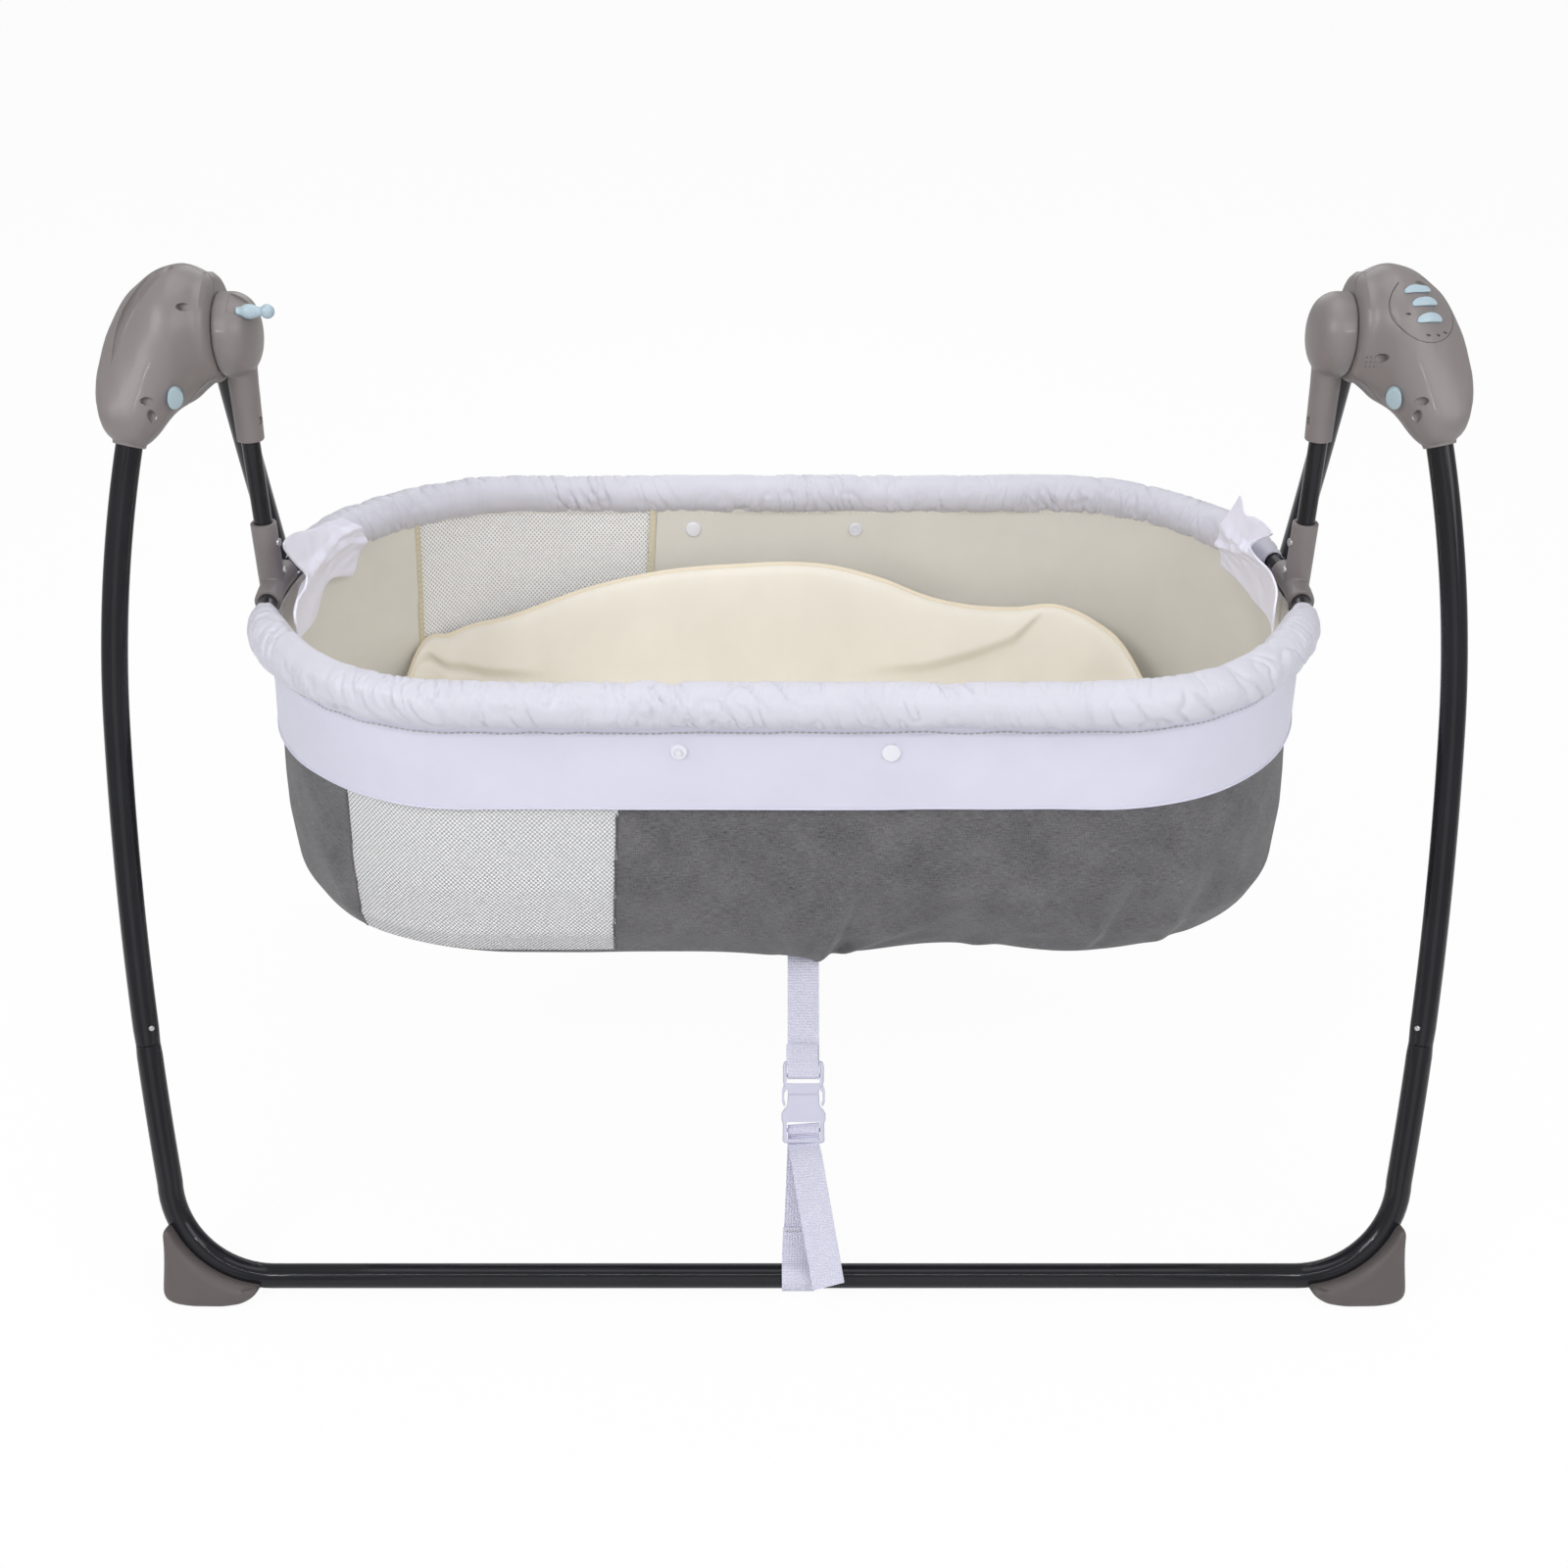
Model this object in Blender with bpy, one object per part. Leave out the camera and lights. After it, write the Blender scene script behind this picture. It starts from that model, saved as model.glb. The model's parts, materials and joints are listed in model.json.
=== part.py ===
"""Electric baby cradle: a folding A-frame of two tube hoops, joined at two drive heads,
with a fabric basket that hangs from the heads and swings about one axis.

Frame of the model: X runs along the basket, -Y is the front, +Z is up.
The origin is on the floor, under the middle of the cradle. Lengths are in metres.
"""
from math import acos, cos, hypot, pi, radians, sin, tan

import bmesh
import bpy
from mathutils import Matrix, Vector

# Units and shared fits
MM = 0.001
GAP = 0.3 * MM                  # clearance between touching pieces
OVERRUN = 10 * MM               # how far a cut runs past what it cuts
FLATNESS = radians(0.1)         # a face that is warped by more is split
X_AXIS = Vector((1, 0, 0))
Y_AXIS = Vector((0, 1, 0))
Z_AXIS = Vector((0, 0, 1))

# Swing and fold axis
PIVOT_HEIGHT = 669 * MM

# Tube hoops
LEG_LEAN = radians(21.5)
BASE_HEIGHT = 12.5 * MM         # base tube centre over the floor
LEG_RADIUS = 9.5 * MM
LEG_WALL = 1.2 * MM
BEND_RADIUS = 77 * MM
BEND_STEPS = 6
FRONT_TOP_DROP = 19.8 * MM      # how much narrower the hoop is at the heads
FRONT_FOOT_DROP = 20.5 * MM     # and at the floor
REAR_FOOT_DROP = 6 * MM
BOW_HEIGHT = 415 * MM           # where the hoops are widest
LEG_ENTRY_DROP = 69 * MM        # where a front leg enters its head, below the pivot
LEG_ENTRY_DEPTH = 61.9 * MM     # and in front of it
LEG_ENTRY_OUT = 62.5 * MM       # and outside the head's inner face
REAR_LEG_OUT = 20.3 * MM        # rear legs at their bow, outside the heads' inner faces
TUBE_JOINT_RISE = 97.5 * MM     # seam between leg and base tube, above the bend
SPIGOT_LENGTH = 36 * MM
SPIGOT_FIT = 0.6 * MM
LEG_SIDES = 10
LEG_STEPS = 8

# Spring pins that lock the legs on the base tubes
PIN_RADIUS = 2.6 * MM
PIN_PROUD = 1.2 * MM
PIN_RISE = 14 * MM              # above the seam

# Corner shoes
SHOE_REACH = 72 * MM            # along the base tube
SHOE_RISE = 46 * MM             # up the leg
SHOE_OUTSIDE = 6.5 * MM         # outer face, outside the leg's middle line
SHOE_DEPTH = 40 * MM            # across the tube
SHOE_LIP = 3.5 * MM             # inner edge, outside the tube's middle line
SHOE_BEVEL = 2.5 * MM

# Drive heads
HEAD_OFFSET = 8.7 * MM          # inner faces, outside the hanger tubes
HEAD_WIDTH = 82.5 * MM
HEAD_RADIUS = 50 * MM
HEAD_WALL = 2.8 * MM
HEAD_WEB = 5 * MM
HEAD_SIDES = 20
SPLIT_OFFSET = 17 * MM          # seam of the shells, behind the leg's axis
LEG_SOCKET_WALL = 3 * MM
LEG_SOCKET_DEPTH = 27 * MM
HEAD_SCREW_RADIUS = 3.2 * MM
HEAD_SCREW_LENGTH = 9 * MM
HEAD_SCREW_SINK = 3 * MM        # depth of a screw's recess
SCREW_BOSS_RADIUS = 5.2 * MM
SWOOSH_LENGTH = 33 * MM         # half length of the scooped recess
SWOOSH_WIDTH = 8 * MM
SWOOSH_DEPTH = 5 * MM

# Fold knuckles in the heads
KNUCKLE_WIDTH = 25 * MM
KNUCKLE_RADIUS = 29.8 * MM
COLLAR_WALL = 3.5 * MM          # head wall between knuckle and hub
LEG_SLEEVE_ABOVE = 8 * MM
LEG_SLEEVE_BELOW = 46 * MM
SLOT_FRONT = 2 * MM             # where the slot for the rear leg starts
SLOT_TOP = 32 * MM

# Swing shafts, bushes and hubs
SHAFT_RADIUS = 5 * MM
SHAFT_SEAT = 10 * MM            # from the dome's tip to the shaft
SHAFT_REACH = 46.3 * MM         # into the head
BUSH_RADIUS = 8 * MM
BUSH_FLANGE_RADIUS = 11 * MM
BUSH_FLANGE = 1.8 * MM
HUB_REACH = 21 * MM             # the dome's tip, inside the hanger tube
HUB_RADIUS = 30.3 * MM
ARM_TOP_RADIUS = 12 * MM
ARM_RADIUS = 10.6 * MM
ARM_LENGTH = 81 * MM            # from the pivot down
HANGER_OFFSET = 1 * MM          # hanger tubes, outside the rim's ends
HANGER_RADIUS = 7 * MM
HANGER_SOCKET = 40 * MM         # depth of the tube in the arm

# Swing lock on the left hub
LOCK_Y = -16 * MM
LOCK_RISE = 21 * MM             # above the pivot
LOCK_STEM_RADIUS = 3.2 * MM
LOCK_BALL_RADIUS = 4.7 * MM
LOCK_BALL_PROUD = 10.5 * MM     # past the dome's tip
LOCK_ROOT_DEPTH = 12 * MM       # behind the dome's tip
LOCK_TRAVEL = radians(25)

# Buttons of the fold lock
FOLD_BUTTON_OUT = 25.3 * MM     # outside the head's inner face
FOLD_BUTTON_DROP = 30 * MM      # below the pivot
FOLD_BUTTON_Y = -50 * MM
FOLD_BUTTON_HALF = (5.4 * MM, 8.4 * MM)
FOLD_BUTTON_PROUD = 3 * MM
FOLD_BUTTON_DEPTH = 9 * MM
FOLD_SPRING_ROOM = 9 * MM       # behind the button

# Control panel on the right head
PANEL_OUT = 38.5 * MM           # outside the head's inner face
PANEL_Y = -37 * MM
PANEL_RISE = 29 * MM            # above the pivot
PANEL_HALF = (18 * MM, 23.5 * MM)
PANEL_DEPTH = 6.5 * MM
KEY_HALF = (10.6 * MM, 4.7 * MM)
KEY_PROUD = 1.6 * MM
KEY_HEIGHT = 6 * MM
KEY_PITCH = 11.4 * MM
KEY_DRIFT = 4.2 * MM            # each key sits this much further out than the last
KEY_ARCH_SHARE = -0.35          # bow of a key's lower edge, as a share of its half height
KEY_NAMES = ("key_speed", "key_timer", "key_music")

# Inside the right head
BOARD_SIZE = (1.6 * MM, 22 * MM, 22 * MM)
BOARD_Y = -6 * MM
BOARD_RISE = 26 * MM
SPEAKER_RADIUS = 12 * MM
SPEAKER_DEPTH = 5 * MM
SPEAKER_Y = 18.5 * MM
SPEAKER_RISE = 20 * MM
MAGNET_REACH = 26 * MM
MAGNET_WIDTH = 13 * MM
MAGNET_THICKNESS = 4 * MM
COIL_RADIUS = 9 * MM
COIL_BORE = 4 * MM
COIL_LENGTH = 9 * MM
COIL_AIR_GAP = 2 * MM
COIL_POST_RADIUS = 5 * MM
INLET_RADIUS = 4.5 * MM
INLET_LENGTH = 11 * MM
INLET_RISE = 4 * MM

# Rim and connectors
RIM_DROP = 202 * MM             # below the pivot
RIM_STRAIGHT = 230 * MM         # half length of its straight sides
RIM_END = 174 * MM              # reach of the rounded ends past them
RIM_HALF_WIDTH = 199 * MM
RIM_RADIUS = 7 * MM
RIM_END_POINTS = 8
RIM_SIDES = 8
CONNECTOR_WALL = 3.2 * MM
CONNECTOR_SIDES = 14
CONNECTOR_REACH = 31 * MM       # along the rim, each way
CONNECTOR_RISE = 55 * MM        # above the rim
COVER_RADIUS = 17.5 * MM
COVER_BORE = 7.6 * MM
COVER_START = 50 * MM           # bare rim each side of the middle of a connector
COVER_END_RADIUS = 9.6 * MM     # where a cover is gathered onto the rim
COVER_TAPER = 60 * MM

# Basket
BASKET_DEPTH = 239.2 * MM
BASKET_FOOT_SHARE = 0.66        # of the rim's half width
SHELL_CLOTH = 2 * MM
LINING_CLOTH = 1.5 * MM
LINING_GAP = 0.8 * MM
BASKET_END_POINTS = 6
BASKET_SIDE_SEGMENTS = 4
BAND_DEPTH = 72.2 * MM
BAND_CLOTH = 1.6 * MM
WINDOW_NEAR_X = 122 * MM        # mesh windows, in the left half
WINDOW_FAR_X = 325 * MM
WINDOW_BAND_GAP = 2 * MM        # below the band
WINDOW_SILL = 28 * MM           # above the basket's bottom

# Mattress
PAD_END_GAP = 72 * MM           # from the rim's ends
PAD_OFFSET = 8 * MM             # how far it lies to the left
PAD_SIDE_GAP = 34 * MM          # from the rim's straight sides to its curled edges
PAD_THICKNESS = 15 * MM
PAD_CURL_REACH = 73 * MM        # of the curled part, inwards
PAD_TOP_GAP = 37 * MM           # its highest edge, below the basket's top
PAD_COLUMNS = 26
PAD_ROWS = 14
PAD_CROWN = 9 * MM
PAD_FLAT_SHARE = 0.44           # of the rows, the part that lies flat
PAD_LEAN = radians(78)          # of its thickness at the curled edges
PIPING_RADIUS = 3 * MM

# Cloth flaps at the basket's ends
FLAP_LENGTH = 100 * MM
FLAP_HEIGHT = 100 * MM
FLAP_CLOTH = 5 * MM
FLAP_GAP = 1.2 * MM             # between the rim cover and the flaps, along the basket
FLAP_FOLD = 6 * MM              # depth of its fold

# Safety strap
STRAP_X = 15 * MM
STRAP_WIDTH = 25 * MM
STRAP_CLOTH = 1.6 * MM
STRAP_TOP_OUT = 4.7 * MM        # in front of the basket's foot
STRAP_GAP = 1.5 * MM            # below the basket's bottom
BUCKLE_WIDTH = 35 * MM
BUCKLE_THICKNESS = 9 * MM
FEMALE_LENGTH = 38 * MM
MALE_LENGTH = 26 * MM
BUCKLE_WALL = 2.2 * MM
BUCKLE_START_SHARE = 0.405      # of the strap's length, from the base tube
TAIL_END_Y = -313 * MM
TAIL_END_HEIGHT = 22 * MM
TAIL_BOW = 6 * MM
TAIL_LEAN = 8 * MM
TAIL_STEPS = 6

# Places that follow from the sizes above
ROOM = PIVOT_HEIGHT * 1.5       # reach of blocks that take away all on one side
TUBE_JOINT_HEIGHT = BASE_HEIGHT + BEND_RADIUS + TUBE_JOINT_RISE
FLAP_INSET = COVER_RADIUS + FLAP_GAP
STRAP_TOP_Y = -RIM_HALF_WIDTH * BASKET_FOOT_SHARE - STRAP_TOP_OUT
RIM_HEIGHT = PIVOT_HEIGHT - RIM_DROP
HANGER_X = RIM_STRAIGHT + RIM_END + HANGER_OFFSET
HUB_INNER_X = HANGER_X - HUB_REACH
HEAD_INNER_X = HANGER_X + HEAD_OFFSET
SHAFT_INNER_X = HUB_INNER_X + SHAFT_SEAT
SHAFT_OUTER_X = HEAD_INNER_X + SHAFT_REACH
LOCK_BALL_X = HUB_INNER_X - LOCK_BALL_PROUD
LOCK_ROOT_X = HUB_INNER_X + LOCK_ROOT_DEPTH
FOLD_BUTTON_X = HEAD_INNER_X + FOLD_BUTTON_OUT
PANEL_X = HEAD_INNER_X + PANEL_OUT
ARM_END_HEIGHT = PIVOT_HEIGHT - ARM_LENGTH
HANGER_TOP_HEIGHT = ARM_END_HEIGHT + HANGER_SOCKET
CONNECTOR_TOP_HEIGHT = RIM_HEIGHT + CONNECTOR_RISE
LEG_ENTRY_HEIGHT = PIVOT_HEIGHT - LEG_ENTRY_DROP
HOOP_HALF_DEPTH = LEG_ENTRY_DEPTH + (LEG_ENTRY_HEIGHT - BASE_HEIGHT) * tan(LEG_LEAN)
FRONT_WIDEST = HEAD_INNER_X + LEG_ENTRY_OUT + FRONT_TOP_DROP
REAR_WIDEST = HEAD_INNER_X + REAR_LEG_OUT
BASKET_TOP_HEIGHT = RIM_HEIGHT - COVER_RADIUS - GAP
BASKET_BOTTOM_HEIGHT = BASKET_TOP_HEIGHT - BASKET_DEPTH
BAND_BOTTOM_HEIGHT = BASKET_TOP_HEIGHT - BAND_DEPTH
WINDOW_TOP_HEIGHT = BAND_BOTTOM_HEIGHT - WINDOW_BAND_GAP
WINDOW_BOTTOM_HEIGHT = BASKET_BOTTOM_HEIGHT + WINDOW_SILL
PAD_HALF_LENGTH = RIM_STRAIGHT + RIM_END - PAD_END_GAP
PAD_FLAT_HALF_WIDTH = RIM_HALF_WIDTH - PAD_SIDE_GAP - PAD_CURL_REACH
STRAP_TOP_HEIGHT = BASKET_BOTTOM_HEIGHT - STRAP_GAP

# Materials: colour, roughness, metallic
TAUPE = ((0.27, 0.25, 0.245), 0.3, 0.0)
CHARCOAL = ((0.045, 0.046, 0.052), 0.25, 0.6)
STEEL = ((0.62, 0.62, 0.63), 0.3, 1.0)
BRONZE = ((0.45, 0.30, 0.14), 0.4, 1.0)
PALE_BLUE = ((0.47, 0.62, 0.68), 0.35, 0.0)
GREY_CLOTH = ((0.14, 0.138, 0.141), 0.95, 0.0)
WHITE_CLOTH = ((0.72, 0.72, 0.84), 0.6, 0.0)
CREAM_CLOTH = ((0.52, 0.50, 0.40), 0.9, 0.0)
CREAM_PAD = ((0.75, 0.70, 0.56), 0.85, 0.0)
MESH_CLOTH = ((0.85, 0.85, 0.87), 0.9, 0.0)
CIRCUIT_GREEN = ((0.05, 0.22, 0.10), 0.5, 0.0)
COPPER = ((0.72, 0.33, 0.16), 0.35, 1.0)
BLACK_PLASTIC = ((0.02, 0.02, 0.02), 0.5, 0.0)

# Head sections: share of the head's width, then the dome's and the lobe's circle,
# each as y, z and radius in shares of the head's radius, measured from the pivot
HEAD_SECTION_SHARES = (
    (0.000, 0.00, 0.08, 0.68, -0.10, 0.00, 0.50),
    (0.020, 0.00, 0.09, 0.75, -0.12, 0.00, 0.50),
    (0.090, -0.02, 0.10, 0.79, -0.32, -0.10, 0.42),
    (0.175, -0.05, 0.09, 0.88, -0.60, -0.32, 0.38),
    (0.275, -0.08, 0.05, 0.97, -0.80, -0.52, 0.37),
    (0.385, -0.10, 0.04, 0.96, -0.94, -0.72, 0.38),
    (0.513, -0.10, 0.04, 0.882, -1.06, -0.87, 0.40),
    (0.642, -0.12, 0.00, 0.772, -1.08, -0.93, 0.41),
    (0.755, -0.16, -0.04, 0.65, -1.07, -0.93, 0.40),
    (0.864, -0.26, -0.12, 0.46, -1.04, -0.89, 0.36),
    (0.945, -0.42, -0.24, 0.30, -0.99, -0.82, 0.28),
    (1.000, -0.64, -0.40, 0.13, -0.90, -0.72, 0.14),
)
# Hub profile: shares of its length from the dome's tip, and of its radius
HUB_PROFILE_SHARES = (
    (0.0, 0.0), (0.015, 0.28), (0.07, 0.55), (0.16, 0.74), (0.28, 0.87),
    (0.44, 0.96), (0.62, 1.0), (0.97, 1.0), (1.0, 0.985),
)
# Basket rings: share of its height from the top, then shares of the rim's two reaches
BASKET_RING_SHARES = (
    (0.0, 0.994, 0.975),
    (0.30, 1.002, 0.962),
    (0.62, 1.012, 0.930),
    (0.82, 1.008, 0.875),
    (0.93, 0.985, 0.785),
    (0.985, 0.910, 0.710),
    (1.0, 0.790, BASKET_FOOT_SHARE),
)
# Mattress edge: share of the half length, then of the curl's height and of the half width
PAD_EDGE_SHARES = (
    (-1.0, 0.45, 0.60), (-0.97, 0.60, 0.84), (-0.88, 0.67, 0.98), (-0.71, 0.754, 1.0), (-0.50, 0.89, 1.0),
    (-0.30, 0.97, 1.0), (-0.12, 1.0, 1.0), (0.15, 0.995, 1.0), (0.28, 0.935, 1.0), (0.41, 0.845, 1.0),
    (0.51, 0.805, 1.0), (0.64, 0.79, 1.0), (0.76, 0.81, 0.98), (0.84, 0.77, 0.92), (0.94, 0.65, 0.78),
    (1.0, 0.48, 0.56),
)
# Flaps, in rows from the bottom up: shares of their length from the middle and of their height from the rim
FLAP_LEFT_SHARES = (
    ((0.90, -0.30), (0.55, -0.20), (0.24, -0.38), (-0.10, -0.36), (-0.60, -0.24)),
    ((1.00, -0.10), (0.75, -0.04), (0.35, -0.12), (-0.05, -0.08), (-0.63, 0.04)),
    ((1.00, 0.06), (0.75, 0.12), (0.45, 0.12), (0.15, 0.14), (-0.17, 0.16)),
    ((0.85, 0.24), (0.60, 0.28), (0.36, 0.33), (0.00, 0.45), (-0.60, 0.60)),
)
FLAP_RIGHT_SHARES = (
    ((0.84, -0.20), (0.55, -0.22), (0.26, -0.25), (-0.10, -0.21), (-0.60, -0.16)),
    ((0.86, -0.05), (0.58, -0.03), (0.30, 0.00), (0.00, 0.02), (-0.42, 0.16)),
    ((0.84, 0.12), (0.66, 0.12), (0.50, 0.15), (0.38, 0.18), (0.26, 0.22)),
    ((0.72, 0.48), (0.62, 0.30), (0.45, 0.33), (0.25, 0.38), (0.03, 0.44)),
)
FLAP_FOLD_SHARES = (0, 0.3, 1.0, 0.2)
# Places of the head screws, as shares of the head's width and radius
HEAD_SCREW_SHARES = ((0.16, 0.38), (0.49, -0.845), (0.37, -1.13))
PANEL_SIDE_SCREW_SHARE = -0.27  # rise of the first screw in the head with the panel


def clear_scene():
    for thing in list(bpy.data.objects):
        bpy.data.objects.remove(thing, do_unlink=True)


def make_object(name, bm):
    """Turn a bmesh into an object whose faces are flat and point out."""
    bmesh.ops.recalc_face_normals(bm, faces=bm.faces)
    bmesh.ops.connect_verts_nonplanar(bm, angle_limit=FLATNESS, faces=bm.faces)
    mesh = bpy.data.meshes.new(name)
    bm.to_mesh(mesh)
    bm.free()
    thing = bpy.data.objects.new(name, mesh)
    bpy.context.scene.collection.objects.link(thing)
    return thing


def finish(thing, look, pivot=None, smooth_angle=radians(35)):
    """Give a piece its own material and hang it on its pivot."""
    colour, roughness, metallic = look
    material = bpy.data.materials.new(thing.name + "_finish")
    material.use_nodes = True
    shader = material.node_tree.nodes["Principled BSDF"]
    shader.inputs["Base Color"].default_value = (*colour, 1)
    shader.inputs["Roughness"].default_value = roughness
    shader.inputs["Metallic"].default_value = metallic
    thing.data.materials.clear()
    thing.data.materials.append(material)
    thing.data.shade_smooth()
    thing.data.set_sharp_from_angle(angle=smooth_angle)
    if pivot:
        thing.data.transform(Matrix.Translation(-pivot.matrix_world.translation))
        thing.parent = pivot
    return thing


def make_pivot(name, place, parent=None):
    """An empty on a joint's axis."""
    pivot = bpy.data.objects.new(name, None)
    bpy.context.scene.collection.objects.link(pivot)
    if parent:
        pivot.parent = parent
        place = Vector(place) - parent.matrix_world.translation
    pivot.location = place
    bpy.context.view_layer.update()
    return pivot


def combine(thing, other, operation):
    """Boolean of two objects; the second one is used up."""
    step = thing.modifiers.new("combine", "BOOLEAN")
    step.operation = operation
    step.solver = "EXACT"
    step.object = other
    bpy.context.view_layer.update()
    result = bpy.data.meshes.new_from_object(thing.evaluated_get(bpy.context.evaluated_depsgraph_get()))
    thing.modifiers.clear()
    thing.data = result
    bpy.data.objects.remove(other, do_unlink=True)
    return thing


def cut(thing, *cutters):
    for cutter in cutters:
        combine(thing, cutter, "DIFFERENCE")
    return thing


def fuse(thing, *others):
    for other in others:
        combine(thing, other, "UNION")
    return thing


def keep(thing, other):
    return combine(thing, other, "INTERSECT")


def mirrored(thing, side):
    """Reflect a piece built for the right side to the left one."""
    if side < 0:
        thing.data.transform(Matrix.Scale(-1, 4, X_AXIS))
        thing.data.flip_normals()
    return thing


def side_name(base, side):
    return base + ("_right" if side > 0 else "_left")


def circle(radius, sides, bore=False):
    """Points of a ring, in its own plane."""
    turn = -1 if bore else 1
    return [(radius * cos(turn * 2 * pi * k / sides), radius * sin(turn * 2 * pi * k / sides))
            for k in range(sides)]


def skin_rings(bm, rings, closed_ends=True):
    """Join rings of points with quads, and close the ends with caps."""
    rows = [[bm.verts.new(p) for p in ring] for ring in rings]
    count = len(rows[0])
    for low, high in zip(rows, rows[1:]):
        for k in range(count):
            bm.faces.new((low[k], low[(k + 1) % count], high[(k + 1) % count], high[k]))
    if closed_ends:
        bm.faces.new(rows[0])
        bm.faces.new(rows[-1])
    return rows


def loft(name, rings):
    bm = bmesh.new()
    skin_rings(bm, rings)
    return make_object(name, bm)


def frames_along(points, up):
    """Places and side directions along a flat path whose plane has the normal up."""
    last = len(points) - 1
    for k, point in enumerate(points):
        tangent = (points[min(k + 1, last)] - points[max(k - 1, 0)]).normalized()
        yield point, tangent.cross(up).normalized()


def sweep(name, points, profile, up, bore=None, scales=None):
    """Run a profile along a flat path; a bore makes it a tube with open ends."""
    full = [1] * len(points)

    def rings_of(outline, sizes):
        return [[p + side * (a * size) + up * (b * size) for a, b in outline]
                for (p, side), size in zip(frames_along(points, up), sizes)]
    bm = bmesh.new()
    outer = skin_rings(bm, rings_of(profile, scales or full), closed_ends=bore is None)
    if bore:
        inner = skin_rings(bm, rings_of(bore, full), closed_ends=False)
        count = len(profile)
        for end in (0, -1):
            for k in range(count):
                n = (k + 1) % count
                bm.faces.new((outer[end][k], outer[end][n], inner[end][n], inner[end][k]))
    return make_object(name, bm)


def tube(name, points, radius, up, sides=LEG_SIDES, bore_radius=None):
    bore = circle(bore_radius, sides) if bore_radius else None
    return sweep(name, points, circle(radius, sides), up, bore)


def rod(name, start, end, radius, sides=16, end_radius=None):
    """A straight round bar, or a cone if its ends differ."""
    start, end = Vector(start), Vector(end)
    axis = (end - start).normalized()
    side = axis.orthogonal().normalized()
    other = axis.cross(side)
    far = radius if end_radius is None else end_radius
    return loft(name, [[place + side * (r * a) + other * (r * b) for a, b in circle(1, sides)]
                       for place, r in ((start, radius), (end, far))])


def box(name, low, high):
    bm = bmesh.new()
    bmesh.ops.create_cube(bm, size=1)
    low, high = Vector(low), Vector(high)
    for v in bm.verts:
        v.co = Vector([low[k] + (v.co[k] + 0.5) * (high[k] - low[k]) for k in range(3)])
    return make_object(name, bm)


def turned(name, profile, sides):
    """Turn a profile of (x, radius) about the swing axis."""
    bm = bmesh.new()
    inner = [p for p in profile if p[1] > 0]
    rings = [[Vector((x, r * a, PIVOT_HEIGHT + r * b)) for a, b in circle(1, sides)] for x, r in inner]
    rows = skin_rings(bm, rings, closed_ends=False)
    for row, tip in ((rows[0], profile[0]), (rows[-1], profile[-1])):
        if tip[1] > 0:
            bm.faces.new(row)
            continue
        point = bm.verts.new((tip[0], 0, PIVOT_HEIGHT))
        for k in range(sides):
            bm.faces.new((row[k], row[(k + 1) % sides], point))
    return make_object(name, bm)


# Hoops

def hoop_height(w):
    return BASE_HEIGHT + w * cos(LEG_LEAN)


def hoop_way(height):
    """Distance up a hoop's plane from its base tube, for a height."""
    return (height - BASE_HEIGHT) / cos(LEG_LEAN)


def hoop_point(x, w, front):
    y = HOOP_HALF_DEPTH - w * sin(LEG_LEAN)
    return Vector((x, -y if front else y, hoop_height(w)))


def hoop_normal(front):
    return Vector((0, cos(LEG_LEAN), -sin(LEG_LEAN) if front else sin(LEG_LEAN)))


def hoop_down(front):
    return Vector((0, -sin(LEG_LEAN) if front else sin(LEG_LEAN), -cos(LEG_LEAN)))


def leg_x(w, front):
    """Half width of a bowed hoop."""
    bow = hoop_way(BOW_HEIGHT)
    if front:
        widest, foot, top = FRONT_WIDEST, FRONT_FOOT_DROP, FRONT_TOP_DROP
        rise = (w - bow) / (leg_mouth_way(True) - bow)
    else:
        widest, foot, top = REAR_WIDEST, REAR_FOOT_DROP, REAR_WIDEST - sum(slot_x()) / 2
        rise = min(1, (w - bow) / (leg_mouth_way(False) - bow))
    if w > bow:
        return widest - top * rise ** 2
    return widest - foot * ((bow - w) / (bow - BEND_RADIUS)) ** 2


def corner_x(front):
    return leg_x(BEND_RADIUS, front)


def leg_mouth_way(front):
    """How far up its hoop's plane a leg tube enters its head or knuckle."""
    return hoop_way(LEG_ENTRY_HEIGHT) if front else knuckle_way() - LEG_SLEEVE_BELOW


def knuckle_way():
    """Way up the rear hoop where its leg passes closest to the pivot."""
    offset = Vector((0, 0, PIVOT_HEIGHT)) - hoop_point(0, 0, False)
    return -offset.dot(hoop_down(False))


def build_leg(side, front, pivot):
    name = side_name("front_leg" if front else "rear_leg", side)
    low, mouth = hoop_way(TUBE_JOINT_HEIGHT) + GAP, leg_mouth_way(front)
    ways = [low + (mouth - low) * k / LEG_STEPS for k in range(LEG_STEPS + 1)]
    ways.append(mouth + LEG_SOCKET_DEPTH)
    points = [hoop_point(leg_x(w, front), w, front) for w in ways]
    leg = tube(name, points, LEG_RADIUS, hoop_normal(front), bore_radius=LEG_RADIUS - LEG_WALL)
    base, tip = pin_line(front)
    reach = tip - base
    cut(leg, rod("pin_hole", base - reach, tip + reach, PIN_RADIUS + GAP, 10))
    return finish(mirrored(leg, side), CHARCOAL, pivot)


def pin_line(front):
    """Axis of the spring pin on the right leg, from the spigot's face outwards."""
    w = hoop_way(TUBE_JOINT_HEIGHT) + PIN_RISE
    centre = hoop_point(leg_x(w, front), w, front)
    out = (-X_AXIS + hoop_normal(front) * (-1 if front else 1)).normalized()
    return centre + out * (LEG_RADIUS - LEG_WALL), centre + out * (LEG_RADIUS + PIN_PROUD)


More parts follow.
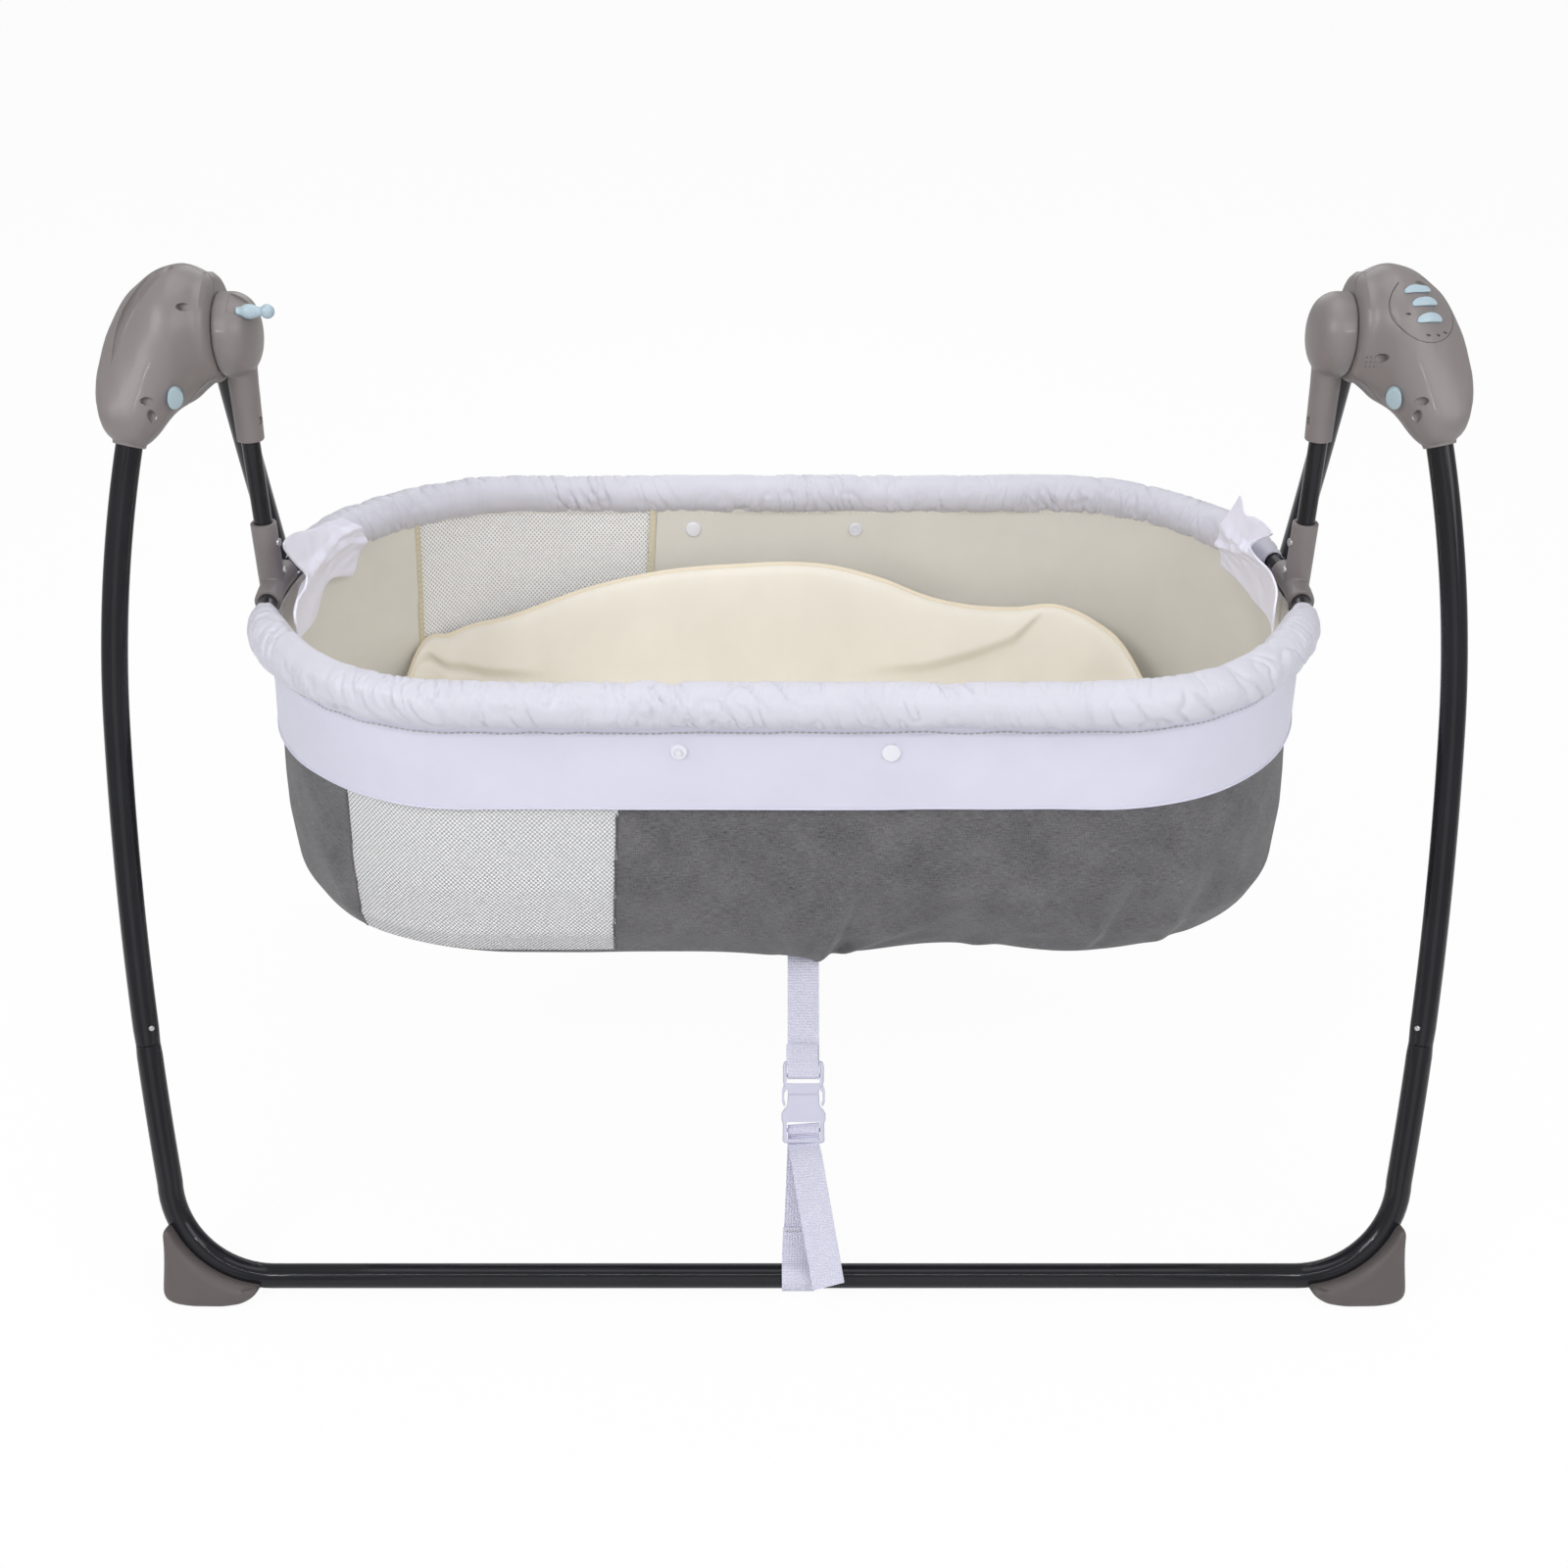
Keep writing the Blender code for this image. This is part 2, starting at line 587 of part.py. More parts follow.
def corner_outline(front):
    """Middle line of the right corner: the bend and the start of the leg, as x and way up."""
    start = corner_x(front) - BEND_RADIUS
    turns = [pi / 2 * k / BEND_STEPS for k in range(BEND_STEPS + 1)]
    bend = [(start + BEND_RADIUS * sin(a), BEND_RADIUS * (1 - cos(a))) for a in turns]
    return bend + [(leg_x(BEND_RADIUS * 2, front), BEND_RADIUS * 2)]


def build_base_tube(front, pivot):
    """Base tube with both corners up to the seams, and a spigot with its pin into each leg."""
    seam = hoop_way(TUBE_JOINT_HEIGHT)
    half = corner_outline(front) + [(leg_x(seam, front), seam)]
    outline = [(-x, w) for x, w in reversed(half)] + half
    name = "front_base_tube" if front else "rear_base_tube"
    base = tube(name, [hoop_point(x, w, front) for x, w in outline], LEG_RADIUS, hoop_normal(front))
    for side in (-1, 1):
        ways = [seam + SPIGOT_LENGTH * k / 2 for k in (-1, 0, 1, 2)]
        middle = [hoop_point(side * leg_x(w, front), w, front) for w in ways]
        root, tip = pin_line(front)
        pin = mirrored(rod("pin", root - (tip - root), tip, PIN_RADIUS, 10), side)
        spigot = tube("spigot", middle, LEG_RADIUS - LEG_WALL - SPIGOT_FIT, hoop_normal(front))
        fuse(base, spigot, pin)
    return finish(base, CHARCOAL, pivot)


def build_shoe(side, front, pivot):
    """Corner shoe: an extruded outline outside the bend, grooved by the tube."""
    corner = corner_x(front)
    lip = BEND_RADIUS + SHOE_LIP
    last = acos((BEND_RADIUS - SHOE_RISE) / lip)
    turns = [last * k / BEND_STEPS for k in range(1, BEND_STEPS + 1)]
    inner = [(corner - BEND_RADIUS + lip * sin(a), BEND_RADIUS - lip * cos(a)) for a in turns]
    outer_x = corner + SHOE_OUTSIDE
    tip_x, floor_way = outer_x - SHOE_REACH, hoop_way(0)
    inner = [(tip_x, -SHOE_LIP)] + inner
    outer = [(outer_x - SHOE_LIP / 2, SHOE_RISE), (outer_x, SHOE_RISE - SHOE_LIP * 2),
             (outer_x, floor_way / 2), (outer_x - SHOE_LIP, floor_way * 2),
             (tip_x + SHOE_LIP * 4, floor_way * 2), (tip_x, floor_way / 2)]
    half = SHOE_DEPTH / 2
    rings = [[hoop_point(x, w, front) + hoop_normal(front) * h for x, w in inner + outer]
             for h in (-half, half)]
    shoe = loft(side_name("front_shoe" if front else "rear_shoe", side), rings)
    bevel = shoe.modifiers.new("round", "BEVEL")
    bevel.width = SHOE_BEVEL
    bevel.segments = 1
    bevel.limit_method = "ANGLE"
    bevel.angle_limit = radians(50)
    floor = box("floor", (-ROOM, -ROOM, -ROOM), (ROOM, ROOM, 0))
    bpy.context.view_layer.update()
    shoe.data = bpy.data.meshes.new_from_object(shoe.evaluated_get(bpy.context.evaluated_depsgraph_get()))
    shoe.modifiers.clear()
    groove = tube("groove", [hoop_point(x, w, front) for x, w in [(0, 0)] + corner_outline(front)],
                  LEG_RADIUS + GAP, hoop_normal(front))
    cut(shoe, floor, groove)
    return finish(mirrored(shoe, side), TAUPE, pivot)


# Heads

def head_x(share):
    return HEAD_INNER_X + HEAD_WIDTH * share


def head_rings(grow=0.0, first_x=None):
    """Sections of the head: each is the hull of a dome circle and a lobe circle."""
    rings = []
    for share, ay, az, ar, by, bz, br in HEAD_SECTION_SHARES:
        x = head_x(share) + (grow if share > 0.5 else -grow)
        if first_x is not None:
            x = max(x, first_x)
        ring = []
        for k in range(HEAD_SIDES):
            angle = 2 * pi * k / HEAD_SIDES
            out_y, out_z = cos(angle), sin(angle)
            dome = ay * out_y + az * out_z + ar
            lobe = by * out_y + bz * out_z + br
            cy, cz, r = (ay, az, ar) if dome > lobe else (by, bz, br)
            ring.append(Vector((x, HEAD_RADIUS * (cy + r * out_y) + grow * out_y,
                                PIVOT_HEIGHT + HEAD_RADIUS * (cz + r * out_z) + grow * out_z)))
        rings.append(ring)
    return rings


def head_skin(name, grow=0.0):
    return loft(name, head_rings(grow))


def slot_x():
    """The slot for the knuckle: inner and outer face."""
    inner = HEAD_INNER_X + COLLAR_WALL
    return inner, inner + KNUCKLE_WIDTH + 2 * GAP


def web_x():
    return slot_x()[1] + HEAD_WEB


def seam_frame():
    """A point on the shells' seam and the direction from the front shell to the rear one."""
    point = hoop_point(0, hoop_way(LEG_ENTRY_HEIGHT), True) + hoop_normal(True) * SPLIT_OFFSET
    return point, hoop_normal(True)


def half_space(name, sign):
    """A large block on one side of the shells' seam."""
    point, normal = seam_frame()
    start = point + normal * (sign * GAP / 2)
    down = hoop_down(True)
    reach = HEAD_WIDTH * 3
    corners = [X_AXIS * (HEAD_INNER_X + a) + start - X_AXIS * start.x + down * b
               for a, b in ((-reach, -reach), (reach, -reach), (reach, reach), (-reach, reach))]
    return loft(name, [corners, [c + normal * (sign * reach) for c in corners]])


def screw_lines(side):
    """Axes of the head's screws: the surface point and the direction in."""
    _, normal = seam_frame()
    shares = list(HEAD_SCREW_SHARES)
    if side > 0:
        shares[0] = (shares[0][0], PANEL_SIDE_SCREW_SHARE)
    for width_share, rise_share in shares:
        seam_point = seam_frame()[0]
        along = -hoop_down(True)
        rise = (PIVOT_HEIGHT + HEAD_RADIUS * rise_share - seam_point.z) / along.z
        middle = seam_point + along * rise
        yield Vector((head_x(width_share), middle.y, middle.z)), normal


def surface_distance(point, direction, grow=0.0):
    """How far a ray runs from a point inside the head to its skin."""
    probe = head_skin("probe", grow)
    hit, place, _, _ = probe.ray_cast(point, direction)
    distance = (place - point).length if hit else 0
    bpy.data.objects.remove(probe, do_unlink=True)
    return distance


def oval_prism(name, centre, normal, side_way, half, low, high, sides=28, flat_from=None):
    """A prism on an oval, or on a half moon, along a normal from depth low to high."""
    up_way = normal.cross(side_way).normalized()
    outline = []
    for k in range(sides):
        a, b = cos(2 * pi * k / sides), sin(2 * pi * k / sides)
        if flat_from is not None:
            b = max(b, flat_from)
        outline.append(side_way * (half[0] * a) + up_way * (half[1] * b))
    return loft(name, [[centre + normal * h + p for p in outline] for h in (low, high)])


def panel_frame():
    """Centre of the panel inside the head, the way out, and its sideways direction."""
    centre = Vector((PANEL_X, PANEL_Y, PIVOT_HEIGHT + PANEL_RISE))
    core = Vector((PANEL_X - HEAD_RADIUS * 0.35, PANEL_Y * 0.1, PIVOT_HEIGHT))
    normal = (centre - core).normalized()
    side_way = (X_AXIS - normal * X_AXIS.dot(normal)).normalized()
    return centre, normal, side_way


def key_frames():
    """Centre of each key on the panel."""
    centre, normal, side_way = panel_frame()
    up_way = normal.cross(side_way).normalized()
    if up_way.z < 0:
        up_way = -up_way
    for k, name in enumerate(KEY_NAMES):
        place = centre + up_way * (KEY_PITCH * (1 - k)) + side_way * (KEY_DRIFT * (k - 1))
        yield name, place, normal, side_way


def fold_button_frame():
    centre = Vector((FOLD_BUTTON_X, FOLD_BUTTON_Y, PIVOT_HEIGHT - FOLD_BUTTON_DROP))
    normal = Vector((-0.28, -0.94, -0.1)).normalized()
    side_way = (X_AXIS - normal * X_AXIS.dot(normal)).normalized()
    return centre, normal, side_way


def fold_button_span():
    """Depths along the button's axis: its face, its back, and the well's bottom."""
    centre, normal, _ = fold_button_frame()
    face = surface_distance(centre, normal) + FOLD_BUTTON_PROUD
    back = face - FOLD_BUTTON_PROUD - FOLD_BUTTON_DEPTH
    return face, back, back - FOLD_SPRING_ROOM


def build_head_body(side):
    """The head before it is split: skin, slot, cavity, sockets and bosses."""
    head = head_skin("head_body")
    swoosh = swoosh_cutter()
    cut(head, swoosh)
    low, high = slot_x()
    pocket = turned("pocket", [(low, KNUCKLE_RADIUS + GAP * 2), (high, KNUCKLE_RADIUS + GAP * 2)], 32)
    slot = box("slot", (low, SLOT_FRONT, PIVOT_HEIGHT - HEAD_RADIUS * 2),
               (high, HEAD_RADIUS * 2, PIVOT_HEIGHT + SLOT_TOP))
    cavity = loft("cavity", head_rings(-HEAD_WALL))
    keep(cavity, box("cavity_zone", (web_x(), -ROOM, 0), (ROOM, ROOM, ROOM)))
    # Bosses stay in the cavity: they are taken out of the cavity's block
    mouth = leg_mouth_way(True)
    low, top, end = [hoop_point(leg_x(w, True), w, True)
                     for w in (mouth, mouth + LEG_SOCKET_DEPTH, mouth + LEG_SOCKET_DEPTH + LEG_SOCKET_WALL)]
    cut(cavity, rod("socket", low, end, LEG_RADIUS + LEG_SOCKET_WALL, 16))
    for place, normal in screw_lines(side):
        cut(cavity, rod("boss", place - normal * HEAD_RADIUS * 2, place + normal * HEAD_RADIUS * 2,
                        SCREW_BOSS_RADIUS, 14))
    if side > 0:
        cut(cavity, rod("post", coil_post_start(), coil_post_start() + X_AXIS * HEAD_WIDTH,
                        COIL_POST_RADIUS, 14))
    cut(head, pocket, slot, cavity)
    shaft_hole = turned("shaft_hole", [(HEAD_INNER_X - OVERRUN, SHAFT_RADIUS + GAP),
                                       (slot_x()[0] + OVERRUN, SHAFT_RADIUS + GAP)], 20)
    bush_hole = turned("bush_hole", [(high - OVERRUN, BUSH_RADIUS + GAP),
                                     (web_x() + OVERRUN, BUSH_RADIUS + GAP)], 20)
    cut(head, shaft_hole, bush_hole)
    leg_hole = tube("leg_hole", [low - (top - low), low, top + (top - low).normalized() * GAP],
                    LEG_RADIUS + SPIGOT_FIT, hoop_normal(True), 16)
    cut(head, leg_hole)
    for place, normal in screw_lines(side):
        out = surface_distance(place, -normal)
        sunk = place - normal * (out - HEAD_SCREW_SINK)
        cut(head, rod("screw_hole", sunk - normal * OVERRUN * 2, sunk + normal * (HEAD_SCREW_LENGTH + GAP),
                      HEAD_SCREW_RADIUS + GAP, 14))
    centre, normal, side_way = fold_button_frame()
    face, _, bottom = fold_button_span()
    half = [h + GAP for h in FOLD_BUTTON_HALF]
    cut(head, oval_prism("button_well", centre, normal, side_way, half, bottom, face + OVERRUN))
    if side > 0:
        cut_panel_hole(head)
        cut(head, inlet_rod(GAP, OVERRUN))
    return head


def swoosh_cutter():
    """A long scoop on the outer shoulder of a head."""
    bm = bmesh.new()
    bmesh.ops.create_uvsphere(bm, u_segments=12, v_segments=8, radius=1)
    turn = Matrix.Rotation(radians(-58), 4, "Y")
    size = Matrix.Diagonal((SWOOSH_LENGTH, SWOOSH_DEPTH, SWOOSH_WIDTH, 1))
    centre = Vector((head_x(0.80), -HEAD_RADIUS * 0.78, PIVOT_HEIGHT + HEAD_RADIUS * 0.42))
    bmesh.ops.transform(bm, matrix=Matrix.Translation(centre) @ turn @ size, verts=bm.verts)
    return make_object("swoosh", bm)


def cut_panel_hole(head):
    centre, normal, side_way = panel_frame()
    face = surface_distance(centre, normal)
    half = [h + GAP for h in PANEL_HALF]
    cut(head, oval_prism("panel_hole", centre, normal, side_way, half,
                         face - PANEL_DEPTH * 2, face + OVERRUN, 36))


def coil_post_start():
    return Vector((coil_x()[1] + GAP, 0, PIVOT_HEIGHT - MAGNET_REACH))


def coil_x():
    low = web_x() + BUSH_FLANGE + 2 * GAP + MAGNET_THICKNESS + COIL_AIR_GAP
    return low, low + COIL_LENGTH


def inlet_rod(clearance, overrun):
    """The power inlet's barrel, in the rear shell's lower back."""
    x = head_x(0.62)
    place = Vector((x, 0, PIVOT_HEIGHT - INLET_RISE))
    distance = surface_distance(place, Y_AXIS)
    outer = place + Y_AXIS * (distance + (overrun or GAP))
    inner = place + Y_AXIS * (distance - INLET_LENGTH)
    return rod("power_inlet", inner, outer, INLET_RADIUS + clearance, 16)


def build_head(side, pivots):
    """Front and rear shell of one head, with its screws."""
    for front in (True, False):
        body = build_head_body(side)
        name = side_name("head_front_shell" if front else "head_rear_shell", side)
        keep(body, half_space("half", -1 if front else 1))
        body.name = name
        finish(mirrored(body, side), TAUPE, pivots["front_frame"])


def build_head_screws(side, pivots):
    for number, (place, normal) in enumerate(screw_lines(side), 1):
        out = surface_distance(place, -normal)
        sunk = place - normal * (out - HEAD_SCREW_SINK)
        name = side_name("head_screw_" + str(number), side)
        screw = rod(name, sunk, sunk + normal * HEAD_SCREW_LENGTH, HEAD_SCREW_RADIUS, 12)
        finish(mirrored(screw, side), STEEL, pivots["front_frame"])


def build_bush(side, pivots):
    low = slot_x()[1] + GAP
    bush = fuse(turned("bush", [(low, BUSH_RADIUS), (web_x() + GAP, BUSH_RADIUS)], 20),
                turned("flange", [(web_x() + GAP, BUSH_FLANGE_RADIUS),
                                  (web_x() + GAP + BUSH_FLANGE, BUSH_FLANGE_RADIUS)], 20))
    cut(bush, turned("bore", [(low - OVERRUN, SHAFT_RADIUS + GAP),
                              (web_x() + OVERRUN, SHAFT_RADIUS + GAP)], 20))
    bush.name = side_name("shaft_bush", side)
    finish(mirrored(bush, side), BRONZE, pivots["front_frame"])


def build_fold_button(side, pivots):
    """Oval button of the fold lock."""
    centre, normal, side_way = fold_button_frame()
    face, back, _ = fold_button_span()
    button = oval_prism("button", centre, normal, side_way, FOLD_BUTTON_HALF, back, face + OVERRUN)
    keep(button, head_skin("button_face", FOLD_BUTTON_PROUD))
    button.name = side_name("fold_button", side)
    at = Vector((side * centre.x, centre.y, centre.z))
    pivot = make_pivot(side_name("fold_button_slide", side), at, pivots["front_frame"])
    finish(mirrored(button, side), PALE_BLUE, pivot)


def build_panel(pivots):
    """Panel of the right head with its three keys."""
    centre, normal, side_way = panel_frame()
    face = surface_distance(centre, normal)
    panel = oval_prism("control_panel", centre, normal, side_way, PANEL_HALF,
                       face - PANEL_DEPTH, face + OVERRUN, 36)
    keep(panel, head_skin("panel_face"))
    for name, place, _, _ in key_frames():
        depth = surface_distance(place, normal)
        half = [h + GAP for h in KEY_HALF]
        cut(panel, oval_prism("key_hole", place, normal, side_way, half,
                              depth - PANEL_DEPTH * 3, depth + OVERRUN,
                              20, KEY_ARCH_SHARE - GAP / KEY_HALF[1]))
        key = oval_prism("key", place, normal, side_way, KEY_HALF, depth - KEY_HEIGHT, depth + OVERRUN,
                         20, KEY_ARCH_SHARE)
        keep(key, head_skin("key_face", KEY_PROUD))
        key.name = name
        pivot = make_pivot(name + "_slide", place, pivots["front_frame"])
        finish(key, PALE_BLUE, pivot)
    finish(panel, TAUPE, pivots["front_frame"])


def build_right_internals(pivots):
    """Control board, speaker, drive coil and power inlet."""
    root = pivots["front_frame"]
    start = web_x() + GAP
    low = Vector((start, BOARD_Y - BOARD_SIZE[1] / 2, PIVOT_HEIGHT + BOARD_RISE - BOARD_SIZE[2] / 2))
    finish(box("control_board", low, low + Vector(BOARD_SIZE)), CIRCUIT_GREEN, root)
    place = Vector((start, SPEAKER_Y, PIVOT_HEIGHT + SPEAKER_RISE))
    speaker = rod("speaker", place, place + X_AXIS * SPEAKER_DEPTH * 0.6, SPEAKER_RADIUS, 20)
    fuse(speaker, rod("magnet_cup", place, place + X_AXIS * SPEAKER_DEPTH * 1.6, SPEAKER_RADIUS / 2, 16))
    finish(speaker, BLACK_PLASTIC, root)
    low_x, high_x = coil_x()
    axis = Vector((0, 0, PIVOT_HEIGHT - MAGNET_REACH))
    coil = rod("drive_coil", axis + X_AXIS * low_x, axis + X_AXIS * high_x, COIL_RADIUS, 20)
    cut(coil, rod("coil_bore", axis + X_AXIS * (low_x - OVERRUN), axis + X_AXIS * (high_x - COIL_AIR_GAP),
                  COIL_BORE, 16))
    finish(coil, COPPER, root)
    finish(inlet_rod(0, 0), BLACK_PLASTIC, root)


def build_knuckle(side, pivots):
    """Rear leg's knuckle: a disc on the pivot with a sleeve for the leg."""
    low, high = slot_x()[0] + GAP, slot_x()[1] - GAP
    knuckle = turned("knuckle", [(low, KNUCKLE_RADIUS), (high, KNUCKLE_RADIUS)], 32)
    middle, way, down = (low + high) / 2, knuckle_way(), hoop_down(False)
    closest = hoop_point(middle, way, False)
    sleeve = rod("sleeve", closest - down * LEG_SLEEVE_ABOVE, closest + down * LEG_SLEEVE_BELOW,
                 KNUCKLE_WIDTH / 2, 24)
    shoulder = closest * 0.5 + Vector((middle, 0, PIVOT_HEIGHT)) * 0.5
    rib = box("rib", (low, shoulder.y - KNUCKLE_RADIUS / 2, shoulder.z - KNUCKLE_RADIUS / 2),
              (high, shoulder.y + KNUCKLE_RADIUS / 2, shoulder.z + KNUCKLE_RADIUS / 4))
    fuse(knuckle, rib, sleeve)
    bore = rod("leg_bore", closest + down * (LEG_SLEEVE_BELOW - LEG_SOCKET_DEPTH - GAP),
               closest + down * (LEG_SLEEVE_BELOW + OVERRUN), LEG_RADIUS + SPIGOT_FIT, 16)
    cut(knuckle, bore, turned("shaft_bore", [(low - OVERRUN, SHAFT_RADIUS + GAP),
                                             (high + OVERRUN, SHAFT_RADIUS + GAP)], 20))
    knuckle.name = side_name("rear_knuckle", side)
    finish(mirrored(knuckle, side), TAUPE, pivots["rear_frame"])


# Hubs and hangers

def arm_top():
    return Vector((HANGER_X - ARM_TOP_RADIUS / 4, 0, PIVOT_HEIGHT))


def build_hub(side, pivots):
    """Domed hub on the swing shaft, with the sleeve for the hanger tube."""
    outer_x = HEAD_INNER_X - GAP
    length = outer_x - HUB_INNER_X
    hub = turned("hub", [(HUB_INNER_X + length * a, HUB_RADIUS * b) for a, b in HUB_PROFILE_SHARES], 24)
    arm_end = Vector((HANGER_X, 0, ARM_END_HEIGHT))
    neck = Vector((HANGER_X - ARM_RADIUS / 8, 0, PIVOT_HEIGHT - HUB_RADIUS * 1.3))
    fuse(hub, rod("arm_neck", arm_top(), neck, ARM_TOP_RADIUS, 20, ARM_RADIUS * 1.08),
         rod("arm", neck - Z_AXIS * -GAP, arm_end, ARM_RADIUS * 1.08, 20, ARM_RADIUS))
    keep(hub, box("hub_zone", (0, -ROOM, 0), (outer_x, ROOM, ROOM)))
    cut(hub, turned("shaft_socket", [(SHAFT_INNER_X - GAP, SHAFT_RADIUS + GAP),
                                     (outer_x + OVERRUN, SHAFT_RADIUS + GAP)], 20),
        rod("tube_socket", (HANGER_X, 0, HANGER_TOP_HEIGHT + GAP), (HANGER_X, 0, ARM_END_HEIGHT - OVERRUN),
            HANGER_RADIUS + GAP, 16))
    if side < 0:
        cut(hub, lock_slot())
    hub.name = side_name("swing_hub", side)
    finish(mirrored(hub, side), TAUPE, pivots["cradle"])
    profile = [(SHAFT_INNER_X, SHAFT_RADIUS), (SHAFT_OUTER_X, SHAFT_RADIUS)]
    shaft = turned(side_name("swing_shaft", side), profile, 20)
    finish(mirrored(shaft, side), STEEL, pivots["cradle"])
    hanger = rod(side_name("hanger_tube", side), (HANGER_X, 0, HANGER_TOP_HEIGHT),
                 (HANGER_X, 0, RIM_HEIGHT + RIM_RADIUS + CONNECTOR_WALL), HANGER_RADIUS, 14)
    finish(mirrored(hanger, side), CHARCOAL, pivots["cradle"])


def lock_angle():
    """Place of the lock's stem about the swing axis, in the Y-Z plane."""
    return Vector((0, LOCK_Y, LOCK_RISE))


def lock_slot():
    """Arc slot for the lock's stem, about the swing axis."""
    radius = hypot(LOCK_Y, LOCK_RISE)
    half = LOCK_STEM_RADIUS + GAP * 2
    steps = 8
    rings = []
    spare = half / radius
    for k in range(steps + 1):
        turn = Matrix.Rotation(spare - (LOCK_TRAVEL + 2 * spare) * k / steps, 4, "X")
        ring = []
        for x, r in ((HUB_INNER_X - OVERRUN, radius - half), (LOCK_ROOT_X + GAP * 2, radius - half),
                     (LOCK_ROOT_X + GAP * 2, radius + half), (HUB_INNER_X - OVERRUN, radius + half)):
            arm = turn @ (lock_angle().normalized() * r)
            ring.append(Vector((x, arm.y, PIVOT_HEIGHT + arm.z)))
        rings.append(ring)
    return loft("lock_slot", rings)


def build_lock(pivots):
    """Ball-ended lever of the swing lock, on the left hub."""
    place = Vector((0, LOCK_Y, PIVOT_HEIGHT + LOCK_RISE))
    stem = rod("swing_lock", place + X_AXIS * LOCK_BALL_X, place + X_AXIS * LOCK_ROOT_X, LOCK_STEM_RADIUS, 14)
    ball = bmesh.new()
    bmesh.ops.create_icosphere(ball, subdivisions=2, radius=LOCK_BALL_RADIUS)
    bmesh.ops.translate(ball, verts=ball.verts, vec=place + X_AXIS * LOCK_BALL_X)
    fuse(stem, make_object("ball", ball))
    pivot = make_pivot("swing_lock_pivot", (0, 0, PIVOT_HEIGHT), pivots["cradle"])
    finish(mirrored(stem, -1), PALE_BLUE, pivot)


def build_magnet(pivots):
    """Magnet arm on the right shaft, facing the drive coil."""
    low = web_x() + BUSH_FLANGE + 2 * GAP
    high = low + MAGNET_THICKNESS
    arm = turned("magnet_arm", [(low, MAGNET_WIDTH * 0.7), (high, MAGNET_WIDTH * 0.7)], 20)
    fuse(arm, box("blade", (low, -MAGNET_WIDTH / 2, PIVOT_HEIGHT - MAGNET_REACH - MAGNET_WIDTH / 2),
                  (high, MAGNET_WIDTH / 2, PIVOT_HEIGHT - MAGNET_WIDTH / 4)))
    bore = SHAFT_RADIUS + GAP
    cut(arm, turned("arm_bore", [(low - OVERRUN, bore), (high + OVERRUN, bore)], 20))
    finish(arm, BLACK_PLASTIC, pivots["cradle"])


# Rim

def rim_quarter(count, x_share=1.0, y_share=1.0):
    """Points of the right front quarter, from the end of the basket to its straight side."""
    points = []
    for k in range(count + 1):
        angle = pi / 2 * k / count
        x = RIM_STRAIGHT + RIM_END * cos(angle)
        points.append((x_share * x, -y_share * RIM_HALF_WIDTH * sin(angle)))
    return points


def rim_path(front, covered=False):
    """Half of the rim between the connectors' middles, or only its covered stretch."""
    near = COVER_START / RIM_HALF_WIDTH
    turns = [near + (pi / 2 - near) * k / RIM_END_POINTS for k in range(RIM_END_POINTS + 1)]
    if not covered:
        turns = [GAP * 3 / RIM_HALF_WIDTH, near / 2] + turns
    half = [(RIM_STRAIGHT + RIM_END * cos(a), -RIM_HALF_WIDTH * sin(a)) for a in turns]
    half.append((0, -RIM_HALF_WIDTH))
    outline = half + [(-x, y) for x, y in reversed(half[:-1])]
    return [Vector((x, y if front else -y, RIM_HEIGHT)) for x, y in outline]


def cover_scales(path):
    """Shares of a cover's full radius along its path: it is gathered in at both ends."""
    way = [0]
    for a, b in zip(path, path[1:]):
        way.append(way[-1] + (b - a).length)
    shares = []
    for w in way:
        taper = min(1, w / COVER_TAPER, (way[-1] - w) / COVER_TAPER)
        radius = COVER_END_RADIUS + (COVER_RADIUS - COVER_END_RADIUS) * sin(taper * pi / 2)
        shares.append(radius / COVER_RADIUS)
    return shares


def build_rim(front, pivots):
    end = "front" if front else "rear"
    rim = tube("rim_tube_" + end, rim_path(front), RIM_RADIUS, Z_AXIS, RIM_SIDES)
    finish(rim, CHARCOAL, pivots["cradle"])
    path = rim_path(front, True)
    cover = sweep("rim_cover_" + end, path, circle(COVER_RADIUS, RIM_SIDES), Z_AXIS,
                  circle(COVER_BORE, RIM_SIDES), cover_scales(path))
    finish(cover, WHITE_CLOTH, pivots["cradle"], radians(60))


def build_connector(side, pivots):
    """T connector between a hanger tube and the two rim tubes."""
    first = rim_path(True)[:3]
    bore = [Vector((p.x, -p.y, p.z)) for p in reversed(first)] + first[1:]
    short = bore[1:-1]
    for end, last in ((0, 0), (-1, -1)):
        outward = (bore[end] - short[last]).normalized()
        short[last] = short[last] + outward * (CONNECTOR_REACH - abs(short[last].y))
    radius = RIM_RADIUS + CONNECTOR_WALL
    body = tube("connector", short, radius, Z_AXIS, CONNECTOR_SIDES)
    fuse(body, rod("upright", (HANGER_X, 0, RIM_HEIGHT), (HANGER_X, 0, CONNECTOR_TOP_HEIGHT), radius,
                   CONNECTOR_SIDES))
    cut(body, tube("rim_bore", bore, RIM_RADIUS + GAP, Z_AXIS, RIM_SIDES * 2),
        rod("hanger_bore", (HANGER_X, 0, RIM_HEIGHT + radius - GAP),
            (HANGER_X, 0, CONNECTOR_TOP_HEIGHT + OVERRUN),
            HANGER_RADIUS + GAP, CONNECTOR_SIDES))
    body.name = side_name("rim_connector", side)
    finish(mirrored(body, side), TAUPE, pivots["cradle"])


# Basket

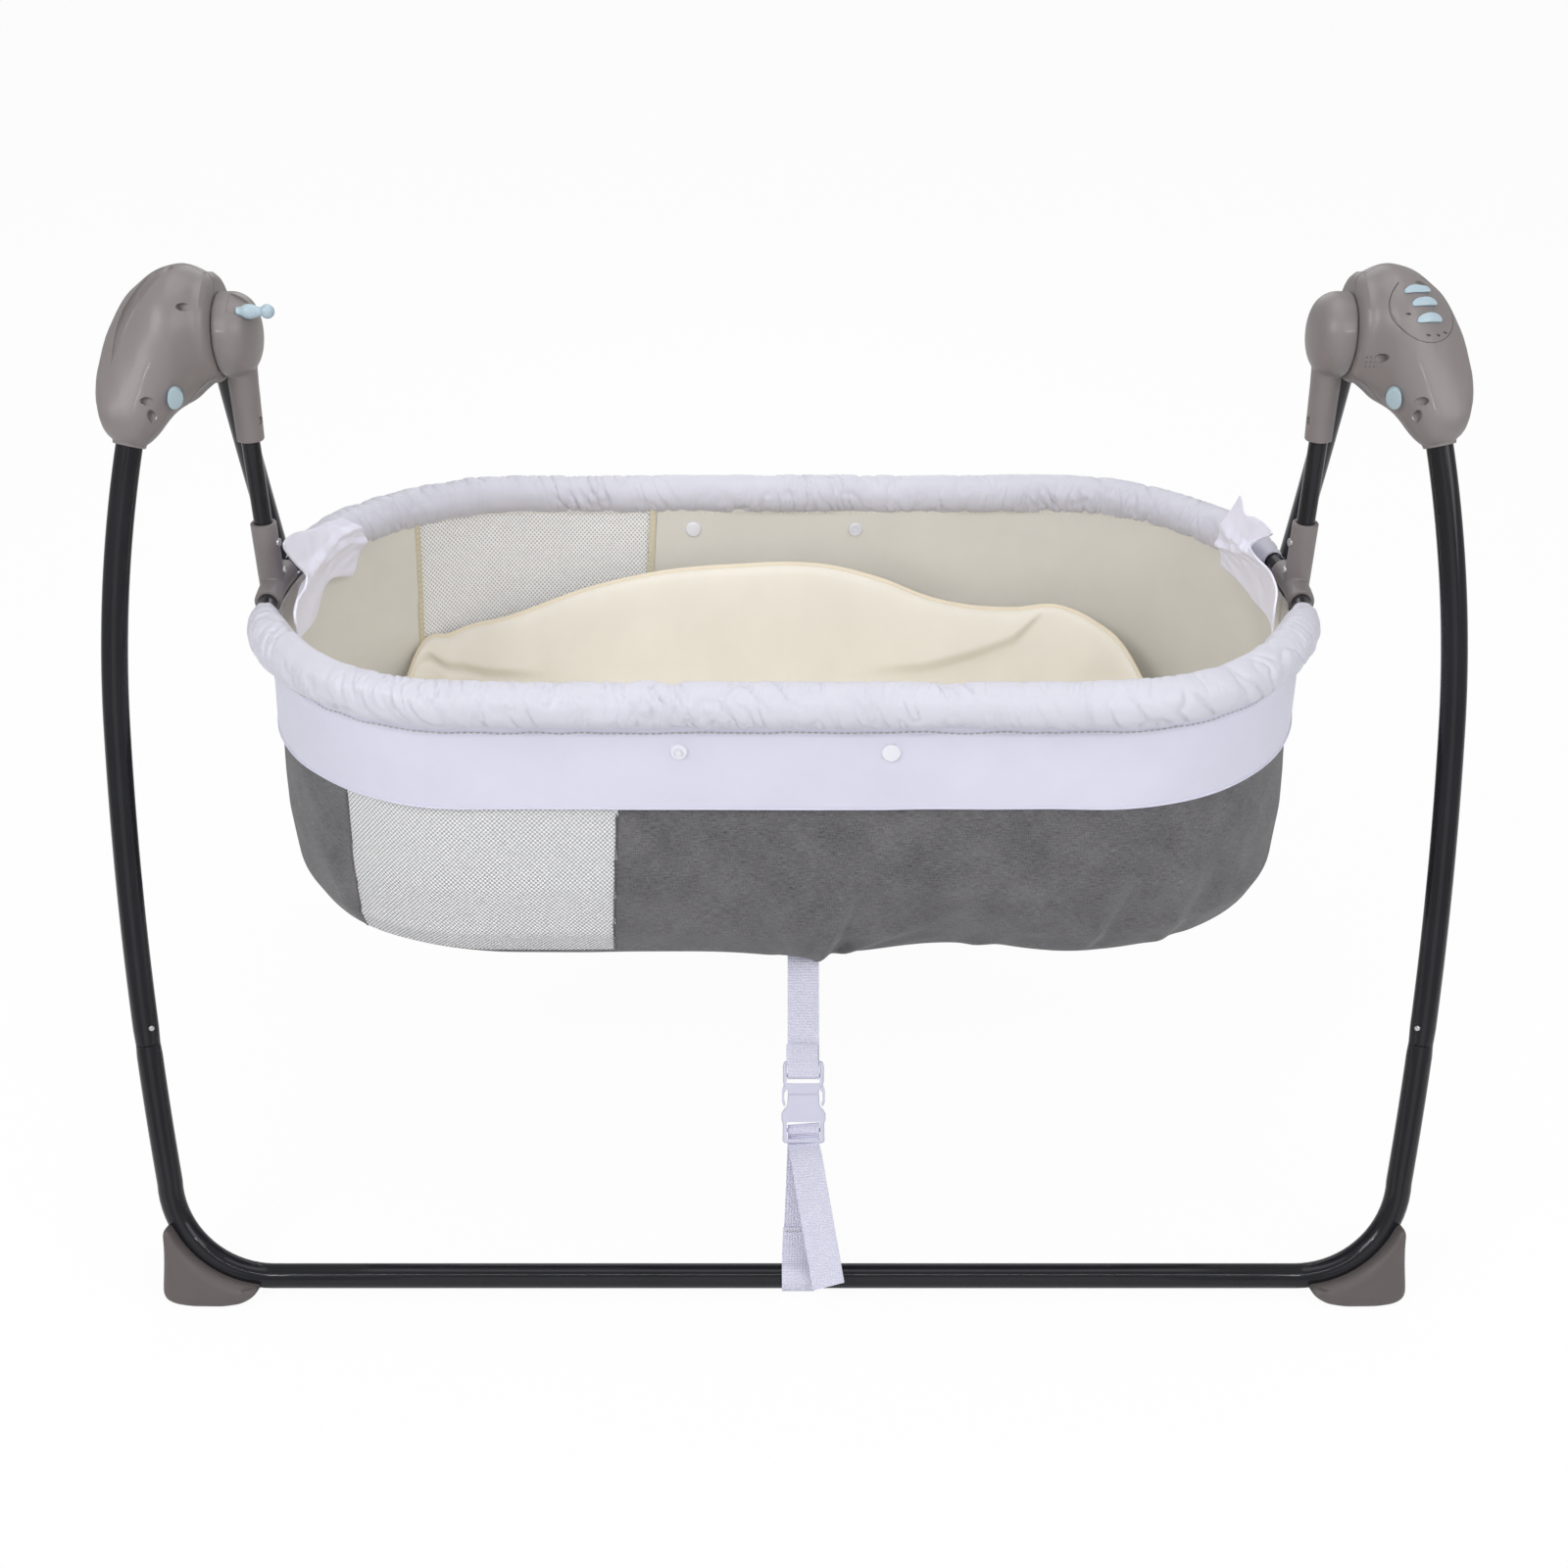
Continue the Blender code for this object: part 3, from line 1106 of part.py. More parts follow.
def basket_ring(height, x_share, y_share, inset):
    """Closed outline of the basket at one height, moved in by an inset."""
    quarter = rim_quarter(BASKET_END_POINTS)
    scale_x = x_share - inset / (RIM_STRAIGHT + RIM_END)
    scale_y = y_share - inset / RIM_HALF_WIDTH
    half = quarter + [(RIM_STRAIGHT * (1 - 2 * k / BASKET_SIDE_SEGMENTS), -RIM_HALF_WIDTH)
                      for k in range(1, BASKET_SIDE_SEGMENTS)]
    half += [(-x, y) for x, y in reversed(quarter)]
    outline = half + [(-x, -y) for x, y in half[1:-1]]
    return [Vector((x * scale_x, y * scale_y, height)) for x, y in outline]


def basket_profile(height):
    """Shares of the rim's reaches at a height of the basket's wall."""
    depth = BASKET_TOP_HEIGHT - BASKET_BOTTOM_HEIGHT
    down = min(1, max(0, (BASKET_TOP_HEIGHT - height) / depth))
    for (a, ax, ay), (b, bx, by) in zip(BASKET_RING_SHARES, BASKET_RING_SHARES[1:]):
        if down <= b:
            t = (down - a) / (b - a)
            return ax + (bx - ax) * t, ay + (by - ay) * t
    return BASKET_RING_SHARES[-1][1:]


def open_shell(name, inset, cloth, rise):
    """A cloth tub with a wall of even thickness; rise lifts its bottom off the one below."""
    depth = BASKET_TOP_HEIGHT - BASKET_BOTTOM_HEIGHT
    outer, inner = [], []
    for down, x_share, y_share in BASKET_RING_SHARES:
        height = BASKET_TOP_HEIGHT - depth * down
        floor = BASKET_BOTTOM_HEIGHT + rise
        outer.append(basket_ring(max(height, floor), x_share, y_share, inset))
        inner.append(basket_ring(max(height, floor + cloth), x_share, y_share, inset + cloth))
    bm = bmesh.new()
    rows = skin_rings(bm, outer, closed_ends=False)
    bm.faces.new(rows[-1])
    rows_in = skin_rings(bm, inner, closed_ends=False)
    bm.faces.new(rows_in[-1])
    count = len(rows[0])
    for k in range(count):
        n = (k + 1) % count
        bm.faces.new((rows[0][k], rows[0][n], rows_in[0][n], rows_in[0][k]))
    return make_object(name, bm)


def window_box(name, clearance):
    """The block that holds both windows, front and rear."""
    return box(name, (-WINDOW_FAR_X - clearance, -ROOM, WINDOW_BOTTOM_HEIGHT - clearance),
               (-WINDOW_NEAR_X + clearance, ROOM, WINDOW_TOP_HEIGHT + clearance))


def build_basket(pivots):
    """Outer shell, lining and the two mesh windows."""
    shell = cut(open_shell("basket_shell", 0, SHELL_CLOTH, 0), window_box("windows", 0))
    finish(shell, GREY_CLOTH, pivots["cradle"], radians(60))
    lining_inset = SHELL_CLOTH + LINING_GAP
    lining = open_shell("basket_lining", lining_inset, LINING_CLOTH, lining_inset)
    cut(lining, window_box("windows", 0))
    finish(lining, CREAM_CLOTH, pivots["cradle"], radians(60))
    for end, low, high in (("front", -ROOM, 0), ("rear", 0, ROOM)):
        mesh = open_shell("mesh_window_" + end, 0, SHELL_CLOTH, 0)
        keep(mesh, window_box("windows", -GAP))
        keep(mesh, box("half", (-ROOM, low, 0), (ROOM, high, ROOM)))
        finish(mesh, MESH_CLOTH, pivots["cradle"], radians(60))


def build_band(pivots):
    """White band round the basket, under the rim cover."""
    heights = (BASKET_TOP_HEIGHT, (BASKET_TOP_HEIGHT + BAND_BOTTOM_HEIGHT) / 2, BAND_BOTTOM_HEIGHT)
    bm = bmesh.new()
    walls = []
    for inset in (-GAP, -GAP - BAND_CLOTH):
        walls.append(skin_rings(bm, [basket_ring(h, *basket_profile(h), inset) for h in heights],
                                closed_ends=False))
    count = len(walls[0][0])
    for end in (0, -1):
        for k in range(count):
            n = (k + 1) % count
            bm.faces.new((walls[0][end][k], walls[0][end][n], walls[1][end][n], walls[1][end][k]))
    finish(make_object("side_band", bm), WHITE_CLOTH, pivots["cradle"], radians(60))


def basket_floor():
    """Height of the lining's inner floor."""
    return BASKET_BOTTOM_HEIGHT + SHELL_CLOTH + LINING_GAP + LINING_CLOTH


def pad_edge(along):
    """Shares of the curl's height and of the half width, at a share of the half length."""
    for (a, *low), (b, *high) in zip(PAD_EDGE_SHARES, PAD_EDGE_SHARES[1:]):
        if along <= b:
            t = (along - a) / (b - a)
            return [p + (q - p) * t for p, q in zip(low, high)]
    return PAD_EDGE_SHARES[-1][1:]


def build_mattress(pivots):
    """Padded mat whose long edges curl up the basket's walls, with piping round its edge."""
    floor = basket_floor() + GAP
    full_rise = BASKET_TOP_HEIGHT - PAD_TOP_GAP - floor
    tops, bottoms = [], []
    for i in range(PAD_COLUMNS + 1):
        along = -1 + 2 * i / PAD_COLUMNS
        rise_share, width_share = pad_edge(along)
        rise = full_rise * rise_share
        top_row, bottom_row = [], []
        for j in range(PAD_ROWS + 1):
            across = -1 + 2 * j / PAD_ROWS
            curl = max(0, (abs(across) - PAD_FLAT_SHARE) / (1 - PAD_FLAT_SHARE))
            flat = PAD_FLAT_HALF_WIDTH * min(1, abs(across) / PAD_FLAT_SHARE)
            y = (flat + PAD_CURL_REACH * sin(curl * pi / 2)) * width_share
            y = y if across > 0 else -y
            z = floor + rise * (1 - cos(curl * pi / 2))
            edge = min(1, (1 - abs(across)) * PAD_ROWS / 2, (1 - abs(along)) * PAD_COLUMNS / 2)
            thick = PIPING_RADIUS * 2 + (PAD_THICKNESS - PIPING_RADIUS * 2) * edge ** 0.5
            crown = PAD_CROWN * (1 - across * across) * (1 - along ** 4)
            lean = curl * PAD_LEAN
            inward = -1 if across > 0 else 1
            x = PAD_HALF_LENGTH * along - PAD_OFFSET
            bottom_row.append(Vector((x, y, z)))
            depth = thick + crown
            top_row.append(Vector((x, y + inward * depth * sin(lean), z + depth * cos(lean))))
        tops.append(top_row)
        bottoms.append(bottom_row)
    bm = bmesh.new()
    up = [[bm.verts.new(p) for p in row] for row in tops]
    low = [[bm.verts.new(p) for p in row] for row in bottoms]
    for grid in (up, low):
        for i in range(PAD_COLUMNS):
            for j in range(PAD_ROWS):
                bm.faces.new((grid[i][j], grid[i + 1][j], grid[i + 1][j + 1], grid[i][j + 1]))
    for i in range(PAD_COLUMNS):
        for j in (0, PAD_ROWS):
            bm.faces.new((up[i][j], up[i + 1][j], low[i + 1][j], low[i][j]))
    for j in range(PAD_ROWS):
        for i in (0, PAD_COLUMNS):
            bm.faces.new((up[i][j], up[i][j + 1], low[i][j + 1], low[i][j]))
    finish(make_object("mattress", bm), CREAM_PAD, pivots["cradle"], radians(50))


def build_flap(side, pivots):
    """Folded cloth flap inside one end of the rim."""
    rows = FLAP_RIGHT_SHARES if side > 0 else FLAP_LEFT_SHARES
    inner, outer = [], []
    for row, fold in zip(rows, FLAP_FOLD_SHARES):
        inner_row, outer_row = [], []
        for y_share, z_share in row:
            y = FLAP_LENGTH * y_share
            end = RIM_STRAIGHT + RIM_END * (1 - (y / RIM_HALF_WIDTH) ** 2) ** 0.5
            x = end - FLAP_INSET - FLAP_FOLD * fold
            z = RIM_HEIGHT + FLAP_HEIGHT * z_share
            inner_row.append(Vector((x - FLAP_CLOTH / 2, y, z)))
            outer_row.append(Vector((x + FLAP_CLOTH / 2, y, z)))
        inner.append(inner_row)
        outer.append(outer_row)
    rings = [outer_row + list(reversed(inner_row)) for outer_row, inner_row in zip(outer, inner)]
    flap = loft(side_name("end_flap", side), rings)
    finish(mirrored(flap, side), WHITE_CLOTH, pivots["cradle"], radians(60))


# Strap

def strap_frame():
    """Foot and top of the strap's line, its direction, and the way out to the front."""
    foot = Vector((STRAP_X, -HOOP_HALF_DEPTH, BASE_HEIGHT))
    top = Vector((STRAP_X, STRAP_TOP_Y, STRAP_TOP_HEIGHT))
    way = (top - foot).normalized()
    return foot, top, way, way.cross(X_AXIS).normalized()


def ribbon(name, points, width, cloth):
    """A flat band along a path in the Y-Z plane."""
    half = width / 2
    profile = [(cloth / 2, -half), (cloth / 2, half), (-cloth / 2, half), (-cloth / 2, -half)]
    return sweep(name, points, profile, X_AXIS)


def build_strap(pivots):
    """Lower webbing round the base tube with its tail, buckle halves, and upper webbing."""
    root = pivots["front_frame"]
    foot, top, way, out = strap_frame()
    if out.y > 0:
        out = -out
    length = (top - foot).length
    buckle_low = length * BUCKLE_START_SHARE
    buckle_split = buckle_low + FEMALE_LENGTH
    buckle_high = buckle_split + MALE_LENGTH
    wrap = LEG_RADIUS + GAP * 3 + STRAP_CLOTH / 2
    loop = []
    steps = 12
    for k in range(steps + 1):
        angle = radians(-80) + radians(340) * k / steps
        loop.append(foot + out * (-wrap * cos(angle)) + way * (-wrap * sin(angle)))
    slot = foot + way * (buckle_low + BUCKLE_WALL * 2.6)
    behind = -out * (BUCKLE_THICKNESS / 2 + STRAP_CLOTH)
    back = [slot + behind, slot + behind - way * (BUCKLE_WALL * 3), foot + way * (buckle_low * 0.6)]
    tail_top = slot + out * (BUCKLE_THICKNESS / 2 + STRAP_CLOTH)
    tail_end = Vector((STRAP_X + TAIL_LEAN, TAIL_END_Y, TAIL_END_HEIGHT))
    tail = []
    for k in range(TAIL_STEPS):
        t = k / TAIL_STEPS
        tail.append(tail_end.lerp(tail_top, t) + out * (TAIL_BOW * sin(pi * t)))
    tail.append(tail_top)
    lower = ribbon("strap_lower", tail + back + loop, STRAP_WIDTH, STRAP_CLOTH)
    finish(lower, WHITE_CLOTH, root, radians(60))
    ends = [foot + way * (buckle_high + GAP * 2), top - way * GAP]
    upper = ribbon("strap_upper", ends, STRAP_WIDTH, STRAP_CLOTH)
    finish(upper, WHITE_CLOTH, root, radians(60))
    build_buckle(root, foot, way, out, buckle_low, buckle_split, buckle_high)


def strap_block(name, foot, way, out, low, high, width, thickness):
    """A block on the strap's line."""
    rings = []
    for h in (low, high):
        rings.append([foot + way * h + X_AXIS * (width / 2 * a) + out * (thickness / 2 * b)
                      for a, b in ((-1, -1), (1, -1), (1, 1), (-1, 1))])
    return loft(name, rings)


def build_buckle(root, foot, way, out, low, split, high):
    """Side-release buckle: a socket with side windows, and a prong with its ladder bar."""
    def block(name, a, b, width, thickness):
        return strap_block(name, foot, way, out, a, b, width, thickness)
    female = block("buckle_socket", low, split, BUCKLE_WIDTH, BUCKLE_THICKNESS)
    hollow = block("hollow", low + FEMALE_LENGTH * 0.42, split + OVERRUN,
                   BUCKLE_WIDTH - 2 * BUCKLE_WALL, BUCKLE_THICKNESS - 2 * BUCKLE_WALL)
    windows = block("windows", low + FEMALE_LENGTH * 0.5, split - BUCKLE_WALL * 2,
                    BUCKLE_WIDTH + OVERRUN, BUCKLE_THICKNESS - 3 * BUCKLE_WALL)
    slot = block("slot", low + BUCKLE_WALL * 1.6, low + BUCKLE_WALL * 3.6,
                 STRAP_WIDTH + GAP * 2, BUCKLE_THICKNESS + OVERRUN)
    cut(female, hollow, windows, slot)
    finish(female, WHITE_CLOTH, root)
    prong_low = low + FEMALE_LENGTH * 0.46
    inner = BUCKLE_WIDTH - 2 * BUCKLE_WALL - 2 * GAP
    flat = BUCKLE_THICKNESS - 2 * BUCKLE_WALL - 2 * GAP
    male = block("buckle_prong", prong_low, split + BUCKLE_WALL, inner, flat)
    gap_width = inner * 0.28
    for side in (-1, 1):
        notch = block("notch", prong_low - OVERRUN, split - BUCKLE_WALL * 1.5, gap_width, BUCKLE_THICKNESS)
        notch.data.transform(Matrix.Translation(X_AXIS * side * inner * 0.24))
        cut(male, notch)
    fuse(male, block("ladder", split + GAP, high, BUCKLE_WIDTH, BUCKLE_THICKNESS * 0.7))
    cut(male, block("ladder_slot", split + MALE_LENGTH * 0.35, high - BUCKLE_WALL * 1.6,
                    STRAP_WIDTH + GAP * 2, BUCKLE_THICKNESS + OVERRUN))
    finish(male, WHITE_CLOTH, root)


def main():
    clear_scene()
    pivots = {"front_frame": make_pivot("front_frame", (0, 0, 0))}
    pivots["rear_frame"] = make_pivot("rear_frame", (0, 0, PIVOT_HEIGHT), pivots["front_frame"])
    pivots["cradle"] = make_pivot("cradle", (0, 0, PIVOT_HEIGHT), pivots["front_frame"])
    for front, key in ((True, "front_frame"), (False, "rear_frame")):
        build_base_tube(front, pivots[key])
        for side in (-1, 1):
            build_leg(side, front, pivots[key])
            build_shoe(side, front, pivots[key])
    for side in (-1, 1):
        build_head(side, pivots)
        build_head_screws(side, pivots)
        build_bush(side, pivots)
        build_fold_button(side, pivots)
        build_knuckle(side, pivots)
        build_hub(side, pivots)
        build_connector(side, pivots)
        build_flap(side, pivots)
    build_panel(pivots)
    build_right_internals(pivots)
    build_magnet(pivots)
    build_lock(pivots)
    for front in (True, False):
        build_rim(front, pivots)
    build_basket(pivots)
    build_band(pivots)
    build_mattress(pivots)
    build_strap(pivots)


main()
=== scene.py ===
"""Looks of the electric baby cradle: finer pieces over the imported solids, finishes, light and camera.

X runs along the basket, -Y is the front, +Z is up. Lengths are in metres.
"""
import json
from math import cos, hypot, pi, radians, sin, tan

import bmesh
import bpy
import numpy as np
from mathutils import Matrix, Vector


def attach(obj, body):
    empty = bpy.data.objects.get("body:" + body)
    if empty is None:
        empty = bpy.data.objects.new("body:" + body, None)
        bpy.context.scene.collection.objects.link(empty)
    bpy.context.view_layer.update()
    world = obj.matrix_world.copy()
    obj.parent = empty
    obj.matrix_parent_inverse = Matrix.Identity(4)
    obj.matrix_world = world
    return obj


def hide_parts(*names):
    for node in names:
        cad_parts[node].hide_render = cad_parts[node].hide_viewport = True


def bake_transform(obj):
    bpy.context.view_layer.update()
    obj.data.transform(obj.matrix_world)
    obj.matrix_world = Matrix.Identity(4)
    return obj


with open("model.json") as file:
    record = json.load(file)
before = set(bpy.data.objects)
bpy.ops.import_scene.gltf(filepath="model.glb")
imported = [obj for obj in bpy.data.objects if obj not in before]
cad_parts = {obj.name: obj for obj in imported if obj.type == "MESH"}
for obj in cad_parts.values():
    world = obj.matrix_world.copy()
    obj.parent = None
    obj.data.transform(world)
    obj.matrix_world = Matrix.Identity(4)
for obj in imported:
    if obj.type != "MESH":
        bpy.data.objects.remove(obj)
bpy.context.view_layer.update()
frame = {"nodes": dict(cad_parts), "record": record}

MM = 0.001
X_AXIS, Y_AXIS, Z_AXIS = Vector((1, 0, 0)), Vector((0, 1, 0)), Vector((0, 0, 1))

# Sizes that the looks share with the solids
PIVOT_HEIGHT = 669 * MM
LEG_LEAN = radians(21.5)
BASE_HEIGHT = 12.5 * MM
LEG_RADIUS = 9.5 * MM
BEND_RADIUS = 77 * MM
FRONT_WIDEST, FRONT_TOP_DROP, FRONT_FOOT_DROP = 496 * MM, 19.8 * MM, 20.5 * MM
REAR_WIDEST, REAR_TOP_DROP, REAR_FOOT_DROP = 434 * MM, 4 * MM, 6 * MM
BOW_HEIGHT = 415 * MM
LEG_ENTRY_HEIGHT = 600 * MM
HOOP_HALF_DEPTH = 61.9 * MM + (LEG_ENTRY_HEIGHT - BASE_HEIGHT) * tan(LEG_LEAN)
TUBE_JOINT_HEIGHT = 187 * MM
HANGER_X = 405 * MM
HANGER_RADIUS = 7 * MM
RIM_HEIGHT = 467 * MM
RIM_STRAIGHT, RIM_END, RIM_HALF_WIDTH = 230 * MM, 174 * MM, 199 * MM
RIM_RADIUS = 7 * MM
COVER_RADIUS = 17.5 * MM
COVER_START = 50 * MM
COVER_END_RADIUS, COVER_TAPER = 9.6 * MM, 60 * MM
BASKET_TOP, BASKET_BOTTOM = 449.2 * MM, 210 * MM
BAND_BOTTOM = 377 * MM
STRAP_X, STRAP_WIDTH, STRAP_CLOTH = 15 * MM, 25 * MM, 1.6 * MM
STRAP_FOOT = Vector((STRAP_X, -HOOP_HALF_DEPTH, BASE_HEIGHT))
STRAP_TOP = Vector((STRAP_X, -136.04 * MM, 208.5 * MM))

# The basket's wall: share of the way down it, and shares of the rim's two reaches
RINGS = np.array([
    (0.0, 0.994, 0.975), (0.30, 1.002, 0.962), (0.62, 1.012, 0.930), (0.82, 1.008, 0.875),
    (0.93, 0.985, 0.785), (0.985, 0.910, 0.710), (1.0, 0.790, 0.660)])


# Meshes

def way_along(points):
    """How far along a line each of its points is."""
    return np.concatenate(([0], np.cumsum(np.linalg.norm(np.diff(points, axis=0), axis=1))))


def evenly(line, count, endpoint=True):
    """Points evenly spaced along a line, and how far along it they are."""
    way = way_along(line)
    even = np.linspace(0, way[-1], count, endpoint=endpoint)
    return np.stack([np.interp(even, way, column) for column in line.T], 1), even


def relaxed(points, rounds, closed=False):
    """Smooth a line of points; the ends of an open one stay."""
    for _ in range(rounds):
        smooth = (np.roll(points, 1, 0) + np.roll(points, -1, 0) + 2 * points) / 4
        if not closed:
            smooth[[0, -1]] = points[[0, -1]]
        points = smooth
    return points


def add_to_scene(name, data):
    thing = bpy.data.objects.new(name, data)
    bpy.context.scene.collection.objects.link(thing)
    return thing


def mesh_object(name, points, faces, uvs=None, sharp=35):
    """A mesh from points and faces, with one UV pair per point, shaded smooth."""
    mesh = bpy.data.meshes.new(name)
    mesh.from_pydata([tuple(p) for p in points], [], [tuple(f) for f in faces])
    if uvs is not None:
        layer = mesh.uv_layers.new(name="UVMap")
        index = np.zeros(len(mesh.loops), int)
        mesh.loops.foreach_get("vertex_index", index)
        layer.data.foreach_set("uv", np.asarray(uvs, float)[index].ravel())
    mesh.validate()
    thing = add_to_scene(name, mesh)
    mesh.shade_smooth()
    if sharp:
        mesh.set_sharp_from_angle(angle=radians(sharp))
    return thing


def fix_normals(thing, sharp=35):
    """Merge points in one place and turn all faces outwards."""
    bm = bmesh.new()
    bm.from_mesh(thing.data)
    bmesh.ops.remove_doubles(bm, verts=bm.verts, dist=1e-6)
    bmesh.ops.recalc_face_normals(bm, faces=bm.faces)
    bm.to_mesh(thing.data)
    bm.free()
    thing.data.shade_smooth()
    if sharp:
        thing.data.set_sharp_from_angle(angle=radians(sharp))
    return thing


def grid_faces(rows, cols, around=False):
    """Faces of a grid of points; around closes each row to a ring."""
    faces = []
    for i in range(rows - 1):
        for j in range(cols if around else cols - 1):
            n = (j + 1) % cols
            faces.append((i * cols + j, i * cols + n, (i + 1) * cols + n, (i + 1) * cols + j))
    return faces


def end_faces(rows, cols):
    """The two faces that close a grid of rings."""
    return [list(range(cols))[::-1], list(range((rows - 1) * cols, rows * cols))]


def prism(name, low, high, sharp=35):
    """A solid between two rings with the same number of points."""
    n = len(low)
    faces = [list(range(n)), list(range(n, 2 * n))[::-1]]
    faces += [(k, (k + 1) % n, n + (k + 1) % n, n + k) for k in range(n)]
    return fix_normals(mesh_object(name, low + high, faces), sharp)


def grid_object(name, grid, around=False, uv=None):
    """A sheet from a grid of points."""
    faces = grid_faces(*grid.shape[:2], around)
    return mesh_object(name, grid.reshape(-1, 3), faces, uv.reshape(-1, 2), None)


def thicken(thing, thick, sharp=None, offset=-1):
    """Give a sheet a body; offset -1 grows it inwards, 0 both ways and 1 outwards."""
    step = thing.modifiers.new("thick", "SOLIDIFY")
    step.thickness = thick
    step.offset = offset
    step.use_even_offset = True
    return apply(thing, sharp)


def apply(thing, sharp=None):
    """Apply the modifiers of a piece."""
    bpy.context.view_layer.update()
    shape = thing.evaluated_get(bpy.context.evaluated_depsgraph_get())
    mesh = bpy.data.meshes.new_from_object(shape)
    thing.modifiers.clear()
    thing.data = mesh
    mesh.shade_smooth()
    if sharp:
        mesh.set_sharp_from_angle(angle=radians(sharp))
    return thing


def combine(thing, other, operation, sharp=35):
    """Join a piece with another one, which is used up."""
    step = thing.modifiers.new("combine", "BOOLEAN")
    step.operation = operation
    step.solver = "EXACT"
    step.object = other
    apply(thing, sharp)
    bpy.data.objects.remove(other, do_unlink=True)
    return thing


def cut(thing, *others):
    for other in others:
        combine(thing, other, "DIFFERENCE")
    return thing


def fuse(thing, *others):
    for other in others:
        combine(thing, other, "UNION")
    return thing


def soften(thing, width, segments=3, angle=35):
    """Round the edges of a piece."""
    step = thing.modifiers.new("round", "BEVEL")
    step.width = width
    step.segments = segments
    step.limit_method = "ANGLE"
    step.angle_limit = radians(angle)
    step.harden_normals = False
    return apply(thing, 40)


def melt(thing, voxel, rounds):
    """Blend joined shapes into one moulded skin."""
    step = thing.modifiers.new("skin", "REMESH")
    step.mode = "VOXEL"
    step.voxel_size = voxel
    step = thing.modifiers.new("smooth", "SMOOTH")
    step.iterations = rounds
    return apply(thing)


def mirror(thing, side):
    """Reflect a piece that was built for the right side."""
    if side < 0:
        thing.data.transform(Matrix.Scale(-1, 4, X_AXIS))
        thing.data.flip_normals()
    return thing


def path_frames(points, up=None):
    """Two side directions along a path, turned as little as possible."""
    tangents = np.gradient(points, axis=0)
    tangents /= np.linalg.norm(tangents, axis=1)[:, None]
    start = np.asarray(up if up is not None else (0, 0, 1), float)
    if up is None and abs(tangents[0] @ start) > 0.9:
        start = np.array((0, 1.0, 0))
    sides = []
    for t in tangents:
        start = start - t * (start @ t)
        start /= np.linalg.norm(start)
        sides.append(np.cross(t, start))
    sides = np.array(sides)
    return sides, np.cross(sides, tangents)


def rings_round(points, frames, angle, radius):
    """Grid of points round a path; radius holds a number, or a grid of them with a last axis of 1."""
    side, other = frames
    return points[:, None] + radius * (np.cos(angle)[None, :, None] * side[:, None]
                                       + np.sin(angle)[None, :, None] * other[:, None])


def tube(name, points, radius, sides=32, caps=True, up=None):
    """A round tube along a path; the radius may change along it."""
    points = np.asarray(points, float)
    radius = np.broadcast_to(np.asarray(radius, float), (len(points),))
    angle = np.linspace(0, 2 * pi, sides, endpoint=False)
    grid = rings_round(points, path_frames(points, up), angle, radius[:, None, None])
    uv = np.stack(np.broadcast_arrays(way_along(points)[:, None], (angle * radius.mean())[None, :]), -1)
    faces = grid_faces(len(points), sides, True)
    if caps:
        faces += end_faces(len(points), sides)
    thing = mesh_object(name, grid.reshape(-1, 3), faces, uv.reshape(-1, 2), 40)
    return fix_normals(thing, 40) if caps else thing


def rod(name, start, end, radius, sides=32, end_radius=None):
    """A straight round rod, tapered where it has an end radius."""
    far = radius if end_radius is None else end_radius
    return tube(name, [Vector(start).lerp(Vector(end), t) for t in (0, 0.5, 1)],
                [radius, (radius + far) / 2, far], sides)


def box(name, low, high):
    """A box between its two corners."""
    points = [(x, y, z) for x in (low[0], high[0]) for y in (low[1], high[1]) for z in (low[2], high[2])]
    faces = [(0, 1, 3, 2), (4, 6, 7, 5), (0, 4, 5, 1), (2, 3, 7, 6), (0, 2, 6, 4), (1, 5, 7, 3)]
    return fix_normals(mesh_object(name, points, faces))


def turned(name, profile, sides=64):
    """Turn a profile of (x, radius) about the swing axis."""
    tiny = 0.01 * MM
    grid = [(x, max(r, tiny) * cos(a), PIVOT_HEIGHT + max(r, tiny) * sin(a))
            for x, r in profile for a in np.linspace(0, 2 * pi, sides, endpoint=False)]
    faces = grid_faces(len(profile), sides, True) + end_faces(len(profile), sides)
    return fix_normals(mesh_object(name, grid, faces), 40)


def spline(table, t):
    """Smooth values between the rows of a table; its first column is the place."""
    table = np.asarray(table, float)
    x, y = table[:, 0], table[:, 1:]
    slope = np.gradient(y, x, axis=0)
    k = np.clip(np.searchsorted(x, t, side="right") - 1, 0, len(x) - 2)
    h = (x[k + 1] - x[k])[..., None]
    u = ((t - x[k]) / (x[k + 1] - x[k]))[..., None]
    a, b = y[k], y[k + 1]
    return ((2 * u ** 3 - 3 * u ** 2 + 1) * a + (u ** 3 - 2 * u ** 2 + u) * h * slope[k]
            + (3 * u ** 2 - 2 * u ** 3) * b + (u ** 3 - u ** 2) * h * slope[k + 1])


def value_noise(x, y, seed):
    """Smooth noise of -1 to 1 over two coordinates."""
    def lattice(i, j):
        n = np.sin(i * 127.1 + j * 311.7 + seed * 74.7) * 43758.5453
        return 2 * (n - np.floor(n)) - 1
    i, j = np.floor(x), np.floor(y)
    u, v = x - i, y - j
    u, v = u * u * (3 - 2 * u), v * v * (3 - 2 * v)
    low = lattice(i, j) * (1 - u) + lattice(i + 1, j) * u
    high = lattice(i, j + 1) * (1 - u) + lattice(i + 1, j + 1) * u
    return low * (1 - v) + high * v


# Finishes

BANDS_TO_PITCH = 6.283


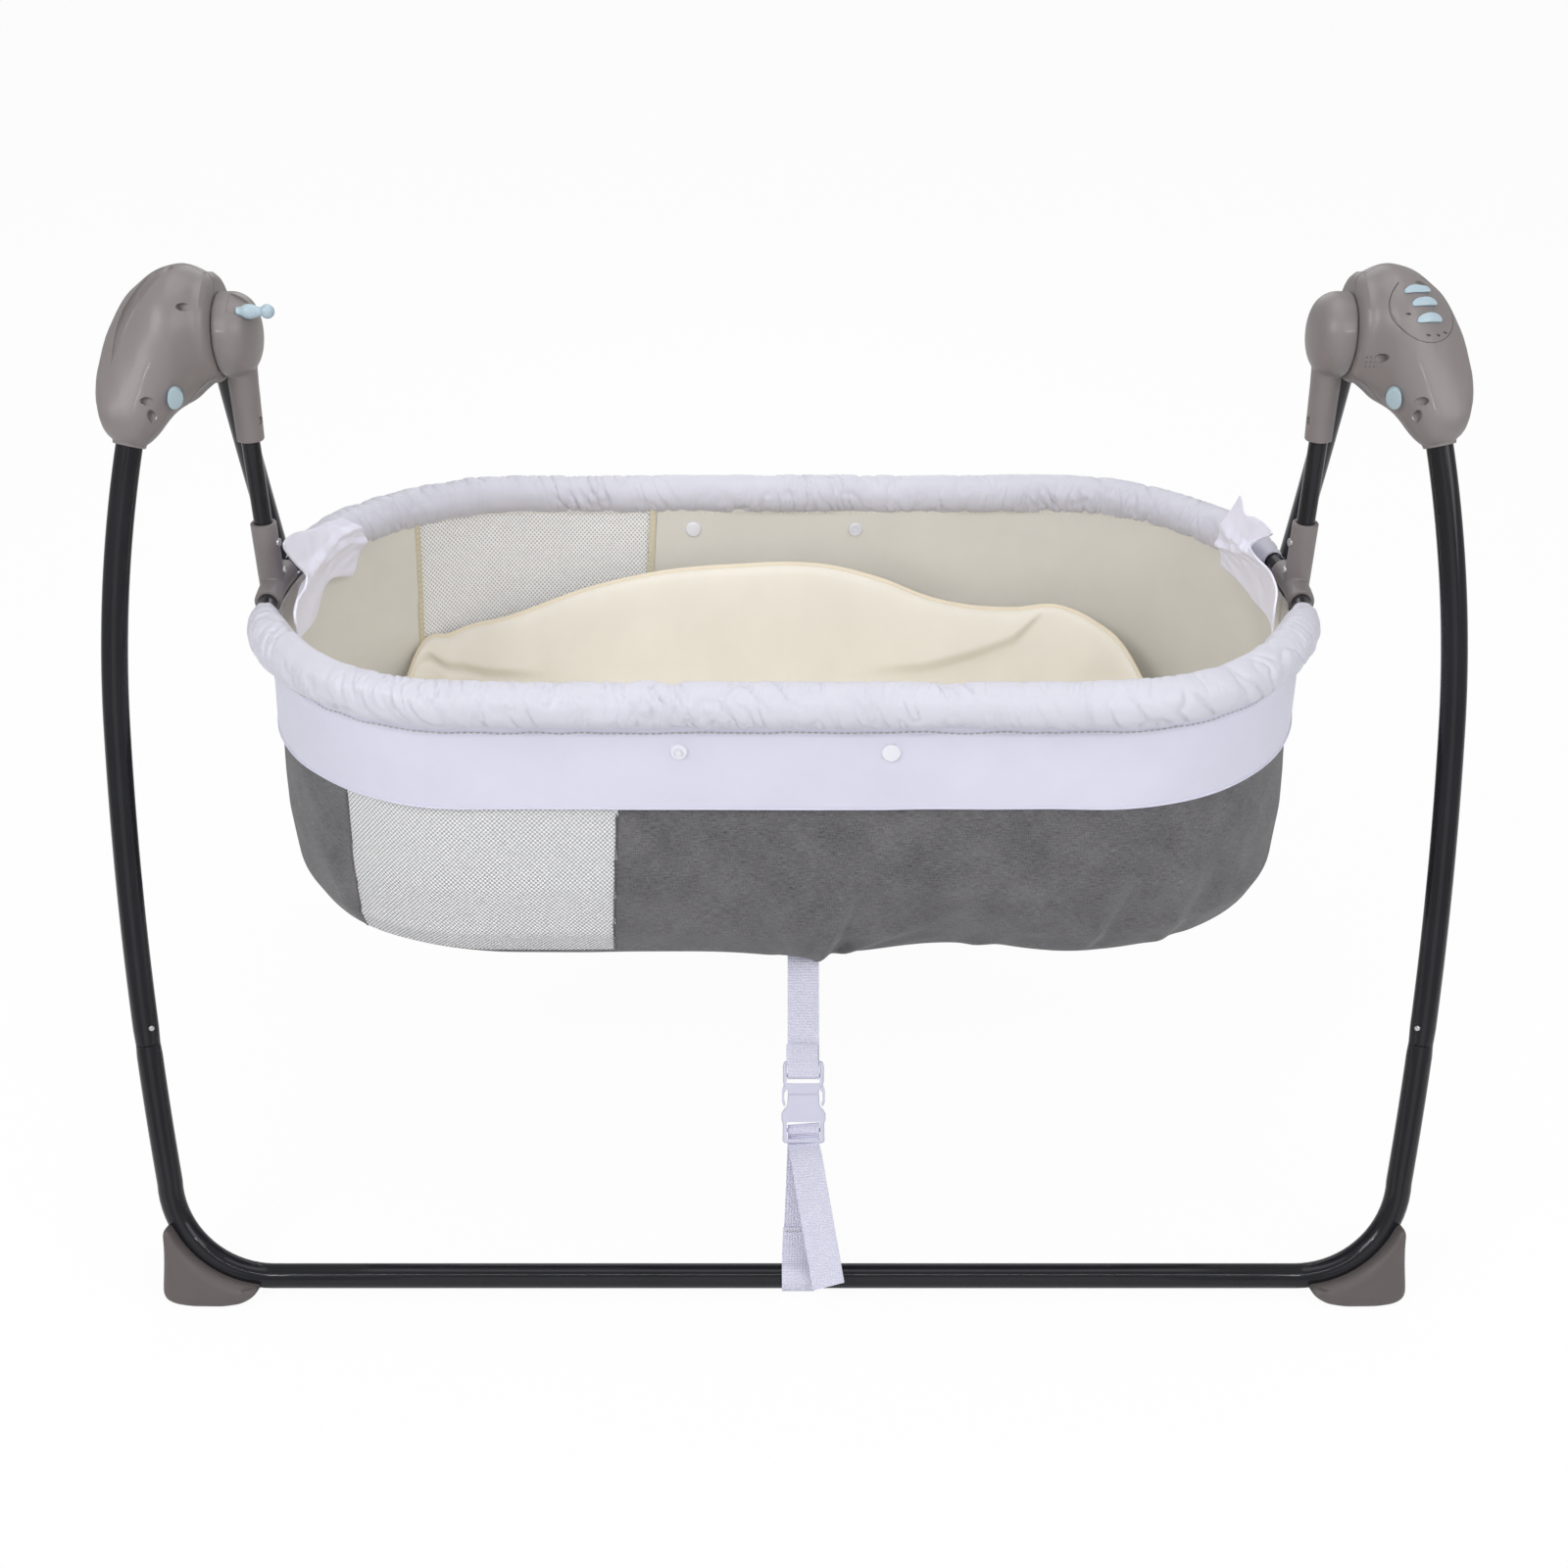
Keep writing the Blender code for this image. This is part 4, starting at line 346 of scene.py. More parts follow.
class Finish:
    """A small builder of one material's nodes."""

    def __init__(self, name, roughness, metallic=0.0):
        self.material = bpy.data.materials.new(name)
        self.material.use_nodes = True
        self.nodes = self.material.node_tree.nodes
        self.links = self.material.node_tree.links
        self.shader = self.nodes["Principled BSDF"]
        self.shader.inputs["Metallic"].default_value = metallic
        self.shader.inputs["Roughness"].default_value = roughness
        self.place = self.nodes.new("ShaderNodeTexCoord")

    def coords(self, kind, scale=(1, 1, 1), turn=0.0):
        """Object or UV coordinates, in metres before they are scaled."""
        mapping = self.nodes.new("ShaderNodeMapping")
        mapping.inputs["Scale"].default_value = scale
        mapping.inputs["Rotation"].default_value = (0, 0, turn)
        self.links.new(self.place.outputs[kind], mapping.inputs["Vector"])
        return mapping.outputs["Vector"]

    def noise(self, vector, scale, detail=4.0, roughness=0.6):
        node = self.nodes.new("ShaderNodeTexNoise")
        node.inputs["Scale"].default_value = scale
        node.inputs["Detail"].default_value = detail
        node.inputs["Roughness"].default_value = roughness
        self.links.new(vector, node.inputs["Vector"])
        return node.outputs["Fac"]

    def threads(self, vector, pitch, distortion, direction="X"):
        """Parallel threads, one in each pitch."""
        node = self.nodes.new("ShaderNodeTexWave")
        node.bands_direction = direction
        node.inputs["Scale"].default_value = 1 / pitch / BANDS_TO_PITCH
        node.inputs["Distortion"].default_value = distortion
        self.links.new(vector, node.inputs["Vector"])
        return node.outputs["Fac"]

    def math(self, operation, *values):
        node = self.nodes.new("ShaderNodeMath")
        node.operation = operation
        for socket, value in zip(node.inputs, values):
            if isinstance(value, (int, float)):
                socket.default_value = value
            else:
                self.links.new(value, socket)
        return node.outputs[0]

    def ramp(self, value, stops):
        node = self.nodes.new("ShaderNodeValToRGB")
        ramp = node.color_ramp
        while len(ramp.elements) < len(stops):
            ramp.elements.new(0.5)
        for element, (place, colour) in zip(ramp.elements, stops):
            element.position = place
            element.color = (*colour, 1)
        self.links.new(value, node.inputs["Fac"])
        return node.outputs["Color"]

    def colour(self, value, stops):
        self.links.new(self.ramp(value, stops), self.shader.inputs["Base Color"])

    def clouds(self, value, colour, spread):
        """The colour a little darker and lighter in soft clouds."""
        self.colour(value, ((0.3, shade(colour, 1 - spread)), (0.7, shade(colour, 1 + spread))))

    def rough(self, value, low, high):
        node = self.nodes.new("ShaderNodeMapRange")
        node.inputs["To Min"].default_value = low
        node.inputs["To Max"].default_value = high
        self.links.new(value, node.inputs["Value"])
        self.links.new(node.outputs["Result"], self.shader.inputs["Roughness"])

    def bump(self, value, depth):
        node = self.nodes.new("ShaderNodeBump")
        node.inputs["Distance"].default_value = depth
        self.links.new(value, node.inputs["Height"])
        before = self.shader.inputs["Normal"]
        if before.links:
            self.links.new(before.links[0].from_socket, node.inputs["Normal"])
        self.links.new(node.outputs["Normal"], before)


def mix_shaders(tree, share, first, second, output):
    """Blend two shaders into a material's or world's output."""
    mix = tree.nodes.new("ShaderNodeMixShader")
    tree.links.new(share, mix.inputs["Fac"])
    tree.links.new(first.outputs[0], mix.inputs[1])
    tree.links.new(second.outputs[0], mix.inputs[2])
    tree.links.new(mix.outputs[0], tree.nodes[output].inputs["Surface"])


def shade(colour, factor):
    """A colour, darker below a factor of 1 and lighter above it."""
    return tuple(c * factor for c in colour)


def solid_finish(name, colour, low, high, spread=0.06, grain=900, depth=0.02 * MM, metallic=0.0, coat=0.0,
                 gloss=0.5):
    """Plastic, paint or metal: a faint cloud of colour, uneven gloss and a fine grain."""
    f = Finish(name, (low + high) / 2, metallic)
    place = f.coords("Object")
    f.clouds(f.noise(place, 18, 3), colour, spread)
    f.rough(f.noise(place, 60, 4), low, high)
    f.bump(f.noise(place, grain, 2), depth)
    for socket, value in (("Coat Weight", coat), ("Coat Roughness", 0.06), ("Specular IOR Level", gloss)):
        f.shader.inputs[socket].default_value = value
    return f.material


def woven_finish(name, dark, light, pitch, depth, roughness, sheen=0.2):
    """Woven cloth on UVs in metres: two sets of threads and long streaks of colour."""
    f = Finish(name, roughness)
    warp, weft = [f.threads(f.coords("UV"), pitch, 0.6, direction) for direction in "XY"]
    slub = f.noise(f.coords("UV", (140, 1400, 1)), 1.0, 3, 0.7)
    fleck = f.noise(f.coords("UV", (1500, 260, 1)), 1.0, 2, 0.6)
    cloud = f.noise(f.coords("UV"), 25, 3)
    mix = f.math("ADD", f.math("MULTIPLY", slub, 0.5), f.math("MULTIPLY", fleck, 0.3))
    mix = f.math("ADD", mix, f.math("MULTIPLY", cloud, 0.2))
    f.colour(mix, ((0.36, dark), (0.64, light)))
    f.bump(f.math("ADD", warp, weft), depth)
    f.shader.inputs["Sheen Weight"].default_value = sheen
    return f.material


def smooth_cloth(name, colour, low, high, crease=0.5 * MM):
    """Close-woven satin or coated cloth with soft small creases."""
    f = Finish(name, (low + high) / 2)
    f.clouds(f.noise(f.coords("UV"), 14, 3), colour, 0.03)
    f.rough(f.noise(f.coords("UV"), 40, 3), low, high)
    f.bump(f.noise(f.coords("UV", (1, 2.2, 1)), 22, 4, 0.55), crease)
    f.bump(f.threads(f.coords("UV", turn=0.3), 0.5 * MM, 0.5), 0.02 * MM)
    f.shader.inputs["Sheen Weight"].default_value = 0.15
    return f.material


def dot_net(f, pitch, hole):
    """1 in the holes of a net of staggered round holes, 0 on its threads."""
    split = f.nodes.new("ShaderNodeSeparateXYZ")
    f.links.new(f.coords("UV"), split.inputs[0])
    distances = []
    for shift in (0.0, 0.5):
        parts = []
        for axis, step in ((0, pitch), (1, pitch * 1.15)):
            t = f.math("FRACT", f.math("ADD", f.math("DIVIDE", split.outputs[axis], step), shift))
            parts.append(f.math("POWER", f.math("SUBTRACT", t, 0.5), 2.0))
        distances.append(f.math("SQRT", f.math("ADD", *parts)))
    edge = f.nodes.new("ShaderNodeMapRange")
    edge.inputs["From Min"].default_value = hole + 0.06
    edge.inputs["From Max"].default_value = hole - 0.06
    f.links.new(f.math("MINIMUM", *distances), edge.inputs["Value"])
    return edge.outputs["Result"]


def net_finish(name, colour, pitch, hole, clear_share, hole_painted_shade):
    """White mesh: round holes that let some of what is behind show; the rest of each hole is painted darker,
    as painted shade of the dim inside behind it.
    """
    f = Finish(name, 0.8)
    holes = dot_net(f, pitch, hole)
    # Painted shade: the holes take a darker copy of the net's colour, standing in for the dim inside seen
    # through them.
    f.colour(holes, ((0.1, colour), (0.9, shade(colour, hole_painted_shade))))
    f.bump(f.math("SUBTRACT", 1.0, holes), 0.5 * MM)
    clear = f.nodes.new("ShaderNodeBsdfTransparent")
    share = f.math("MULTIPLY", holes, clear_share)
    mix_shaders(f.material.node_tree, share, f.shader, clear, "Material Output")
    return f.material


TAUPE = solid_finish("taupe_moulding", (0.222, 0.197, 0.198), 0.36, 0.46, 0.03, coat=0.10)
SHOE = solid_finish("shoe_moulding", (0.106, 0.091, 0.089), 0.45, 0.55, 0.04)
PAINT = solid_finish("charcoal_paint", (0.015, 0.0152, 0.0185), 0.16, 0.22, 0.12, 2400, 0.01 * MM,
                     metallic=0.1, coat=0.35, gloss=0.12)
STEEL = solid_finish("plain_steel", (0.60, 0.60, 0.61), 0.25, 0.4, 0.06, metallic=1.0)
BRONZE = solid_finish("bush_bronze", (0.45, 0.30, 0.14), 0.35, 0.5, 0.08, metallic=1.0)
BLUE = solid_finish("pale_blue", (0.42, 0.54, 0.61), 0.3, 0.42, 0.04, coat=0.2)
BLACK = solid_finish("black_plastic", (0.02, 0.02, 0.022), 0.4, 0.6, 0.1)
GREEN = solid_finish("circuit_board", (0.04, 0.2, 0.09), 0.4, 0.6, 0.2)
COPPER = solid_finish("copper_winding", (0.72, 0.33, 0.16), 0.3, 0.5, 0.1, metallic=1.0)
LABEL = solid_finish("panel_label", (0.11, 0.10, 0.098), 0.35, 0.45, 0.05)
MELANGE = woven_finish("grey_melange", (0.040, 0.038, 0.042), (0.205, 0.200, 0.210),
                       0.7 * MM, 0.12 * MM, 0.95)
WHITE = smooth_cloth("white_cloth", (0.68, 0.675, 0.80), 0.36, 0.55)
# Painted shade: the sleeves take a darker copy of the white cloth, with less blue, to tone down the light
# that falls on top of the rim.
SHADED_SLEEVE = smooth_cloth("sleeve_cloth_painted_shade", (0.635, 0.632, 0.715), 0.34, 0.5, 0.9 * MM)
# Painted light: a lighter copy of the white cloth for the flaps, which lie in shade inside the rim.
LIT_FLAP = smooth_cloth("flap_cloth_painted_light", (0.86, 0.85, 0.98), 0.36, 0.55)
LINING = smooth_cloth("cream_lining", (0.73, 0.71, 0.66), 0.40, 0.58, 0.4 * MM)
QUILT = smooth_cloth("cream_quilt", (0.83, 0.79, 0.705), 0.55, 0.75, 0.35 * MM)
PIPING = smooth_cloth("quilt_piping", (0.80, 0.71, 0.56), 0.5, 0.7, 0.2 * MM)
BINDING = smooth_cloth("window_binding", (0.70, 0.64, 0.48), 0.5, 0.7, 0.2 * MM)
# The last number of each net is how dark its holes are painted: painted shade of the inside behind them.
NET = net_finish("white_net", (0.97, 0.97, 0.99), 3.4 * MM, 0.27, 0.30, 0.52)
FINE_NET = net_finish("fine_net", (0.99, 0.99, 1.0), 3.6 * MM, 0.21, 0.25, 0.72)
WEBBING = woven_finish("white_webbing", (0.62, 0.62, 0.76), (0.78, 0.78, 0.92),
                       1.1 * MM, 0.35 * MM, 0.7, sheen=0.1)
BUCKLE = solid_finish("buckle_plastic", (0.60, 0.60, 0.73), 0.3, 0.42, 0.03)
CLEAR = solid_finish("snap_plastic", (0.80, 0.80, 0.86), 0.15, 0.3, 0.03)
STITCH = smooth_cloth("stitching", (0.52, 0.53, 0.50), 0.7, 0.8, 0.1 * MM)

FINISH_OF_SLOT = {
    "taupe_plastic": TAUPE, "charcoal_tube": PAINT, "steel": STEEL, "bronze": BRONZE,
    "pale_blue_plastic": BLUE, "grey_cloth": MELANGE, "cream_cloth": LINING, "pad_cloth": QUILT,
    "mesh_cloth": NET, "white_cloth": WHITE, "white_plastic": BUCKLE, "circuit_green": GREEN,
    "copper": COPPER, "black_plastic": BLACK,
}
SLOT_OF_NODE = {s["node"]: s["material_slot"] for s in frame["record"]["subparts"]}
for node, thing in frame["nodes"].items():
    thing.data.materials.clear()
    thing.data.materials.append(FINISH_OF_SLOT[SLOT_OF_NODE[node]])


def dress(thing, look, body, *nodes, slot=None):
    """Give a piece its finish and its body, and let it stand for solids."""
    thing.data.materials.clear()
    thing.data.materials.append(look)
    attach(thing, body)
    if nodes:
        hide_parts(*nodes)
    slot or next(s for s, m in FINISH_OF_SLOT.items() if m == look)
    return thing


def side_name(base, side):
    """A name with its side: side is 1 on the right and -1 on the left."""
    return base + ("_right" if side > 0 else "_left")


# Hoops

LEG_UP = Vector((0, sin(LEG_LEAN), cos(LEG_LEAN)))
LEG_DOWN = Vector((0, sin(LEG_LEAN), -cos(LEG_LEAN)))


def hoop_way(height):
    """Way up a hoop's plane, from its base tube, to a height."""
    return (height - BASE_HEIGHT) / cos(LEG_LEAN)


def hoop_point(x, w, front):
    """The point at x on a hoop's plane, w up it from its base tube."""
    y = HOOP_HALF_DEPTH - w * sin(LEG_LEAN)
    return Vector((x, -y if front else y, BASE_HEIGHT + w * cos(LEG_LEAN)))


def hoop_normal(front):
    return Vector((0, cos(LEG_LEAN), -sin(LEG_LEAN) if front else sin(LEG_LEAN)))


def knuckle_way():
    """Way up the rear hoop to the point that is closest to the fold axis."""
    return -(Vector((0, 0, PIVOT_HEIGHT)) - hoop_point(0, 0, False)).dot(LEG_DOWN)


LEG_SLEEVE_BELOW = 46 * MM


def leg_x(w, front):
    """How far out a leg's middle is, at a way up its bowed hoop."""
    bow = hoop_way(BOW_HEIGHT)
    mouth = hoop_way(LEG_ENTRY_HEIGHT) if front else knuckle_way() - LEG_SLEEVE_BELOW
    widest, top, foot = ((FRONT_WIDEST, FRONT_TOP_DROP, FRONT_FOOT_DROP) if front
                         else (REAR_WIDEST, REAR_TOP_DROP, REAR_FOOT_DROP))
    if w > bow:
        rise = (w - bow) / (mouth - bow)
        return widest - top * (rise if front else min(1, rise)) ** 2
    return widest - foot * ((bow - w) / (bow - BEND_RADIUS)) ** 2


def leg_point(w, front, side=1):
    """The middle of a leg, w up its hoop."""
    return hoop_point(side * leg_x(w, front), w, front)


def bend_line(front, steps):
    """The (x, w) points of a base tube's right bend."""
    inner = leg_x(BEND_RADIUS, front) - BEND_RADIUS
    return [(inner + BEND_RADIUS * sin(a), BEND_RADIUS * (1 - cos(a))) for a in np.linspace(0, pi / 2, steps)]


def build_hoop(front):
    """Base tube, legs, spring pins and shoes of one hoop."""
    body = "front_frame" if front else "rear_frame"
    name = "front" if front else "rear"
    seam, gap, inside = hoop_way(TUBE_JOINT_HEIGHT), 0.5 * MM, 20 * MM
    top = (hoop_way(LEG_ENTRY_HEIGHT) if front else knuckle_way() - LEG_SLEEVE_BELOW) + inside
    half = bend_line(front, 20)
    half += [(leg_x(w, front), w) for w in np.linspace(BEND_RADIUS, seam - gap, 14)[1:]]
    straight = [(x, 0) for x in np.linspace(-half[0][0], half[0][0], 9)[1:-1]]
    line = [(-x, w) for x, w in reversed(half)] + straight + half
    radius = np.full(len(line), LEG_RADIUS)
    radius[[0, -1]] -= gap
    up = tuple(hoop_normal(front))
    base = tube(name + "_base", [hoop_point(x, w, front) for x, w in line], radius, 40, up=up)
    dress(base, PAINT, body, name + "_base_tube")
    for side in (-1, 1):
        path = [leg_point(w, front, side) for w in np.linspace(seam + gap, top, 40)]
        radius = np.full(len(path), LEG_RADIUS)
        radius[0] -= gap
        leg = tube(side_name(name + "_upright", side), path, radius, 40, up=up)
        dress(leg, PAINT, body, side_name(name + "_leg", side))
        out = (X_AXIS * -side + hoop_normal(front) * (-1 if front else 1)).normalized()
        middle = leg_point(seam + 14 * MM, front, side)
        pin = rod(side_name(name + "_pin", side), middle + out * (LEG_RADIUS - 2 * MM),
                  middle + out * (LEG_RADIUS + 1.2 * MM), 2.6 * MM, 24, 1.9 * MM)
        dress(soften(pin, 0.5 * MM), STEEL, body)
        build_shoe(side, front, body)


def pillow(name, outline, half, radius, place, thin):
    """A slab with rounded edges; place turns (a, b, h) into a point, thin says how round it is at b."""
    line = relaxed(evenly(np.array(outline + outline[:1]), 140, False)[0], 5, True)
    step = np.roll(line, -3, 0) - np.roll(line, 3, 0)
    normal = np.stack([step[:, 1], -step[:, 0]], 1) / np.hypot(*step.T)[:, None]
    area = (line[:, 0] * np.roll(line[:, 1], -1) - np.roll(line[:, 0], -1) * line[:, 1]).sum()
    normal *= 1 if area > 0 else -1
    turns = np.linspace(0, pi / 2, 8)
    levels = [(-(half - radius + radius * cos(a)), radius * (1 - sin(a))) for a in turns]
    levels += [(-h, inset) for h, inset in reversed(levels)]
    rings = []
    for h, inset in levels:
        rings.append([place(a, b, h) for a, b in line - normal * (inset * thin(line[:, 1]))[:, None]])
    points = [p for ring in rings for p in ring]
    faces = grid_faces(len(rings), len(line), True) + end_faces(len(rings), len(line))
    return fix_normals(mesh_object(name, points, faces), 45)


SHOE_TOP, SHOE_REACH, SHOE_LIP = 46 * MM, 76 * MM, 3.5 * MM


def build_shoe(side, front, body):
    """Moulded corner shoe, grooved by the tube."""
    corner = leg_x(BEND_RADIUS, front)
    lip = BEND_RADIUS + SHOE_LIP
    turns = np.linspace(0, np.arccos((BEND_RADIUS - SHOE_TOP) / lip), 16)[1:]
    inner = [(corner - BEND_RADIUS + lip * sin(a), BEND_RADIUS - lip * cos(a)) for a in turns]
    outer_x = corner + 6.5 * MM
    tip_x, floor_way = outer_x - SHOE_REACH, hoop_way(0)
    inner = [(tip_x + 3 * MM, -SHOE_LIP)] + inner
    outer = [(outer_x - 5 * MM, SHOE_TOP), (outer_x - 4 * MM, 40 * MM), (outer_x - 3 * MM, 20 * MM),
             (outer_x - 1.6 * MM, 0), (outer_x - 1 * MM, floor_way / 2), (outer_x - 2 * MM, floor_way * 0.85),
             (outer_x - 5 * MM, floor_way * 1.1), (outer_x - 12 * MM, floor_way * 1.32),
             (outer_x - 24 * MM, floor_way * 1.45), (tip_x + 28 * MM, floor_way * 1.47),
             (tip_x + 14 * MM, floor_way * 1.3), (tip_x + 5 * MM, floor_way * 0.9),
             (tip_x + 0.8 * MM, floor_way * 0.4), (tip_x, floor_way * 0.1)]
    up = hoop_normal(front)
    shoe = pillow(side_name("shoe", side), inner + outer, 20 * MM, 9 * MM,
                  lambda x, w, h: hoop_point(x, w, front) + up * h,
                  lambda w: np.clip((SHOE_TOP - w) / (28 * MM), 0.2, 1))
    melt(shoe, 1.3 * MM, 5)
    bend = [(0, 0)] + bend_line(front, 14) + [(corner + 1 * MM, BEND_RADIUS * 2)]
    cut(shoe, box("floor", (-1, -1, -1), (1, 1, 0)),
        tube("groove", [hoop_point(x, w, front) for x, w in bend], LEG_RADIUS + 0.3 * MM, 40, up=tuple(up)))
    shoe.name = side_name("front_foot" if front else "rear_foot", side)
    node = side_name("front_shoe" if front else "rear_shoe", side)
    dress(mirror(shoe, side), SHOE, body, node, slot="taupe_plastic")


# Basket

def rim_outline(count):
    """Points round the rim's middle line, and how far round it they are."""
    a = np.linspace(0, pi / 2, count)
    quarter = np.stack([RIM_STRAIGHT + RIM_END * np.cos(a), -RIM_HALF_WIDTH * np.sin(a)], 1)
    straight = np.linspace((RIM_STRAIGHT, -RIM_HALF_WIDTH), (-RIM_STRAIGHT, -RIM_HALF_WIDTH), count * 2)[1:-1]
    front = np.concatenate([quarter, straight, quarter[::-1] * (-1, 1)])
    loop = np.concatenate([front, front[::-1][1:-1] * (1, -1)])
    return evenly(np.concatenate([loop, loop[:1]]), COLUMNS, False)


COLUMNS, WALL_ROWS = 900, 120
OUTLINE, AROUND = rim_outline(80)
TANGENT = np.roll(OUTLINE, -1, 0) - np.roll(OUTLINE, 1, 0)
TANGENT /= np.hypot(*TANGENT.T)[:, None]
OUTWARD = np.stack([-TANGENT[:, 1], TANGENT[:, 0]], 1)
OUTWARD *= np.sign((OUTWARD * OUTLINE).sum(1))[:, None]


def wall_shares(height):
    """Shares of the rim's reaches at a height of the basket's wall."""
    down = np.clip((BASKET_TOP - height) / (BASKET_TOP - BASKET_BOTTOM), 0, 1)
    return np.interp(down, RINGS[:, 0], RINGS[:, 1]), np.interp(down, RINGS[:, 0], RINGS[:, 2])


def wall_profile(samples):
    """Heights and shares down the wall and under the basket, evenly spaced and rounded."""
    fine = np.linspace(0, 1, 400)
    table = relaxed(np.stack([np.interp(fine, RINGS[:, 0], RINGS[:, k]) for k in (1, 2)], 1), 30)
    height = BASKET_TOP - (BASKET_TOP - BASKET_BOTTOM) * fine
    way = way_along(np.stack([height, table[:, 1] * RIM_HALF_WIDTH], 1))
    even = np.linspace(0, way[-1], samples)
    return (np.interp(even, way, height), np.interp(even, way, table[:, 0]),
            np.interp(even, way, table[:, 1]), even)


def wall_grid(inset, ripple, above=0.0):
    """Grid and UVs of the basket's wall, from its top or from above it to the edge of its floor."""
    height, x_share, y_share, way = wall_profile(WALL_ROWS)
    if above:
        extra = np.linspace(above, 0, 4)[:-1]
        height = np.concatenate([BASKET_TOP + extra, height])
        x_share, y_share = [np.concatenate([np.full(3, v[0]), v]) for v in (x_share, y_share)]
        way = np.concatenate([-extra, way])
    grid = np.zeros((len(height), COLUMNS, 3))
    grid[..., 0] = OUTLINE[None, :, 0] * x_share[:, None]
    grid[..., 1] = OUTLINE[None, :, 1] * y_share[:, None]
    grid[..., 2] = height[:, None]
    out = ripple(grid) - inset
    grid[..., :2] += OUTWARD[None] * out[..., None]
    uv = np.stack(np.broadcast_arrays(AROUND[None, :], -way[:, None]), -1)
    return sag(grid), uv


# Fold lines of the outer cloth: from (x, z) to (x, z), width and depth in mm; below 0 the fold stands out
FOLD_LINES = (
    (0.024, 0.205, 0.060, 0.35, 5.0, -8.0), (0.004, 0.212, -0.035, 0.31, 7.0, 3.0),
    (0.045, 0.225, 0.16, 0.30, 6.0, -4.0), (0.235, 0.24, 0.262, 0.36, 6.0, -4.5),
    (0.295, 0.235, 0.318, 0.34, 8.0, -3.6), (-0.34, 0.25, -0.365, 0.35, 7.0, -2.4),
    (0.15, 0.215, 0.20, 0.29, 8.0, -2.6))


def folds(grid):
    """Tension folds of the outer cloth: from the strap upwards, and at both ends of the front."""
    x, y, z = grid[..., 0], grid[..., 1], grid[..., 2]
    front = y < 0
    out = np.zeros(x.shape)
    for x0, z0, x1, z1, width, depth in FOLD_LINES:
        dx, dz = x1 - x0, z1 - z0
        span = hypot(dx, dz)
        along = ((x - x0) * dx + (z - z0) * dz) / span
        off = ((x - x0) * dz - (z - z0) * dx) / span
        fade = np.clip(along / 0.02 + 1, 0, 1) * np.clip(1.25 - along / span, 0, 1)
        w = width * MM * (1 + 1.2 * np.clip(along / span, 0, 1))
        valley, ridge = np.exp(-(off / w) ** 2), np.exp(-((off - 1.7 * w) / w) ** 2)
        out += front * fade * depth * MM * (0.55 * ridge - valley)
    low = np.clip((0.30 - z) / 0.08, 0, 1)
    out += low * 1.6 * MM * value_noise(x * 18, y * 14 + z * 20, 3)
    out += 0.9 * MM * value_noise(x * 9 + y * 5, z * 11, 5)
    out = out * np.clip((0.40 - z) / 0.03, 0.15, 1)
    return np.maximum(out, -2.0 * MM) + 1.2 * MM * np.clip((0.37 - z) / 0.04, 0, 1)


def sag(grid):
    """The strap pulls the cloth down where it is sewn on, and the cloth beside it lies higher."""
    x, y, z = grid[..., 0], grid[..., 1], grid[..., 2]
    low = np.clip((0.29 - z) / 0.06, 0, 1) * np.clip(-y / 0.10, 0, 1)
    pull = 5.5 * np.exp(-((x - STRAP_X) / 0.045) ** 2) - 9.0 * np.exp(-((x - 0.13) / 0.065) ** 2)
    grid[..., 2] -= low * pull * MM
    return grid


WINDOW_X = (-325 * MM, -122 * MM)
WINDOW_TOP, WINDOW_BOTTOM = 375 * MM, 228 * MM
WINDOW_LEAN = (0.0525, 0.075)


def split_wall(name, grid, uv):
    """Split a wall grid into the cloth and its two windows, which run up under the band and lean a little."""
    rows, cols = grid.shape[:2]
    faces = np.array(grid_faces(rows, cols, True))
    centre = grid.reshape(-1, 3)[faces].mean(1)
    low, high = [x - (WINDOW_TOP - centre[:, 2]) * lean for x, lean in zip(WINDOW_X, WINDOW_LEAN)]
    inside = (centre[:, 0] > low) & (centre[:, 0] < high) & (centre[:, 2] > WINDOW_BOTTOM)
    keep = {"": ~inside, "_front": inside & (centre[:, 1] < 0), "_rear": inside & (centre[:, 1] > 0)}
    made = []
    for tail, mask in keep.items():
        used, index = np.unique(faces[mask], return_inverse=True)
        made.append(mesh_object(name + tail, grid.reshape(-1, 3)[used], index.reshape(-1, 4),
                                uv.reshape(-1, 2)[used], None))
    return made


def floor_fan(name, edge, height):
    """Closing panel of the basket's bottom, inside an edge ring."""
    grid = np.array([edge * (s, s, 1) for s in np.linspace(1, 0.02, 24)])
    grid[..., 2] = height + (edge[..., 2] - height)[None, :] * np.linspace(1, 0, 24)[:, None] ** 2
    return grid_object(name, grid, True, grid[..., :2])


def build_basket():
    """Outer cloth, lining, mesh windows, band and snaps."""
    outer, uv = wall_grid(0, folds)
    cloth, front, rear = split_wall("outer_cloth", outer, uv)
    dress(thicken(floor_fan("outer_bottom", outer[-1], BASKET_BOTTOM), 1.2 * MM), MELANGE, "cradle")
    dress(thicken(cloth, 1.4 * MM), MELANGE, "cradle", "basket_shell")
    inner, inner_uv = wall_grid(4 * MM, lining_folds, 9 * MM)
    lining, lining_front, lining_rear = split_wall("lining", inner, inner_uv)
    for name, inner_net in (("inner_net_front", lining_front), ("inner_net_rear", lining_rear)):
        inner_net.name = name
        dress(inner_net, FINE_NET, "cradle", slot="mesh_cloth")
    floor = floor_fan("lining_floor", inner[-1] + (0, 0, 3 * MM), BASKET_BOTTOM + 3 * MM)
    dress(thicken(floor, 1 * MM, offset=1), LINING, "cradle")
    dress(thicken(lining, 1 * MM), LINING, "cradle", "basket_lining")
    for window, name, look in ((front, "front", NET), (rear, "rear", FINE_NET)):
        window.name = "net_" + name
        dress(window, look, "cradle", "mesh_window_" + name, slot="mesh_cloth")
    build_bindings(outer, inner)
    build_band()
    build_snaps()


